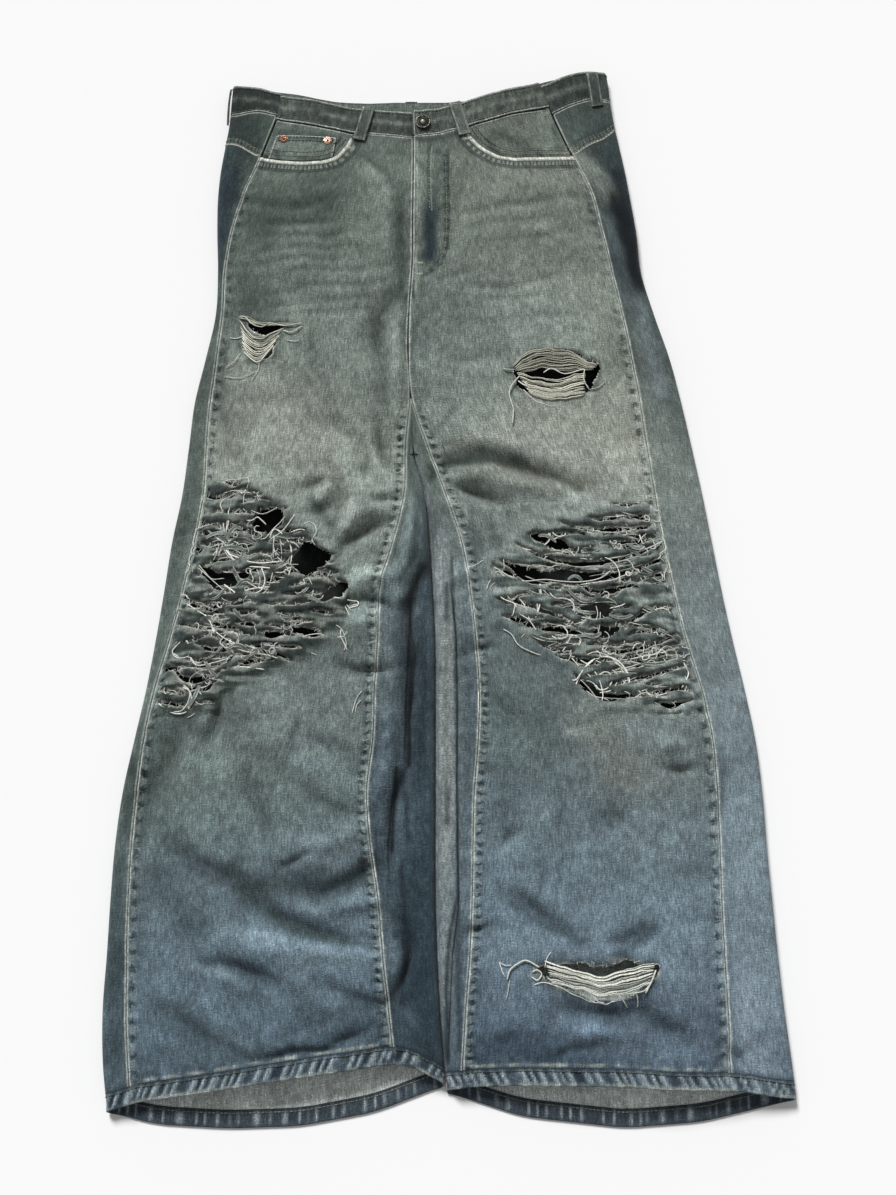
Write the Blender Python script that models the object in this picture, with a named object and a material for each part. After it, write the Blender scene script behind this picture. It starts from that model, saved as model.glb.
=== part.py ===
"""Ripped jeans, laid flat on their back with the front facing up.

Metres, +X to the viewer's right, +Y towards the waist, +Z up. The origin is on the floor under the
middle of the garment. Every piece of cloth is a thin wall. The panels of one half share one closed
path round the leg, which starts at the inseam and runs over the front, round the outer edge, under
the back and round the inner edge, so that neighbours follow the same form and stay a seam apart.
"""
import math
from collections import namedtuple

import bmesh
import bpy
import numpy as np
from mathutils import Vector

# ---------------------------------------------------------------- driving sizes, in metres
CLOTH = 0.0014            # denim wall
HEM_CLOTH = 0.0022        # turned hem, folded twice
BAND_CLOTH = 0.0028       # waistband, two layers and a turning
TRIM_CLOTH = 0.0015       # patch pockets and belt loops
SEAM_GAP = 0.0003         # between pieces at a seam and between layers
LEG_GAP = 0.0008          # between the two legs where they lie side by side
EDGE_RADIUS = 0.0045      # roll of the cloth at the outer edge of a leg
FLOOR_LIFT = 0.0019       # how far the seat is held up by the patch pockets under it
HEM_WIDTH = 0.0155
BAND_WIDTH = 0.041
LOOP_WIDTH = 0.013
LOOP_ARCH = 0.0012        # how far a belt loop stands off the waistband at its middle
BUTTON_RADIUS = 0.0085
BUTTON_HEIGHT = 0.0030
RIVET_RADIUS = 0.0045
RIVET_HEIGHT = 0.0012
TURNED_STEPS = 20         # sides of the metal fittings

CROTCH_Y = 0.150          # the two inseams meet the rise here
WRAP_TOP_Y = 0.140        # the back panels' strips beside the inseams end here
FORK_Y = 0.093            # the legs part here
DOME_RUN = 0.115          # distance from an edge at which the cloth reaches its full height
DOME_POWER = 1.35         # how square-shouldered that rise is
STEP_RUN = 0.005          # width of the step in the right leg
SEAT_FADE = 0.09          # run above the fork over which two legs become one seat
FOLD_INSET = 0.02         # folds fade out over this run beside a rolled edge

# Nominal stations along Y that each panel's own edges bend away from.
HEM_Y = -0.515
PANEL_TOP_Y = 0.430       # top of the front and back panels
BAND_Y = 0.480            # seam between yoke and waistband
END_RUN = 0.150           # how far from an end its curve still shows

# ---------------------------------------------------------------- outlines and heights
Station = namedtuple("Station", "y outer outseam inseam")
Middle = namedtuple("Middle", "y centre left_roll right_roll step")
Rise = namedtuple("Rise", "y height")
Edge = namedtuple("Edge", "x y")
Across = namedtuple("Across", "part y")
Fold = namedtuple("Fold", "x0 y0 x1 y1 x2 y2 width height")
Slot = namedtuple("Slot", "side x y half_length half_width turn")
BackPocket = namedtuple("BackPocket", "x top_y half_top half_foot side_height point_height")
FrontLoop = namedtuple("FrontLoop", "part lean")

STATIONS = {
    "left": [
        Station(-0.530, -0.3055, -0.2825, -0.0430),
        Station(-0.500, -0.3105, -0.2860, -0.0460),
        Station(-0.450, -0.3145, -0.2910, -0.0520),
        Station(-0.400, -0.3140, -0.2940, -0.0580),
        Station(-0.350, -0.3140, -0.2960, -0.0630),
        Station(-0.300, -0.3130, -0.2960, -0.0710),
        Station(-0.250, -0.3090, -0.2950, -0.0750),
        Station(-0.200, -0.3010, -0.2910, -0.0700),
        Station(-0.150, -0.2925, -0.2830, -0.0690),
        Station(-0.100, -0.2860, -0.2710, -0.0665),
        Station(-0.050, -0.2805, -0.2600, -0.0655),
        Station(0.000, -0.2755, -0.2515, -0.0530),
        Station(0.050, -0.2680, -0.2450, -0.0425),
        Station(0.100, -0.2640, -0.2445, -0.0415),
        Station(0.150, -0.2600, -0.2430, -0.0370),
        Station(0.200, -0.2510, -0.2390, -0.0398),
        Station(0.250, -0.2430, -0.2350, -0.0385),
        Station(0.300, -0.2430, -0.2345, -0.0357),
        Station(0.350, -0.2460, -0.2275, -0.0357),
        Station(0.390, -0.2470, -0.2170, -0.0357),
        Station(0.420, -0.2455, -0.2055, -0.0357),
        Station(0.450, -0.2420, -0.1960, -0.0360),
        Station(0.480, -0.2385, -0.1860, -0.0370),
        Station(0.520, -0.2370, -0.1815, -0.0382),
        Station(0.560, -0.2360, -0.1775, -0.0390),
    ],
    "right": [
        Station(-0.530, 0.3160, 0.2550, 0.0140),
        Station(-0.500, 0.3140, 0.2550, 0.0150),
        Station(-0.450, 0.3100, 0.2560, 0.0180),
        Station(-0.400, 0.3070, 0.2555, 0.0220),
        Station(-0.350, 0.3050, 0.2560, 0.0245),
        Station(-0.300, 0.3030, 0.2570, 0.0255),
        Station(-0.250, 0.3020, 0.2570, 0.0270),
        Station(-0.200, 0.2985, 0.2550, 0.0310),
        Station(-0.150, 0.2910, 0.2465, 0.0320),
        Station(-0.100, 0.2820, 0.2335, 0.0290),
        Station(-0.050, 0.2740, 0.2240, 0.0235),
        Station(0.000, 0.2670, 0.2160, 0.0150),
        Station(0.050, 0.2600, 0.2090, -0.0010),
        Station(0.100, 0.2520, 0.2030, -0.0190),
        Station(0.150, 0.2430, 0.1975, -0.0357),
        Station(0.200, 0.2330, 0.1910, -0.0387),
        Station(0.250, 0.2190, 0.1830, -0.0380),
        Station(0.300, 0.2070, 0.1740, -0.0352),
        Station(0.350, 0.2035, 0.1645, -0.0352),
        Station(0.390, 0.1985, 0.1560, -0.0352),
        Station(0.420, 0.1945, 0.1440, -0.0352),
        Station(0.450, 0.1895, 0.1300, -0.0355),
        Station(0.480, 0.1845, 0.1185, -0.0365),
        Station(0.520, 0.1800, 0.1045, -0.0377),
        Station(0.560, 0.1770, 0.0895, -0.0385),
    ],
}

# The line between the legs, which is the seat seam above the fork, the roll of each leg's
# inner edge beside it, and where the right leg's cloth steps up from its flat inner strip.
MIDDLE = [
    Middle(-0.530, 0.0005, 0.0042, 0.0024, 0.0030),
    Middle(-0.500, -0.0015, 0.0045, 0.0024, 0.0035),
    Middle(-0.450, -0.0055, 0.0045, 0.0024, 0.0040),
    Middle(-0.400, -0.0085, 0.0045, 0.0024, 0.0065),
    Middle(-0.350, -0.0100, 0.0045, 0.0024, 0.0125),
    Middle(-0.250, -0.0105, 0.0045, 0.0024, 0.0105),
    Middle(-0.150, -0.0107, 0.0045, 0.0024, 0.0110),
    Middle(-0.100, -0.0112, 0.0045, 0.0024, 0.0100),
    Middle(-0.050, -0.0137, 0.0045, 0.0024, 0.0060),
    Middle(0.000, -0.0168, 0.0045, 0.0028, 0.0010),
    Middle(0.050, -0.0215, 0.0045, 0.0038, -0.0120),
    Middle(0.093, -0.0328, 0.0045, 0.0045, -0.0250),
    Middle(0.120, -0.0345, 0.0045, 0.0045, -0.0300),
    Middle(0.150, -0.0364, 0.0045, 0.0045, -0.0320),
    Middle(0.560, -0.0385, 0.0045, 0.0045, -0.0320),
]

# Height of the top layer above its rolled edges, in the middle of a leg or of the seat.
RISES = [
    Rise(-0.550, 0.0135),
    Rise(-0.450, 0.0155),
    Rise(-0.200, 0.0160),
    Rise(0.000, 0.0180),
    Rise(0.150, 0.0200),
    Rise(0.350, 0.0190),
    Rise(0.450, 0.0120),
    Rise(0.550, 0.0055),
]

# Hem lines, front layer and back layer: the back hangs longer than the front.
HEMS = {
    ("left", "front"): [
        Edge(-0.306, -0.5365), Edge(-0.282, -0.5280), Edge(-0.241, -0.5220), Edge(-0.176, -0.5127),
        Edge(-0.112, -0.5033), Edge(-0.046, -0.4942), Edge(-0.024, -0.4975), Edge(-0.004, -0.5135),
    ],
    ("left", "back"): [
        Edge(-0.306, -0.5370), Edge(-0.263, -0.5470), Edge(-0.198, -0.5505),
        Edge(-0.133, -0.5485), Edge(-0.067, -0.5370), Edge(-0.004, -0.5150),
    ],
    ("right", "front"): [
        Edge(0.000, -0.5190), Edge(0.014, -0.5150), Edge(0.068, -0.5125), Edge(0.160, -0.5133),
        Edge(0.206, -0.5165), Edge(0.263, -0.5175), Edge(0.297, -0.5235), Edge(0.315, -0.5250),
    ],
    ("right", "back"): [
        Edge(0.000, -0.5200), Edge(0.068, -0.5405), Edge(0.160, -0.5500),
        Edge(0.229, -0.5450), Edge(0.315, -0.5260),
    ],
}

# Top edge of each front panel, by the part of the way from centre to outseam: the waistband
# seam first, then the curved pocket opening.
FRONT_TOPS = {
    "left": [
        Across(0.00, 0.4530), Across(0.425, 0.4594), Across(0.432, 0.4455), Across(0.50, 0.4285),
        Across(0.58, 0.4235), Across(0.70, 0.4225), Across(0.86, 0.4265), Across(1.00, 0.4330),
    ],
    "right": [
        Across(0.00, 0.4560), Across(0.18, 0.4585), Across(0.355, 0.4665), Across(0.375, 0.4560),
        Across(0.44, 0.4400), Across(0.52, 0.4300), Across(0.62, 0.4265), Across(0.80, 0.4290),
        Across(1.00, 0.4340),
    ],
}
POCKET_CORNER = {"left": 0.425, "right": 0.355}   # part of the way across where a pocket opens

# Lower edge of the front waistband, from the centre to the outseam.
FRONT_BANDS = {
    "left": [
        Across(0.00, 0.4530), Across(0.425, 0.4594), Across(0.70, 0.4695), Across(1.00, 0.4794),
    ],
    "right": [
        Across(0.00, 0.4560), Across(0.18, 0.4585), Across(0.355, 0.4665), Across(0.44, 0.4720),
        Across(0.71, 0.4850), Across(1.00, 0.4955),
    ],
}

# Lower edge of the back waistband and the yoke seam, along the path from the left outseam
# (part 0) round the left edge (1), under the back to the right edge (2) and the right outseam (3).
BACK_BAND = [
    Across(0.0, 0.4885), Across(1.0, 0.4925), Across(1.15, 0.4830), Across(1.30, 0.4695),
    Across(1.49, 0.4690), Across(1.51, 0.4690), Across(1.64, 0.4710), Across(1.76, 0.4840),
    Across(1.88, 0.4985),
    Across(2.0, 0.5060), Across(2.4, 0.5105), Across(3.0, 0.4925),
]
YOKE_SEAM = [
    Across(0.0, 0.4330), Across(1.0, 0.4440), Across(1.25, 0.4230), Across(1.49, 0.4040),
    Across(1.51, 0.4040), Across(1.75, 0.4270), Across(2.0, 0.4660), Across(2.5, 0.4560),
    Across(3.0, 0.4340),
]

# The largest folds: a curved ridge from start by middle to end, or a trough if its height is
# negative, that fades over its width.
FOLDS = [
    Fold(-0.048, 0.262, -0.078, 0.222, -0.052, 0.150, 0.018, -0.0050),
    Fold(-0.122, 0.250, -0.128, 0.160, -0.062, 0.075, 0.020, 0.0035),
    Fold(-0.130, -0.010, -0.105, 0.030, -0.050, 0.052, 0.017, 0.0060),
    Fold(-0.124, 0.060, -0.118, 0.030, -0.128, 0.000, 0.014, -0.0040),
    Fold(-0.180, -0.322, -0.120, -0.352, -0.064, -0.322, 0.015, -0.0050),
    Fold(-0.246, -0.290, -0.180, -0.345, -0.076, -0.385, 0.016, -0.0045),
    Fold(-0.214, -0.398, -0.140, -0.418, -0.060, -0.438, 0.015, -0.0045),
    Fold(-0.250, -0.330, -0.180, -0.385, -0.090, -0.410, 0.015, 0.0030),
    Fold(-0.012, 0.093, 0.045, 0.092, 0.130, 0.060, 0.014, -0.0060),
    Fold(0.000, 0.108, 0.070, 0.112, 0.150, 0.085, 0.018, 0.0035),
    Fold(0.090, -0.448, 0.150, -0.462, 0.216, -0.478, 0.014, -0.0045),
    Fold(0.052, -0.352, 0.080, -0.372, 0.105, -0.398, 0.014, -0.0035),
]

# Rips that go right through a front panel, as pointed slots along the weft.
SLOTS = [
    Slot("left", -0.190, 0.236, 0.026, 0.0055, -8),
    Slot("left", -0.205, 0.026, 0.034, 0.0080, -14),
    Slot("left", -0.158, 0.000, 0.030, 0.0080, -22),
    Slot("left", -0.215, -0.030, 0.040, 0.0075, -10),
    Slot("left", -0.150, -0.060, 0.040, 0.0065, 6),
    Slot("left", -0.215, -0.088, 0.042, 0.0060, 4),
    Slot("right", 0.113, 0.183, 0.036, 0.0055, -4),
    Slot("right", 0.155, 0.006, 0.040, 0.0060, -6),
    Slot("right", 0.105, -0.022, 0.044, 0.0070, -12),
    Slot("right", 0.150, -0.060, 0.042, 0.0065, 4),
    Slot("right", 0.140, -0.100, 0.044, 0.0065, 10),
    Slot("right", 0.175, -0.138, 0.030, 0.0055, 12),
    Slot("right", 0.141, -0.405, 0.038, 0.0055, 0),
]
SLOT_POINTS = 5           # points on each side of a slot, between its two tips
SLOT_FOOT = 0.005         # the cutter starts between the back panel and the front one
SLOT_DEPTH = 0.06

# Patch pockets under the back: the top edge's middle, half widths and heights.
BACK_POCKETS = {
    "left": BackPocket(-0.150, 0.388, 0.072, 0.060, 0.125, 0.152),
    "right": BackPocket(0.082, 0.388, 0.072, 0.060, 0.125, 0.152),
}

# Belt loops on the front waistband: place across the half front, and the lean of the loop.
FRONT_LOOPS = {"left": FrontLoop(0.345, -0.006), "right": FrontLoop(0.325, 0.005)}
LOOP_OVERHANG = 0.009     # how far a loop reaches below the waistband
SIDE_LOOPS = {            # place on the path, and width, of the loops near the side seams
    "left": (2.42, 0.6 * LOOP_WIDTH),
    "right": (1.72, LOOP_WIDTH),
}

FACING_DROP = CLOTH + SEAM_GAP    # the pocket facing lies under the front panel's edge
FACING_TUCK = 0.006               # how far it reaches under that edge

COIN_PARTS = (0.52, 0.945)        # sides of the coin pocket, as parts of the way across the front
COIN_TOP_Y = (0.4530, 0.4590)     # its upper corners, inner and outer
COIN_CLEAR = 0.0012               # it ends this far above the edge of the main pocket
RIVET_PARTS = (0.575, 0.880)
RIVET_DROP = 0.0050               # rivets sit this far below the coin pocket's top edge
BUTTON_PART = 0.070
BUTTON_RISE = 0.0215              # above the waistband's lower edge

SIGN = {"left": -1.0, "right": 1.0}
SHARP_ANGLE = math.radians(40)

# ---------------------------------------------------------------- curves through the tables


def along(rows, key, value, at):
    """A smooth curve through one column of a table: value at the given key, held past its ends."""
    keys = np.array([getattr(row, key) for row in rows], float)
    values = np.array([getattr(row, value) for row in rows], float)
    if keys[0] > keys[-1]:
        keys = keys[::-1]
        values = values[::-1]
    slopes = np.gradient(values, keys)
    at = np.clip(np.asarray(at, float), keys[0], keys[-1])
    i = np.clip(np.searchsorted(keys, at) - 1, 0, len(keys) - 2)
    span = keys[i + 1] - keys[i]
    t = (at - keys[i]) / span
    start = (1 + 2 * t) * (1 - t) ** 2 * values[i] + t * (1 - t) ** 2 * span * slopes[i]
    end = t * t * (3 - 2 * t) * values[i + 1] - t * t * (1 - t) * span * slopes[i + 1]
    return start + end


def straight(rows, key, value, at):
    """Straight runs between a table's rows, for outlines that have corners."""
    keys = [getattr(row, key) for row in rows]
    values = [getattr(row, value) for row in rows]
    return np.interp(at, keys, values)


def ease(low, high, value):
    """0 below low, 1 above high, and a soft rise between them."""
    t = np.clip((np.asarray(value, float) - low) / (high - low), 0, 1)
    return t * t * (3 - 2 * t)


def dome(distance):
    """0 at an edge, and 1 from DOME_RUN inwards."""
    t = np.clip(np.asarray(distance, float) / DOME_RUN, 0, 1)
    return np.sin(0.5 * math.pi * t) ** DOME_POWER


# ---------------------------------------------------------------- the form of one half


def side_line(side, column, y):
    """Distance from the middle plane, outwards, of one of a half's lines."""
    return SIGN[side] * along(STATIONS[side], "y", column, y)


def inner_line(side, y):
    """Outer surface of a leg's inner edge below the fork, and the seat seam above it."""
    gap = LEG_GAP + (SEAM_GAP - LEG_GAP) * ease(FORK_Y - 0.06, FORK_Y, y)
    return SIGN[side] * along(MIDDLE, "y", "centre", y) + 0.5 * gap


def floor_height(y):
    """Middle of the cloth wall where it lies on the floor, or on the patch pockets."""
    return 0.5 * CLOTH + FLOOR_LIFT * ease(0.10, 0.155, y)


def fold_height(x, y):
    """Sum of all folds at a point, each by its distance from the fold's own curved line."""
    total = np.zeros(np.broadcast(x, y).shape)
    steps = np.linspace(0, 1, 13)
    for fold in FOLDS:
        a = (1 - steps) ** 2
        b = 2 * steps * (1 - steps)
        c = steps ** 2
        line_x = a * fold.x0 + b * fold.x1 + c * fold.x2
        line_y = a * fold.y0 + b * fold.y1 + c * fold.y2
        nearest = np.full(total.shape, 1e9)
        place = np.zeros(total.shape)
        for k in range(len(steps) - 1):
            run_x = line_x[k + 1] - line_x[k]
            run_y = line_y[k + 1] - line_y[k]
            t = ((x - line_x[k]) * run_x + (y - line_y[k]) * run_y) / (run_x ** 2 + run_y ** 2)
            t = np.clip(t, 0, 1)
            gap = np.hypot(x - line_x[k] - t * run_x, y - line_y[k] - t * run_y)
            closer = gap < nearest
            nearest = np.where(closer, gap, nearest)
            place = np.where(closer, (k + t) / (len(steps) - 1), place)
        total += fold.height * np.exp(-(nearest / fold.width) ** 2) * np.sin(math.pi * place) ** 0.6
    return total


def top_height(side, out, y):
    """Middle of the top layer's wall, at a distance out from the middle plane."""
    from_outer = side_line(side, "outer", y) - 0.5 * CLOTH - out
    from_inner = out - inner_line(side, y) - 0.5 * CLOTH
    joined = ease(FORK_Y - 0.01, FORK_Y + SEAT_FADE, y)
    inner_roll = along(MIDDLE, "y", side + "_roll", y)
    rise = dome(from_outer - EDGE_RADIUS) * (
        joined + (1 - joined) * dome(np.maximum(from_inner - inner_roll, 0)))
    height = floor_height(y) + 2 * inner_roll + along(RISES, "y", "height", y) * rise
    if side == "right":
        step = along(MIDDLE, "y", "step", y)
        height = height + (2 * EDGE_RADIUS - 2 * inner_roll) * ease(step, step + STEP_RUN, out)
    edge = np.minimum(from_outer, from_inner + 0.05 * joined) - EDGE_RADIUS
    near_edge = ease(0, FOLD_INSET, edge)
    return height + near_edge * fold_height(SIGN[side] * out, y)


# Places on the path round one half, each a whole number: F front, A from the outseam to the
# outer edge, B outer roll, C under the back, D inner roll, E from the inner edge to the inseam.
FRONT, OUTER_TOP, OUTER_ROLL, UNDER, INNER_ROLL, INNER_TOP, PATH_END = range(7)


def path(side, s, y):
    """Point of the cloth's middle surface at place s on the path round a half, at height y."""
    s, y = np.broadcast_arrays(np.asarray(s, float), np.asarray(y, float))
    outer = side_line(side, "outer", y) - 0.5 * CLOTH
    outseam = side_line(side, "outseam", y)
    inseam = side_line(side, "inseam", y)
    rolled = 1 - ease(FORK_Y, FORK_Y + 0.03, y)
    inner = inner_line(side, y) + 0.5 * CLOTH * (1 - ease(FORK_Y, FORK_Y + 0.045, y))
    roll = along(MIDDLE, "y", side + "_roll", y)
    floor = floor_height(y)
    parted = 1 - ease(FORK_Y, FORK_Y + 0.015, y)
    k = s - np.floor(s)
    k = np.where(s >= PATH_END, 1.0, k)
    block = np.minimum(np.floor(s), INNER_TOP).astype(int)
    turn = math.pi * k
    flat_turn = np.where(k <= 0.5, 2 * k, 1.0)
    out = np.select(
        [block == b for b in range(PATH_END)],
        [
            inseam + (outseam - inseam) * k,
            outseam + (outer - EDGE_RADIUS - outseam) * k,
            outer - EDGE_RADIUS + EDGE_RADIUS * np.sin(turn),
            outer - EDGE_RADIUS + (inner + roll - outer + EDGE_RADIUS) * k,
            inner + roll - roll * (rolled * np.sin(turn) + (1 - rolled) * flat_turn),
            inner + roll * parted + (inseam - inner - roll * parted) * k,
        ])
    top = top_height(side, out, y)
    height = np.select(
        [block == b for b in range(PATH_END)],
        [
            top,
            top,
            floor + EDGE_RADIUS + EDGE_RADIUS * np.cos(turn),
            floor,
            floor + roll * (1 - np.cos(turn)) * rolled,
            top,
        ])
    return np.stack([SIGN[side] * out, y, height], axis=-1)


def path_normal(side, s, y):
    """Unit normal of the cloth, pointing out of the garment."""
    ds = 1e-3
    dy = 5e-4
    s = np.asarray(s, float)
    before = np.where(s >= INNER_TOP, np.maximum(s - ds, INNER_TOP), np.maximum(s - ds, FRONT))
    across = path(side, s + ds, y) - path(side, before, y)
    upward = path(side, s, y + dy) - path(side, s, y - dy)
    normal = np.cross(across, upward) * SIGN[side]
    return normal / np.maximum(np.linalg.norm(normal, axis=-1, keepdims=True), 1e-12)


def hem_shift(side, s):
    """How far the hem at place s lies from its nominal station."""
    x = path(side, s, HEM_Y)[..., 0]
    front = straight(HEMS[side, "front"], "x", "y", x)
    back = straight(HEMS[side, "back"], "x", "y", x)
    under = ease(OUTER_ROLL, OUTER_ROLL + 1, s) * (1 - ease(INNER_ROLL, INNER_ROLL + 1, s))
    return front + (back - front) * under - HEM_Y


def back_place(side, s):
    """Place s as BACK_BAND and YOKE_SEAM count it, from the left outseam to the right one."""
    outer = np.clip(s - OUTER_TOP, 0, 1) * 0.7 + np.clip(s - OUTER_ROLL, 0, 1) * 0.3
    under = np.clip(s - UNDER, 0, 1) * 0.49
    place = outer + under
    return place if side == "left" else 3 - place


def row_shift(y, knots):
    """Blends the shifts that a panel's ends need into its rows. Knots are (station, shift)."""
    total = 0
    for (y0, shift0), (y1, shift1) in zip(knots, knots[1:]):
        inside = (y >= y0) & (y <= y1) if y1 is knots[-1][0] else (y >= y0) & (y < y1)
        total = total + inside * (shift0 + (shift1 - shift0) * ease(y0, y1, y))
    return total


def front_knots(side, part):
    top = straight(FRONT_TOPS[side], "part", "y", part) - PANEL_TOP_Y
    at_hem = hem_shift(side, FRONT + part)
    return [
        (HEM_Y, at_hem), (HEM_Y + HEM_WIDTH, at_hem), (HEM_Y + END_RUN, 0),
        (PANEL_TOP_Y - END_RUN, 0), (PANEL_TOP_Y, top),
    ]


def back_knots(side, s):
    place = back_place(side, s)
    at_hem = hem_shift(side, s)
    return [
        (HEM_Y, at_hem), (HEM_Y + HEM_WIDTH, at_hem), (HEM_Y + END_RUN, 0),
        (PANEL_TOP_Y - END_RUN, 0),
        (PANEL_TOP_Y, along(YOKE_SEAM, "part", "y", place) - PANEL_TOP_Y),
        (BAND_Y, along(BACK_BAND, "part", "y", place) - BAND_Y),
        (BAND_Y + BAND_WIDTH, along(BACK_BAND, "part", "y", place) - BAND_Y),
    ]


# ---------------------------------------------------------------- mesh building


def new_object(name, bm, material):
    mesh = bpy.data.meshes.new(name)
    bmesh.ops.recalc_face_normals(bm, faces=bm.faces)
    bm.to_mesh(mesh)
    bm.free()
    mesh.shade_smooth()
    mesh.set_sharp_from_angle(angle=SHARP_ANGLE)
    obj = bpy.data.objects.new(name, mesh)
    bpy.context.scene.collection.objects.link(obj)
    mesh.materials.append(material)
    return obj


def pull_in(points, normals, amount):
    """Draws a grid's four edges in by an amount, square to each edge and along the cloth."""
    grid = points.copy()
    for axis in (0, 1):
        grid = np.moveaxis(grid, axis, 0)
        facing = np.moveaxis(normals, axis, 0)
        for edge, inner in ((0, 1), (-1, -2)):
            square = np.cross(np.gradient(grid[edge], axis=0), facing[edge])
            square = square / np.maximum(np.linalg.norm(square, axis=-1, keepdims=True), 1e-12)
            inward = np.sign(np.sum(square * (grid[inner] - grid[edge]), axis=-1, keepdims=True))
            grid[edge] = grid[edge] + amount * inward * square
        grid = np.moveaxis(grid, 0, axis)
    return grid


def wall(name, points, normals, cells, outside, inside, material):
    """A closed wall on a grid of points: out and in from it along the normals, and its rim."""
    bm = bmesh.new()
    outer = {}
    inner = {}

    def corner(layer, ij, reach):
        if ij not in layer:
            layer[ij] = bm.verts.new(points[ij] + reach * normals[ij])
        return layer[ij]

    used = {}
    for i, j in cells:
        ring = [(i, j), (i + 1, j), (i + 1, j + 1), (i, j + 1)]
        bm.faces.new([corner(outer, ij, outside) for ij in ring])
        bm.faces.new([corner(inner, ij, -inside) for ij in reversed(ring)])
        for a, b in zip(ring, ring[1:] + ring[:1]):
            used[a, b] = True
    for a, b in used:
        if (b, a) not in used:
            bm.faces.new([outer[b], outer[a], inner[a], inner[b]])
    return new_object(name, bm, material)


def all_cells(columns, rows):
    return [(i, j) for i in range(columns - 1) for j in range(rows - 1)]


def spread(*runs):
    """Joins even runs of numbers, each (start, end, count of steps)."""
    values = [np.linspace(start, end, count, endpoint=False) for start, end, count in runs]
    return np.append(np.concatenate(values), runs[-1][1])


def cloth_material(name, colour, roughness=0.9, metallic=0.0):
    material = bpy.data.materials.new(name)
    material.use_nodes = True
    shader = material.node_tree.nodes["Principled BSDF"]
    shader.inputs["Base Color"].default_value = (*colour, 1)
    shader.inputs["Roughness"].default_value = roughness
    shader.inputs["Metallic"].default_value = metallic
    return material


# ---------------------------------------------------------------- panels

PANEL_ROWS = spread(
    (HEM_Y + HEM_WIDTH, -0.350, 3), (-0.350, 0.0611, 9), (0.0611, FORK_Y, 1),
    (FORK_Y, WRAP_TOP_Y, 3), (WRAP_TOP_Y, 0.280, 4), (0.280, PANEL_TOP_Y, 6))
FRONT_PARTS = {
    "left": [0, 0.10, 0.20, 0.31, 0.425, 0.432, 0.50, 0.58, 0.70, 0.78, 0.86, 0.93, 1],
    "right": [0, 0.09, 0.18, 0.27, 0.355, 0.375, 0.44, 0.52, 0.62, 0.71, 0.80, 0.90, 1],
}
BAND_PARTS = {
    "left": [0, 0.10, 0.20, 0.31, 0.425, 0.56, 0.70, 0.85, 1],
    "right": [0, 0.09, 0.18, 0.27, 0.355, 0.44, 0.575, 0.71, 0.855, 1],
}
BACK_PLACES = spread(
    (OUTER_TOP, OUTER_ROLL, 2), (OUTER_ROLL, UNDER, 4), (UNDER, INNER_ROLL, 8),
    (INNER_ROLL, INNER_ROLL + 0.5, 2), (INNER_ROLL + 0.5, INNER_TOP, 2), (INNER_TOP, PATH_END, 3))
FORK_COLUMN = 16          # the column of BACK_PLACES at the outermost point of the inner roll
INNER_TOP_COLUMN = 18     # the column where the inner roll ends


def panel_grid(side, places, rows, knots_of):
    s, y = np.meshgrid(places, rows, indexing="ij")
    y = y + row_shift(y, knots_of(side, s))
    return path(side, s, y), path_normal(side, s, y)


def front_panel(side, material):
    places = np.array(FRONT_PARTS[side])
    points, normals = panel_grid(side, places, PANEL_ROWS, front_knots)
    points = pull_in(points, normals, 0.5 * SEAM_GAP)
    cells = all_cells(len(places), len(PANEL_ROWS))
    return wall("front_" + side, points, normals, cells, 0.5 * CLOTH, 0.5 * CLOTH, material)


def back_panel(side, material):
    """Runs from the outseam round under the leg. Above the fork it ends at the seat seam, and
    above its strip beside the inseam it has no inner top."""
    points, normals = panel_grid(side, BACK_PLACES, PANEL_ROWS, back_knots)
    points = pull_in(points, normals, 0.5 * SEAM_GAP)
    fork_row = int(np.argmin(abs(PANEL_ROWS - FORK_Y)))
    wrap_row = int(np.argmin(abs(PANEL_ROWS - WRAP_TOP_Y)))
    step = points[FORK_COLUMN - 1, fork_row:] - points[FORK_COLUMN, fork_row:]
    step = step / np.linalg.norm(step, axis=-1, keepdims=True)
    points[FORK_COLUMN, fork_row:] += 0.5 * SEAM_GAP * step
    points[INNER_TOP_COLUMN, fork_row + 1:, 0] += 0.5 * SEAM_GAP * SIGN[side]
    cells = []
    for i, j in all_cells(len(BACK_PLACES), len(PANEL_ROWS)):
        last = len(PANEL_ROWS)
        if i >= INNER_TOP_COLUMN:
            last = wrap_row
        elif i >= FORK_COLUMN:
            last = fork_row
        if j < last:
            cells.append((i, j))
    return wall("back_" + side, points, normals, cells, 0.5 * CLOTH, 0.5 * CLOTH, material)


def yoke(side, material):
    places = BACK_PLACES[:FORK_COLUMN + 1]
    rows = spread((PANEL_TOP_Y, BAND_Y, 2))
    points, normals = panel_grid(side, places, rows, back_knots)
    points = pull_in(points, normals, 0.5 * SEAM_GAP)
    cells = all_cells(len(places), len(rows))
    return wall("yoke_" + side, points, normals, cells, 0.5 * CLOTH, 0.5 * CLOTH, material)


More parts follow.
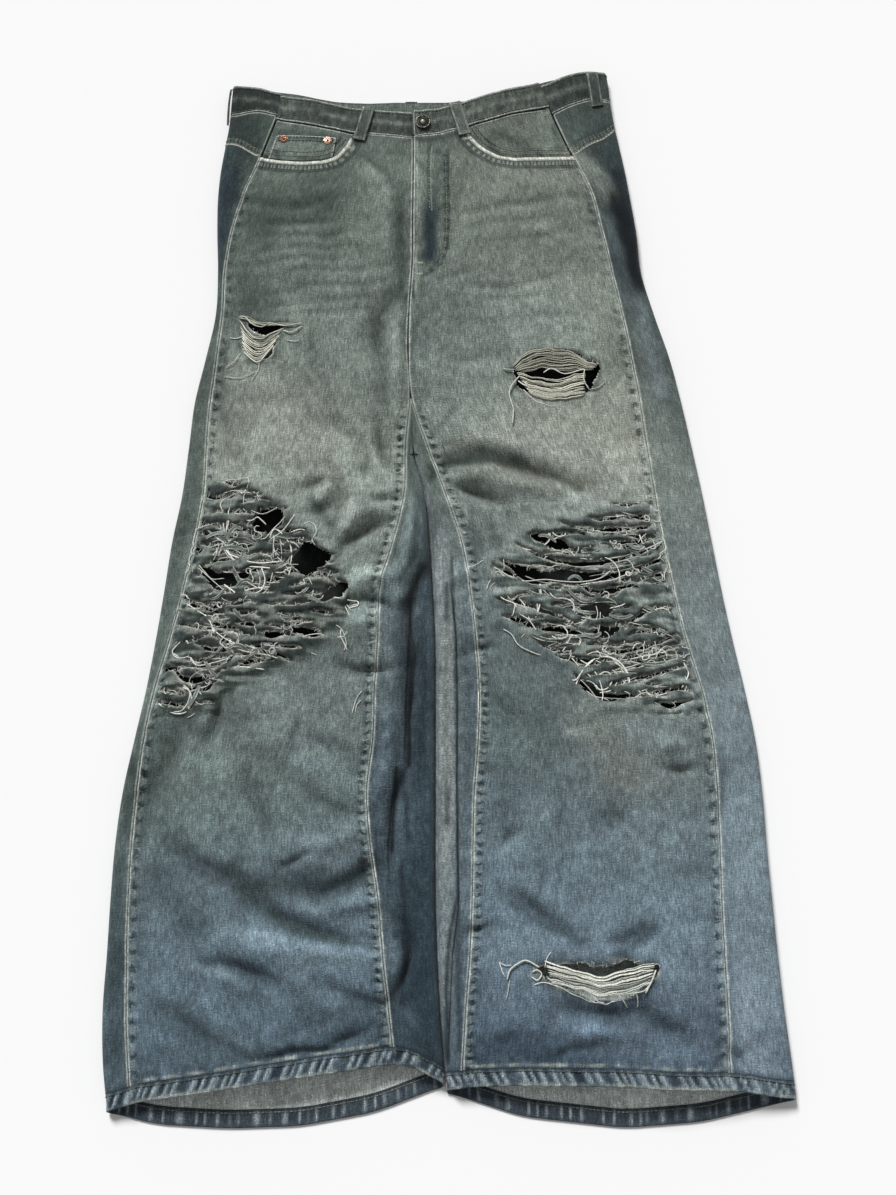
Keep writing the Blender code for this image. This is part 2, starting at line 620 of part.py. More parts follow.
def hem(side, material):
    """The turned hem: a closed ring round the leg's end, thickened inwards."""
    places = np.concatenate([np.array(FRONT_PARTS[side]), BACK_PLACES[1:]])
    rows = np.array([HEM_Y, HEM_Y + HEM_WIDTH])
    s, y = np.meshgrid(places, rows, indexing="ij")
    y = y + hem_shift(side, s)
    points = path(side, s, y)
    normals = path_normal(side, s, y)
    step = points[:, 0] - points[:, 1]
    points[:, 1] += 0.5 * SEAM_GAP * step / np.linalg.norm(step, axis=-1, keepdims=True)
    bm = bmesh.new()
    rings = []
    for reach in (0.5 * CLOTH, 0.5 * CLOTH - HEM_CLOTH):
        for row in (0, 1):
            corners = points[:-1, row] + reach * normals[:-1, row]
            rings.append([bm.verts.new(corner) for corner in corners])
    out_low, out_high, in_low, in_high = rings
    for low, high in ((out_low, out_high), (out_high, in_high), (in_high, in_low), (in_low, out_low)):
        for k in range(len(low)):
            n = (k + 1) % len(low)
            bm.faces.new([low[k], low[n], high[n], high[k]])
    return new_object("hem_" + side, bm, material)


# ---------------------------------------------------------------- waistband


def front_band(side, material):
    parts = np.array(BAND_PARTS[side])
    low = straight(FRONT_BANDS[side], "part", "y", parts)
    rows = np.linspace(0, BAND_WIDTH, 3)
    s, rise = np.meshgrid(parts, rows, indexing="ij")
    y = low[:, None] + rise
    normals = path_normal(side, s, y)
    points = pull_in(path(side, s, y), normals, SEAM_GAP)
    inside = BAND_CLOTH - 0.5 * CLOTH
    cells = all_cells(len(parts), len(rows))
    return wall("waistband_front_" + side, points, normals, cells, 0.5 * CLOTH, inside, material)


def back_band(material):
    """One strip from outseam to outseam, round both edges and under the back."""
    places = BACK_PLACES[:FORK_COLUMN - 1]
    rows = spread((BAND_Y, BAND_Y + BAND_WIDTH, 2))
    halves = []
    for side in ("left", "right"):
        s, y = np.meshgrid(places, rows, indexing="ij")
        y = y + row_shift(y, back_knots(side, s))
        halves.append((path(side, s, y), path_normal(side, s, y)))
    (left, left_normals), (right, right_normals) = halves
    points = np.concatenate([left, right[::-1]])
    normals = np.concatenate([left_normals, right_normals[::-1]])
    points = pull_in(points, normals, 0.5 * SEAM_GAP)
    inside = BAND_CLOTH - 0.5 * CLOTH
    cells = all_cells(*points.shape[:2])
    return wall("waistband_back", points, normals, cells, 0.5 * CLOTH, inside, material)


def strap(name, centre, normals, width, material):
    """A flat strip of cloth along a line of points, a gap above what it lies on."""
    run = np.gradient(centre, axis=0)
    across = np.cross(run, normals)
    across = across / np.linalg.norm(across, axis=-1, keepdims=True)
    points = np.stack([centre - 0.5 * width * across, centre + 0.5 * width * across])
    both = np.stack([normals, normals])
    cells = all_cells(*points.shape[:2])
    return wall(name, points, both, cells, 0.5 * TRIM_CLOTH, 0.5 * TRIM_CLOTH, material)


def loop_line(side, s, low, high, lean, clear):
    """A belt loop's middle line at place s, arched off the cloth between its two sewn ends."""
    t = np.linspace(0, 1, 7)
    y = high + (low - high) * t
    base = path(side, np.full_like(y, s), y)
    normals = path_normal(side, np.full_like(y, s), y)
    reach = clear + 0.5 * TRIM_CLOTH + LOOP_ARCH * np.sin(math.pi * t)
    line = base + reach[:, None] * normals
    line[:, 0] += lean * (t - 0.5)
    return line, normals


def belt_loops(material):
    clear = 0.5 * CLOTH + 2 * SEAM_GAP
    for side, loop in FRONT_LOOPS.items():
        low = float(straight(FRONT_BANDS[side], "part", "y", loop.part))
        line, normals = loop_line(
            side, FRONT + loop.part, low - LOOP_OVERHANG, low + BAND_WIDTH, loop.lean, clear)
        strap("belt_loop_front_" + side, line, normals, LOOP_WIDTH, material)
    for side, (place, width) in SIDE_LOOPS.items():
        low = float(along(BACK_BAND, "part", "y", back_place(side, np.array(place))))
        line, normals = loop_line(side, place, low - LOOP_OVERHANG, low + BAND_WIDTH, 0, clear)
        strap("belt_loop_side_" + side, line, normals, width, material)
    centre = SIGN["left"] * inner_line("left", BAND_Y)
    low = BACK_BAND[4].y
    y = np.array([low - LOOP_OVERHANG, low + BAND_WIDTH])
    line = np.stack([np.full(2, centre), y, np.full(2, 0.5 * TRIM_CLOTH)], axis=-1)
    down = np.tile([0.0, 0.0, -1.0], (2, 1))
    strap("belt_loop_centre_back", line, down, LOOP_WIDTH, material)


# ---------------------------------------------------------------- pockets


def pocket_facing(side, material):
    """The cloth that shows inside the pocket opening, tucked under the opening's edge."""
    parts = [part for part in BAND_PARTS[side] if part > POCKET_CORNER[side]]
    parts = np.array([POCKET_CORNER[side] - 0.03, POCKET_CORNER[side]] + parts)
    low = straight(FRONT_TOPS[side], "part", "y", parts) - FACING_TUCK
    low[:2] = low[2]
    high = straight(FRONT_BANDS[side], "part", "y", parts) - 0.5 * SEAM_GAP
    s, t = np.meshgrid(parts, np.linspace(0, 1, 4), indexing="ij")
    y = low[:, None] + (high - low)[:, None] * t
    normals = path_normal(side, s, y)
    points = path(side, s, y) - FACING_DROP * normals
    points[-1, :, 0] -= SIGN[side] * 2 * SEAM_GAP
    cells = all_cells(*points.shape[:2])
    return wall("pocket_facing_" + side, points, normals, cells, 0.5 * CLOTH, 0.5 * CLOTH, material)


def coin_pocket(material):
    """A small patch on the left facing, with its foot inside the main pocket."""
    side = "left"
    parts = np.linspace(COIN_PARTS[0], COIN_PARTS[1], 6)
    low = straight(FRONT_TOPS[side], "part", "y", parts) + COIN_CLEAR
    high = np.interp(parts, COIN_PARTS, COIN_TOP_Y)
    s, t = np.meshgrid(parts, np.linspace(0, 1, 3), indexing="ij")
    y = low[:, None] + (high - low)[:, None] * t
    points = path(side, s, y)
    normals = path_normal(side, s, y)
    cells = all_cells(*points.shape[:2])
    return wall("coin_pocket", points, normals, cells, 0.5 * CLOTH, 0.5 * CLOTH, material)


def back_pocket(side, material):
    """A five-sided patch under the seat, which rests on it."""
    p = BACK_POCKETS[side]
    outline = [
        (p.x - p.half_top, p.top_y), (p.x + p.half_top, p.top_y),
        (p.x + p.half_foot, p.top_y - p.side_height), (p.x, p.top_y - p.point_height),
        (p.x - p.half_foot, p.top_y - p.side_height),
    ]
    bm = bmesh.new()
    foot = bm.faces.new([bm.verts.new((x, y, 0)) for x, y in outline])
    top = bmesh.ops.extrude_face_region(bm, geom=[foot])
    raised = [v for v in top["geom"] if isinstance(v, bmesh.types.BMVert)]
    bmesh.ops.translate(bm, verts=raised, vec=(0, 0, TRIM_CLOTH))
    return new_object("back_pocket_" + side, bm, material)


# ---------------------------------------------------------------- rips


def slot_cutter(index, slot):
    """A pointed prism that cuts a rip through a front panel."""
    turn = math.radians(slot.turn)
    ends = np.linspace(-1, 1, SLOT_POINTS + 2)
    upper = [(t, 1 - t * t) for t in ends]
    lower = [(t, t * t - 1) for t in ends[-2:0:-1]]
    bm = bmesh.new()
    corners = []
    for along_slot, across_slot in upper + lower:
        dx = along_slot * slot.half_length
        dy = across_slot * slot.half_width
        x = slot.x + dx * math.cos(turn) - dy * math.sin(turn)
        y = slot.y + dx * math.sin(turn) + dy * math.cos(turn)
        corners.append(bm.verts.new((x, y, SLOT_FOOT)))
    foot = bm.faces.new(corners)
    top = bmesh.ops.extrude_face_region(bm, geom=[foot])
    raised = [v for v in top["geom"] if isinstance(v, bmesh.types.BMVert)]
    bmesh.ops.translate(bm, verts=raised, vec=(0, 0, SLOT_DEPTH))
    cutter = new_object(f"rip_cutter_{index}", bm, bpy.data.materials["black"])
    cutter.hide_render = True
    cutter.display_type = "WIRE"
    return cutter


def rip(fronts):
    for index, slot in enumerate(SLOTS):
        cutter = slot_cutter(index, slot)
        cut = fronts[slot.side].modifiers.new(f"rip_{index}", "BOOLEAN")
        cut.operation = "DIFFERENCE"
        cut.solver = "EXACT"
        cut.object = cutter


# ---------------------------------------------------------------- metal


def turned(name, centre, normal, profile, material):
    """A round fitting turned from (radius, height) pairs and set square on the cloth."""
    bm = bmesh.new()
    verts = [bm.verts.new((radius, 0, height)) for radius, height in profile]
    edges = [bm.edges.new(pair) for pair in zip(verts, verts[1:])]
    bmesh.ops.spin(
        bm, geom=verts + edges, cent=(0, 0, 0), axis=(0, 0, 1), angle=2 * math.pi, steps=TURNED_STEPS,
        use_merge=True, use_duplicate=False)
    bmesh.ops.remove_doubles(bm, verts=bm.verts, dist=1e-6)
    bmesh.ops.holes_fill(bm, edges=bm.edges)
    obj = new_object(name, bm, material)
    obj.rotation_mode = "QUATERNION"
    obj.rotation_quaternion = Vector(normal).to_track_quat("Z", "Y")
    obj.location = centre
    return obj


def fitting_place(side, part, y, clear):
    s = np.array(FRONT + part)
    normal = path_normal(side, s, np.array(y))
    return path(side, s, np.array(y)) + clear * normal, normal


def button(material):
    low = float(straight(FRONT_BANDS["right"], "part", "y", BUTTON_PART))
    clear = 0.5 * CLOTH + SEAM_GAP
    centre, normal = fitting_place("right", BUTTON_PART, low + BUTTON_RISE, clear)
    r = BUTTON_RADIUS
    h = BUTTON_HEIGHT
    profile = [(0.55 * r, 0), (0.55 * r, 0.35 * h), (r, 0.45 * h), (r, 0.8 * h), (0.85 * r, h),
               (0.5 * r, 0.85 * h)]
    return turned("button", centre, normal, profile, material)


def rivets(material):
    for index, part in enumerate(RIVET_PARTS, start=1):
        y = float(np.interp(part, COIN_PARTS, COIN_TOP_Y)) - RIVET_DROP
        centre, normal = fitting_place("left", part, y, 0.5 * CLOTH + SEAM_GAP)
        r = RIVET_RADIUS
        h = RIVET_HEIGHT
        profile = [(r, 0), (r, 0.5 * h), (0.7 * r, h), (0.4 * r, 0.6 * h)]
        turned(f"coin_pocket_rivet_{index}", centre, normal, profile, material)


# ---------------------------------------------------------------- build


def main():
    for obj in list(bpy.data.objects):
        bpy.data.objects.remove(obj)
    front_denim = cloth_material("front_denim", (0.10, 0.12, 0.12))
    back_denim = cloth_material("back_denim", (0.04, 0.06, 0.09))
    band_denim = cloth_material("band_denim", (0.05, 0.06, 0.065))
    hem_denim = cloth_material("hem_denim", (0.06, 0.08, 0.11))
    iron = cloth_material("blackened_iron", (0.03, 0.03, 0.03), 0.5, 1.0)
    copper = cloth_material("copper", (0.35, 0.16, 0.10), 0.45, 1.0)
    cloth_material("black", (0, 0, 0))
    fronts = {}
    for side in ("left", "right"):
        fronts[side] = front_panel(side, front_denim)
        back_panel(side, back_denim)
        yoke(side, back_denim)
        hem(side, hem_denim)
        front_band(side, band_denim)
        pocket_facing(side, front_denim)
        back_pocket(side, back_denim)
    back_band(band_denim)
    belt_loops(band_denim)
    coin_pocket(front_denim)
    rip(fronts)
    button(iron)
    rivets(copper)


main()
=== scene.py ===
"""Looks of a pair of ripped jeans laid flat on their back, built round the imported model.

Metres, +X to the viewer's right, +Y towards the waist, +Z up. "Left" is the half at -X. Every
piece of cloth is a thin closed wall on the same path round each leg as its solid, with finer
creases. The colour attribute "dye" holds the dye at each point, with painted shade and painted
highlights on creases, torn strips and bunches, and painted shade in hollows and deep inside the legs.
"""
import math
from collections import namedtuple

import bpy
import numpy as np
from bpy.props import FloatProperty, FloatVectorProperty, PointerProperty
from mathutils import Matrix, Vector


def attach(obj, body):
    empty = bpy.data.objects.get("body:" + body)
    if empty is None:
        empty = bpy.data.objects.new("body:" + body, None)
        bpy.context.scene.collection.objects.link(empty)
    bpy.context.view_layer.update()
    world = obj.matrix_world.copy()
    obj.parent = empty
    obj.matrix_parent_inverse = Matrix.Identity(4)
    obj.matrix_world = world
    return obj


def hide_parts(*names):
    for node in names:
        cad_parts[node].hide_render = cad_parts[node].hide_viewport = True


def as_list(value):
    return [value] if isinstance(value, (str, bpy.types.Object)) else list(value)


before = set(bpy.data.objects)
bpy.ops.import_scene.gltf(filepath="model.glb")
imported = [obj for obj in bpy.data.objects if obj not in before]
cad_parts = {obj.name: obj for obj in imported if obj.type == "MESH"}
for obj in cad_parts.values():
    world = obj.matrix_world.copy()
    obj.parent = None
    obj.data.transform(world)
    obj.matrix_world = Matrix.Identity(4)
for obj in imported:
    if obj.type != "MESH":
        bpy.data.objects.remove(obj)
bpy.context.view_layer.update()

bl_info = {
    "name": "Ripped jeans",
    "version": (1, 0, 0),
    "blender": (4, 5, 0),
    "location": "3D View > Sidebar > Jeans",
    "description": "Builds the finished cloth, threads and fittings of a pair of ripped jeans",
    "category": "Object",
}

# ---------------------------------------------------------------- driving sizes, in metres
CLOTH = 0.0014            # denim wall
HEM_CLOTH = 0.0022        # turned hem, folded twice
BAND_CLOTH = 0.0028       # waistband, two layers and a turning
TRIM_CLOTH = 0.0015       # patch pockets and belt loops
SEAM_GAP = 0.0003         # between pieces at a seam and between layers
LEG_GAP = 0.0008          # between the two legs where they lie side by side
EDGE_RADIUS = 0.0045      # roll of the cloth at the outer edge of a leg
FLOOR_LIFT = 0.0019       # how far the seat is held up by the patch pockets under it
HEM_WIDTH = 0.0155
BAND_WIDTH = 0.032        # as seen from above: the band leans
LOOP_WIDTH = 0.013
LOOP_ARCH = 0.0012        # how far a belt loop stands off the waistband at its middle

WRAP_TOP_Y = 0.147        # the back panels' strips beside the inseams end here
FORK_Y = 0.093            # the legs part here
FORK_RUN = 0.0002         # run over which they do
ROLL_FADE = 0.03          # above the fork, the inner roll flattens over this run
JOIN_FADE = 0.045         # and the two halves close up over this one
DOME_RUN = 0.115          # distance from an edge at which the cloth reaches its full height
DOME_POWER = 1.35         # how square-shouldered that rise is
STEP_RUN = 0.005          # width of the step in the right leg
SEAT_FADE = 0.09          # run above the fork over which two legs become one seat
FOLD_INSET = 0.011        # folds fade out over this run beside a rolled edge

# Nominal stations along Y that each panel's own edges bend away from.
HEM_Y = -0.515
PANEL_TOP_Y = 0.430       # top of the front and back panels
BAND_Y = 0.480            # seam between yoke and waistband
END_RUN = 0.150           # how far from an end its curve still shows

# ---------------------------------------------------------------- outlines and heights

# These tables are in millimetres, in the model's own frame, and become metres as they are read.
Station = namedtuple("Station", "y outer outseam inseam")
Middle = namedtuple("Middle", "y centre left_roll right_roll step")
Rise = namedtuple("Rise", "y height")
Edge = namedtuple("Edge", "x y")
Across = namedtuple("Across", "part y")
Crease = namedtuple("Crease", "x0 y0 x1 y1 x2 y2 width height")


def metres(row):
    """The lengths of a table's row, which the tables give in millimetres."""
    return [value / 1000 for value in row]


def edge_points(*rows):
    """Points of an edge: part of the way across, and y in millimetres."""
    return [Across(part, y / 1000) for part, y in rows]


STATIONS = {
    "left": [Station(*metres(row)) for row in (
        (-530, -305.5, -282.5, -43), (-500, -310.5, -286, -46), (-450, -314.5, -291, -52),
        (-400, -314, -294, -58), (-350, -314, -296, -63), (-300, -313, -296, -71),
        (-250, -309, -295, -75), (-200, -301, -291, -70), (-150, -292.5, -283, -69),
        (-100, -286, -271, -66.5), (-50, -280.5, -260, -65.5), (0, -275.5, -251.5, -53),
        (50, -268, -245, -42.5), (100, -264, -244.5, -41.5), (150, -260, -243, -37),
        (200, -251, -239, -39.8), (250, -243, -235, -38.5), (300, -243, -234.5, -35.7),
        (350, -246, -227.5, -35.7), (390, -247, -217, -35.7), (420, -245.5, -205.5, -35.7),
        (450, -242, -196, -36), (480, -238.5, -186, -37), (520, -237, -181.5, -38.2),
        (560, -236, -177.5, -39),
    )],
    "right": [Station(*metres(row)) for row in (
        (-530, 316, 255, 14), (-500, 314, 255, 15), (-450, 310, 256, 18), (-400, 307, 255.5, 22),
        (-350, 305, 256, 24.5), (-300, 303, 257, 25.5), (-250, 302, 257, 27), (-200, 298.5, 255, 31),
        (-150, 291, 246.5, 32), (-100, 282, 233.5, 29), (-50, 274, 224, 23.5), (0, 267, 216, 15),
        (50, 260, 209, -1), (100, 252, 203, -19), (150, 243, 197.5, -35.7), (200, 233, 191, -38.7),
        (250, 219, 183, -38), (300, 207, 174, -35.2), (350, 203.5, 164.5, -35.2),
        (390, 198.5, 156, -35.2), (420, 194.5, 144, -35.2), (450, 189.5, 130, -35.5),
        (480, 184.5, 118.5, -36.5), (520, 180, 104.5, -37.7), (560, 177, 89.5, -38.5),
    )],
}

# The line between the legs, which is the seat seam above the fork, the roll of each leg's
# inner edge beside it, and where the right leg's cloth steps up from its flat inner strip.
MIDDLE = [Middle(*metres(row)) for row in (
    (-530, 0.5, 4.2, 2.4, 3), (-500, -1.5, 4.5, 2.4, 3.5), (-450, -5.5, 4.5, 2.4, 4),
    (-400, -8.5, 4.5, 2.4, 6.5), (-350, -10, 4.5, 2.4, 12.5), (-250, -10.5, 4.5, 2.4, 10.5),
    (-150, -10.7, 4.5, 2.4, 11), (-100, -11.2, 4.5, 2.4, 10), (-50, -13.7, 4.5, 2.4, 6),
    (0, -16.8, 4.5, 2.8, 1), (50, -21.5, 4.5, 3.8, -12), (93, -32.8, 4.5, 4.5, -25),
    (120, -34.5, 4.5, 4.5, -30), (150, -36.4, 4.5, 4.5, -32), (560, -38.5, 4.5, 4.5, -32),
)]

# Height of the top layer above its rolled edges, in the middle of a leg or of the seat.
RISES = [Rise(*metres(row)) for row in (
    (-550, 13.5), (-450, 15.5), (-200, 16), (0, 18), (150, 20), (350, 19), (450, 12), (550, 5.5),
)]

# Hem lines, front layer and back layer: the back hangs longer than the front.
HEMS = {
    ("left", "front"): [Edge(*metres(row)) for row in (
        (-306, -536.5), (-282, -528), (-241, -522), (-176, -512.7), (-112, -503.3), (-46, -494.2),
        (-24, -497.5), (-4, -513.5),
    )],
    ("left", "back"): [Edge(*metres(row)) for row in (
        (-306, -537), (-263, -547), (-198, -550.5), (-133, -548.5), (-67, -537), (-4, -515),
    )],
    ("right", "front"): [Edge(*metres(row)) for row in (
        (0, -519), (14, -515), (68, -512.5), (160, -513.3), (206, -516.5), (263, -517.5), (297, -523.5),
        (315, -525),
    )],
    ("right", "back"): [Edge(*metres(row)) for row in (
        (0, -520), (68, -540.5), (160, -550), (229, -545), (315, -526),
    )],
}

# Top edge of each front panel, by the part of the way from centre to outseam: the waistband
# seam first, then the curved pocket opening.
FRONT_TOPS = {
    "left": edge_points(
        (0, 453), (0.425, 459.4), (0.432, 445.5), (0.5, 428.5), (0.58, 423.5), (0.7, 422.5),
        (0.86, 426.5), (1, 433)),
    "right": edge_points(
        (0, 456), (0.18, 458.5), (0.355, 466.5), (0.375, 456), (0.44, 440), (0.52, 430), (0.62, 426.5),
        (0.8, 429), (1, 434)),
}
POCKET_CORNER = {"left": 0.425, "right": 0.355}   # part of the way across where a pocket opens

# Lower edge of the front waistband, from the centre to the outseam.
FRONT_BANDS = {
    "left": edge_points(
        (0, 453), (0.425, 459.4), (0.7, 469.5), (1, 479.4)),
    "right": edge_points(
        (0, 456), (0.18, 458.5), (0.355, 466.5), (0.44, 472), (0.71, 485), (1, 495.5)),
}

# Lower edge of the back waistband and the yoke seam, along the path from the left outseam
# (part 0) round the left edge (1), under the back to the right edge (2) and the right outseam (3).
BACK_BAND = edge_points(
    (0, 484), (0.35, 491.5), (0.7, 489), (1, 489), (1.15, 482), (1.3, 469.5), (1.49, 469), (1.51, 469),
    (1.64, 471), (1.76, 484), (1.88, 498.5), (2, 506.2), (2.3, 507), (2.45, 509.6), (2.7, 501),
    (3, 486.5))
# Upper edge of the back waistband, which leans where it comes round to the front.
BACK_TOP = edge_points(
    (0, 514), (0.35, 523.5), (0.7, 527), (1, 526.5), (1.15, 521.5), (1.3, 510.5), (1.49, 510),
    (1.51, 510), (1.64, 512), (1.76, 525), (1.88, 539.5), (2, 543.5), (2.3, 544), (2.5, 544.5),
    (2.75, 535), (3, 522.5))
YOKE_SEAM = edge_points(
    (0, 433), (1, 444), (1.25, 423), (1.49, 404), (1.51, 404), (1.75, 427), (2, 466), (2.5, 456),
    (3, 434))


# Creases in the top layer: a curved ridge from start by middle to end, or a trough if its height
# is negative, that fades over its width. Rows are (x0, y0, x1, y1, x2, y2, width, height).
CREASES = [Crease(*metres(row)) for row in (
    (-56, 258, -71, 218, -59, 135, 11, -4.5), (-48, 237, -56, 199, -49, 124, 8, 2),
    (-95, 418, -62, 369, -52, 269, 9, 1.6), (-45, 375, -43, 328, -45, 269, 5, -2),
    (-134, 218, -127, 168, -82, 118, 7, -1.4), (-150, 184, -114, 151, -72, 91, 9, 1.6),
    (-67, 118, -62, 91, -46, 64, 7, -2.2), (-76, 113, -68, 80, -49, 53, 6, 1.6),
    (-236, 157, -224, 113, -197, 64, 6, -1.4), (-231, 207, -235, 179, -228, 129, 6, -1),
    (-209, 267, -200, 253, -191, 240, 11, -1.6), (-149, 132, -123, 124, -110, 113, 10, -1.4),
    (-205, 148, -185, 143, -159, 145, 10, -0.9), (-107, 89, -94, 59, -61, 46, 12, 1.8),
    (-79, 89, -76, 75, -80, 61, 6, -1.4), (-121, -20, -100, 17, -61, 38, 14, 6),
    (-114, 72, -105, 29, -123, -12, 8, -3.6), (-116, -31, -93, 0, -58, 19, 9, -4.2),
    (-146, 32, -128, 38, -118, 55, 7, 2.6), (-150, 44, -134, 53, -120, 57, 5, -2.2),
    (-76, 38, -61, 41, -44, 42, 5, -1.8), (-99, -55, -75, -43, -47, -37, 9, 2.6),
    (-99, -69, -74, -66, -43, -78, 5, -2.4), (-98, -98, -82, -88, -64, -86, 12, 2.2),
    (-107, -129, -81, -134, -46, -133, 6, -2.8), (-33, 40, -37, -4, -55, -37, 7, 3),
    (-20, 33, -16, -14, -37, -71, 8, -5), (-35, -66, -34, -155, -35, -224, 4, -4),
    (-41, -227, -49, -260, -50, -306, 5, -4.5), (-53, -40, -47, -106, -47, -174, 7, 2),
    (-58, -179, -58, -222, -71, -264, 7, 2.2), (-9, 91, 44, 85, 132, 55, 10, -6.5),
    (-1, 63, 44, 63, 129, 38, 9, 3.6), (10, 57, 34, 48, 62, 36, 6, -3.2),
    (0, 40, 18, 29, 24, 6, 6, 1.8), (26, 33, 30, -4, 37, -43, 5, -1.8),
    (42, 22, 50, -4, 55, -17, 5, -1.4), (64, 33, 67, 17, 65, 1, 5, -1.2),
    (4, -42, 18, -35, 35, -30, 8, 2), (9, -121, 29, -114, 50, -110, 5, -2),
    (15, -101, 23, -108, 38, -106, 6, -1.2), (56, -198, 57, -260, 53, -298, 4, -1),
    (104, -246, 107, -271, 105, -292, 4, -0.9), (92, -313, 90, -333, 87, -347, 4, -1),
    (104, -310, 103, -329, 99, -347, 4, -0.9), (50, -302, 59, -295, 65, -289, 6, -1.6),
    (54, -345, 86, -362, 122, -392, 8, -3.4), (151, -392, 177, -385, 192, -371, 8, -2.2),
    (103, -443, 148, -451, 179, -443, 8, -3), (175, -443, 196, -458, 222, -472, 7, -3.4),
    (108, -465, 138, -467, 174, -465, 9, 1.8), (45, -482, 57, -477, 72, -470, 8, -1.8),
    (95, -487, 115, -485, 138, -482, 6, -1.5), (206, -226, 221, -230, 237, -226, 6, -2.4),
    (198, -208, 217, -205, 232, -201, 8, 1.4), (142, -271, 155, -278, 164, -284, 9, -1.1),
    (11, -383, 31, -380, 51, -373, 6, -2.2), (51, -169, 66, -176, 70, -194, 7, -1.2),
    (-258, -176, -265, -220, -287, -271, 13, -4.2), (-220, -165, -221, -186, -231, -211, 7, -2.2),
    (-150, -230, -147, -205, -138, -186, 6, -1.8), (-139, -200, -118, -213, -89, -214, 9, -2.2),
    (-189, -233, -176, -260, -162, -291, 8, -1.7), (-135, -247, -114, -262, -92, -276, 8, -1.9),
    (-265, -295, -223, -321, -173, -344, 10, -4.8), (-181, -345, -137, -374, -77, -390, 8, -4.4),
    (-151, -335, -105, -342, -54, -308, 9, -5.4), (-160, -326, -146, -317, -130, -308, 4, -1.6),
    (-212, -371, -151, -394, -49, -406, 12, 3), (-220, -406, -176, -415, -112, -453, 8, -4.4),
    (-116, -427, -87, -437, -49, -448, 8, -4), (-159, -439, -145, -452, -131, -468, 10, 1.8),
    (-269, -446, -222, -473, -180, -492, 10, -3), (-184, -494, -130, -486, -99, -482, 5, -2),
    (-104, -478, -90, -472, -72, -467, 6, -2), (-134, -356, -88, -353, -50, -348, 9, 3),
    (-131, -306, -99, -295, -69, -284, 11, 3), (-38, -364, -34, -409, -52, -444, 5, -3),
    (-43, -452, -28, -469, -9, -483, 4, 2), (-220, 375, -166, 368, -115, 375, 6, -0.8),
    (-208, 351, -150, 347, -107, 344, 5, -0.9), (-189, 335, -136, 328, -104, 333, 4, -0.8),
    (-217, 320, -154, 314, -89, 317, 4, -0.6), (-210, 304, -154, 302, -101, 300, 4, -0.5),
    (-193, 290, -122, 288, -57, 294, 3, -0.5), (-205, 274, -132, 269, -59, 278, 4, -0.6),
    (-186, 256, -132, 253, -77, 258, 4, -0.5), (-173, 242, -121, 242, -73, 246, 4, -0.4),
    (-128, 369, -119, 357, -107, 349, 7, -1), (-5, 360, 57, 363, 155, 388, 6, -0.9),
    (-7, 344, 57, 344, 137, 356, 5, -0.5), (-7, 283, 14, 283, 25, 286, 4, -0.6),
    (23, 268, 72, 271, 119, 282, 5, -0.8), (37, 255, 82, 257, 121, 263, 4, -0.6),
    (57, 328, 99, 330, 147, 342, 6, -0.5), (4, 233, 56, 233, 128, 240, 6, -0.4),
    (2, 190, 24, 188, 55, 192, 7, -0.7), (-6, 140, 6, 135, 14, 124, 8, -0.6),
    (264, -224, 265, -255, 259, -286, 5, -1.6), (252, -483, 263, -489, 273, -492, 6, -1.8),
    (285, -469, 288, -478, 286, -489, 6, -1.6), (243, -169, 248, -176, 246, -186, 6, -1.2),
    (191, -165, 147, -176, 109, -180, 10, 1.4),
)]

SIDES = ("left", "right")
SIGN = {"left": -1.0, "right": 1.0}

# ---------------------------------------------------------------- curves through the tables


def along(rows, key, value, at):
    """A smooth curve through one column of a table: value at the given key, held past its ends."""
    keys = np.array([getattr(row, key) for row in rows], float)
    values = np.array([getattr(row, value) for row in rows], float)
    if keys[0] > keys[-1]:
        keys = keys[::-1]
        values = values[::-1]
    slopes = np.gradient(values, keys)
    at = np.clip(np.asarray(at, float), keys[0], keys[-1])
    i = np.clip(np.searchsorted(keys, at) - 1, 0, len(keys) - 2)
    span = keys[i + 1] - keys[i]
    t = (at - keys[i]) / span
    start = (1 + 2 * t) * (1 - t) ** 2 * values[i] + t * (1 - t) ** 2 * span * slopes[i]
    end = t * t * (3 - 2 * t) * values[i + 1] - t * t * (1 - t) * span * slopes[i + 1]
    return start + end


def straight(rows, key, value, at):
    """Straight runs between a table's rows, for outlines that have corners."""
    keys = [getattr(row, key) for row in rows]
    values = [getattr(row, value) for row in rows]
    return np.interp(at, keys, values)


def ease(low, high, value):
    """0 below low, 1 above high, and a soft rise between them."""
    t = np.clip((np.asarray(value, float) - low) / (high - low), 0, 1)
    return t * t * (3 - 2 * t)


def peak(value, centre, width):
    """1 where a value is at the centre, falling softly to 0 a couple of widths away."""
    return np.exp(-((value - centre) / width) ** 2)


def dome(distance):
    """0 at an edge, and 1 from DOME_RUN inwards."""
    t = np.clip(np.asarray(distance, float) / DOME_RUN, 0, 1)
    return np.sin(0.5 * math.pi * t) ** DOME_POWER


# ---------------------------------------------------------------- the form of one half


def side_line(side, column, y):
    """Distance from the middle plane, outwards, of one of a half's lines."""
    return SIGN[side] * along(STATIONS[side], "y", column, y)


def unit(vectors):
    """Vectors made one metre long."""
    return vectors / np.maximum(np.linalg.norm(vectors, axis=-1, keepdims=True), 1e-12)


def inner_line(side, y):
    """Outer surface of a leg's inner edge below the fork, and the seat seam above it."""
    gap = LEG_GAP + (SEAM_GAP - LEG_GAP) * ease(FORK_Y - 0.06, FORK_Y, y)
    return SIGN[side] * along(MIDDLE, "y", "centre", y) + 0.5 * gap


def floor_height(y):
    """Middle of the cloth wall where it lies on the floor, or on the patch pockets."""
    return 0.5 * CLOTH + FLOOR_LIFT * ease(0.10, 0.155, y)


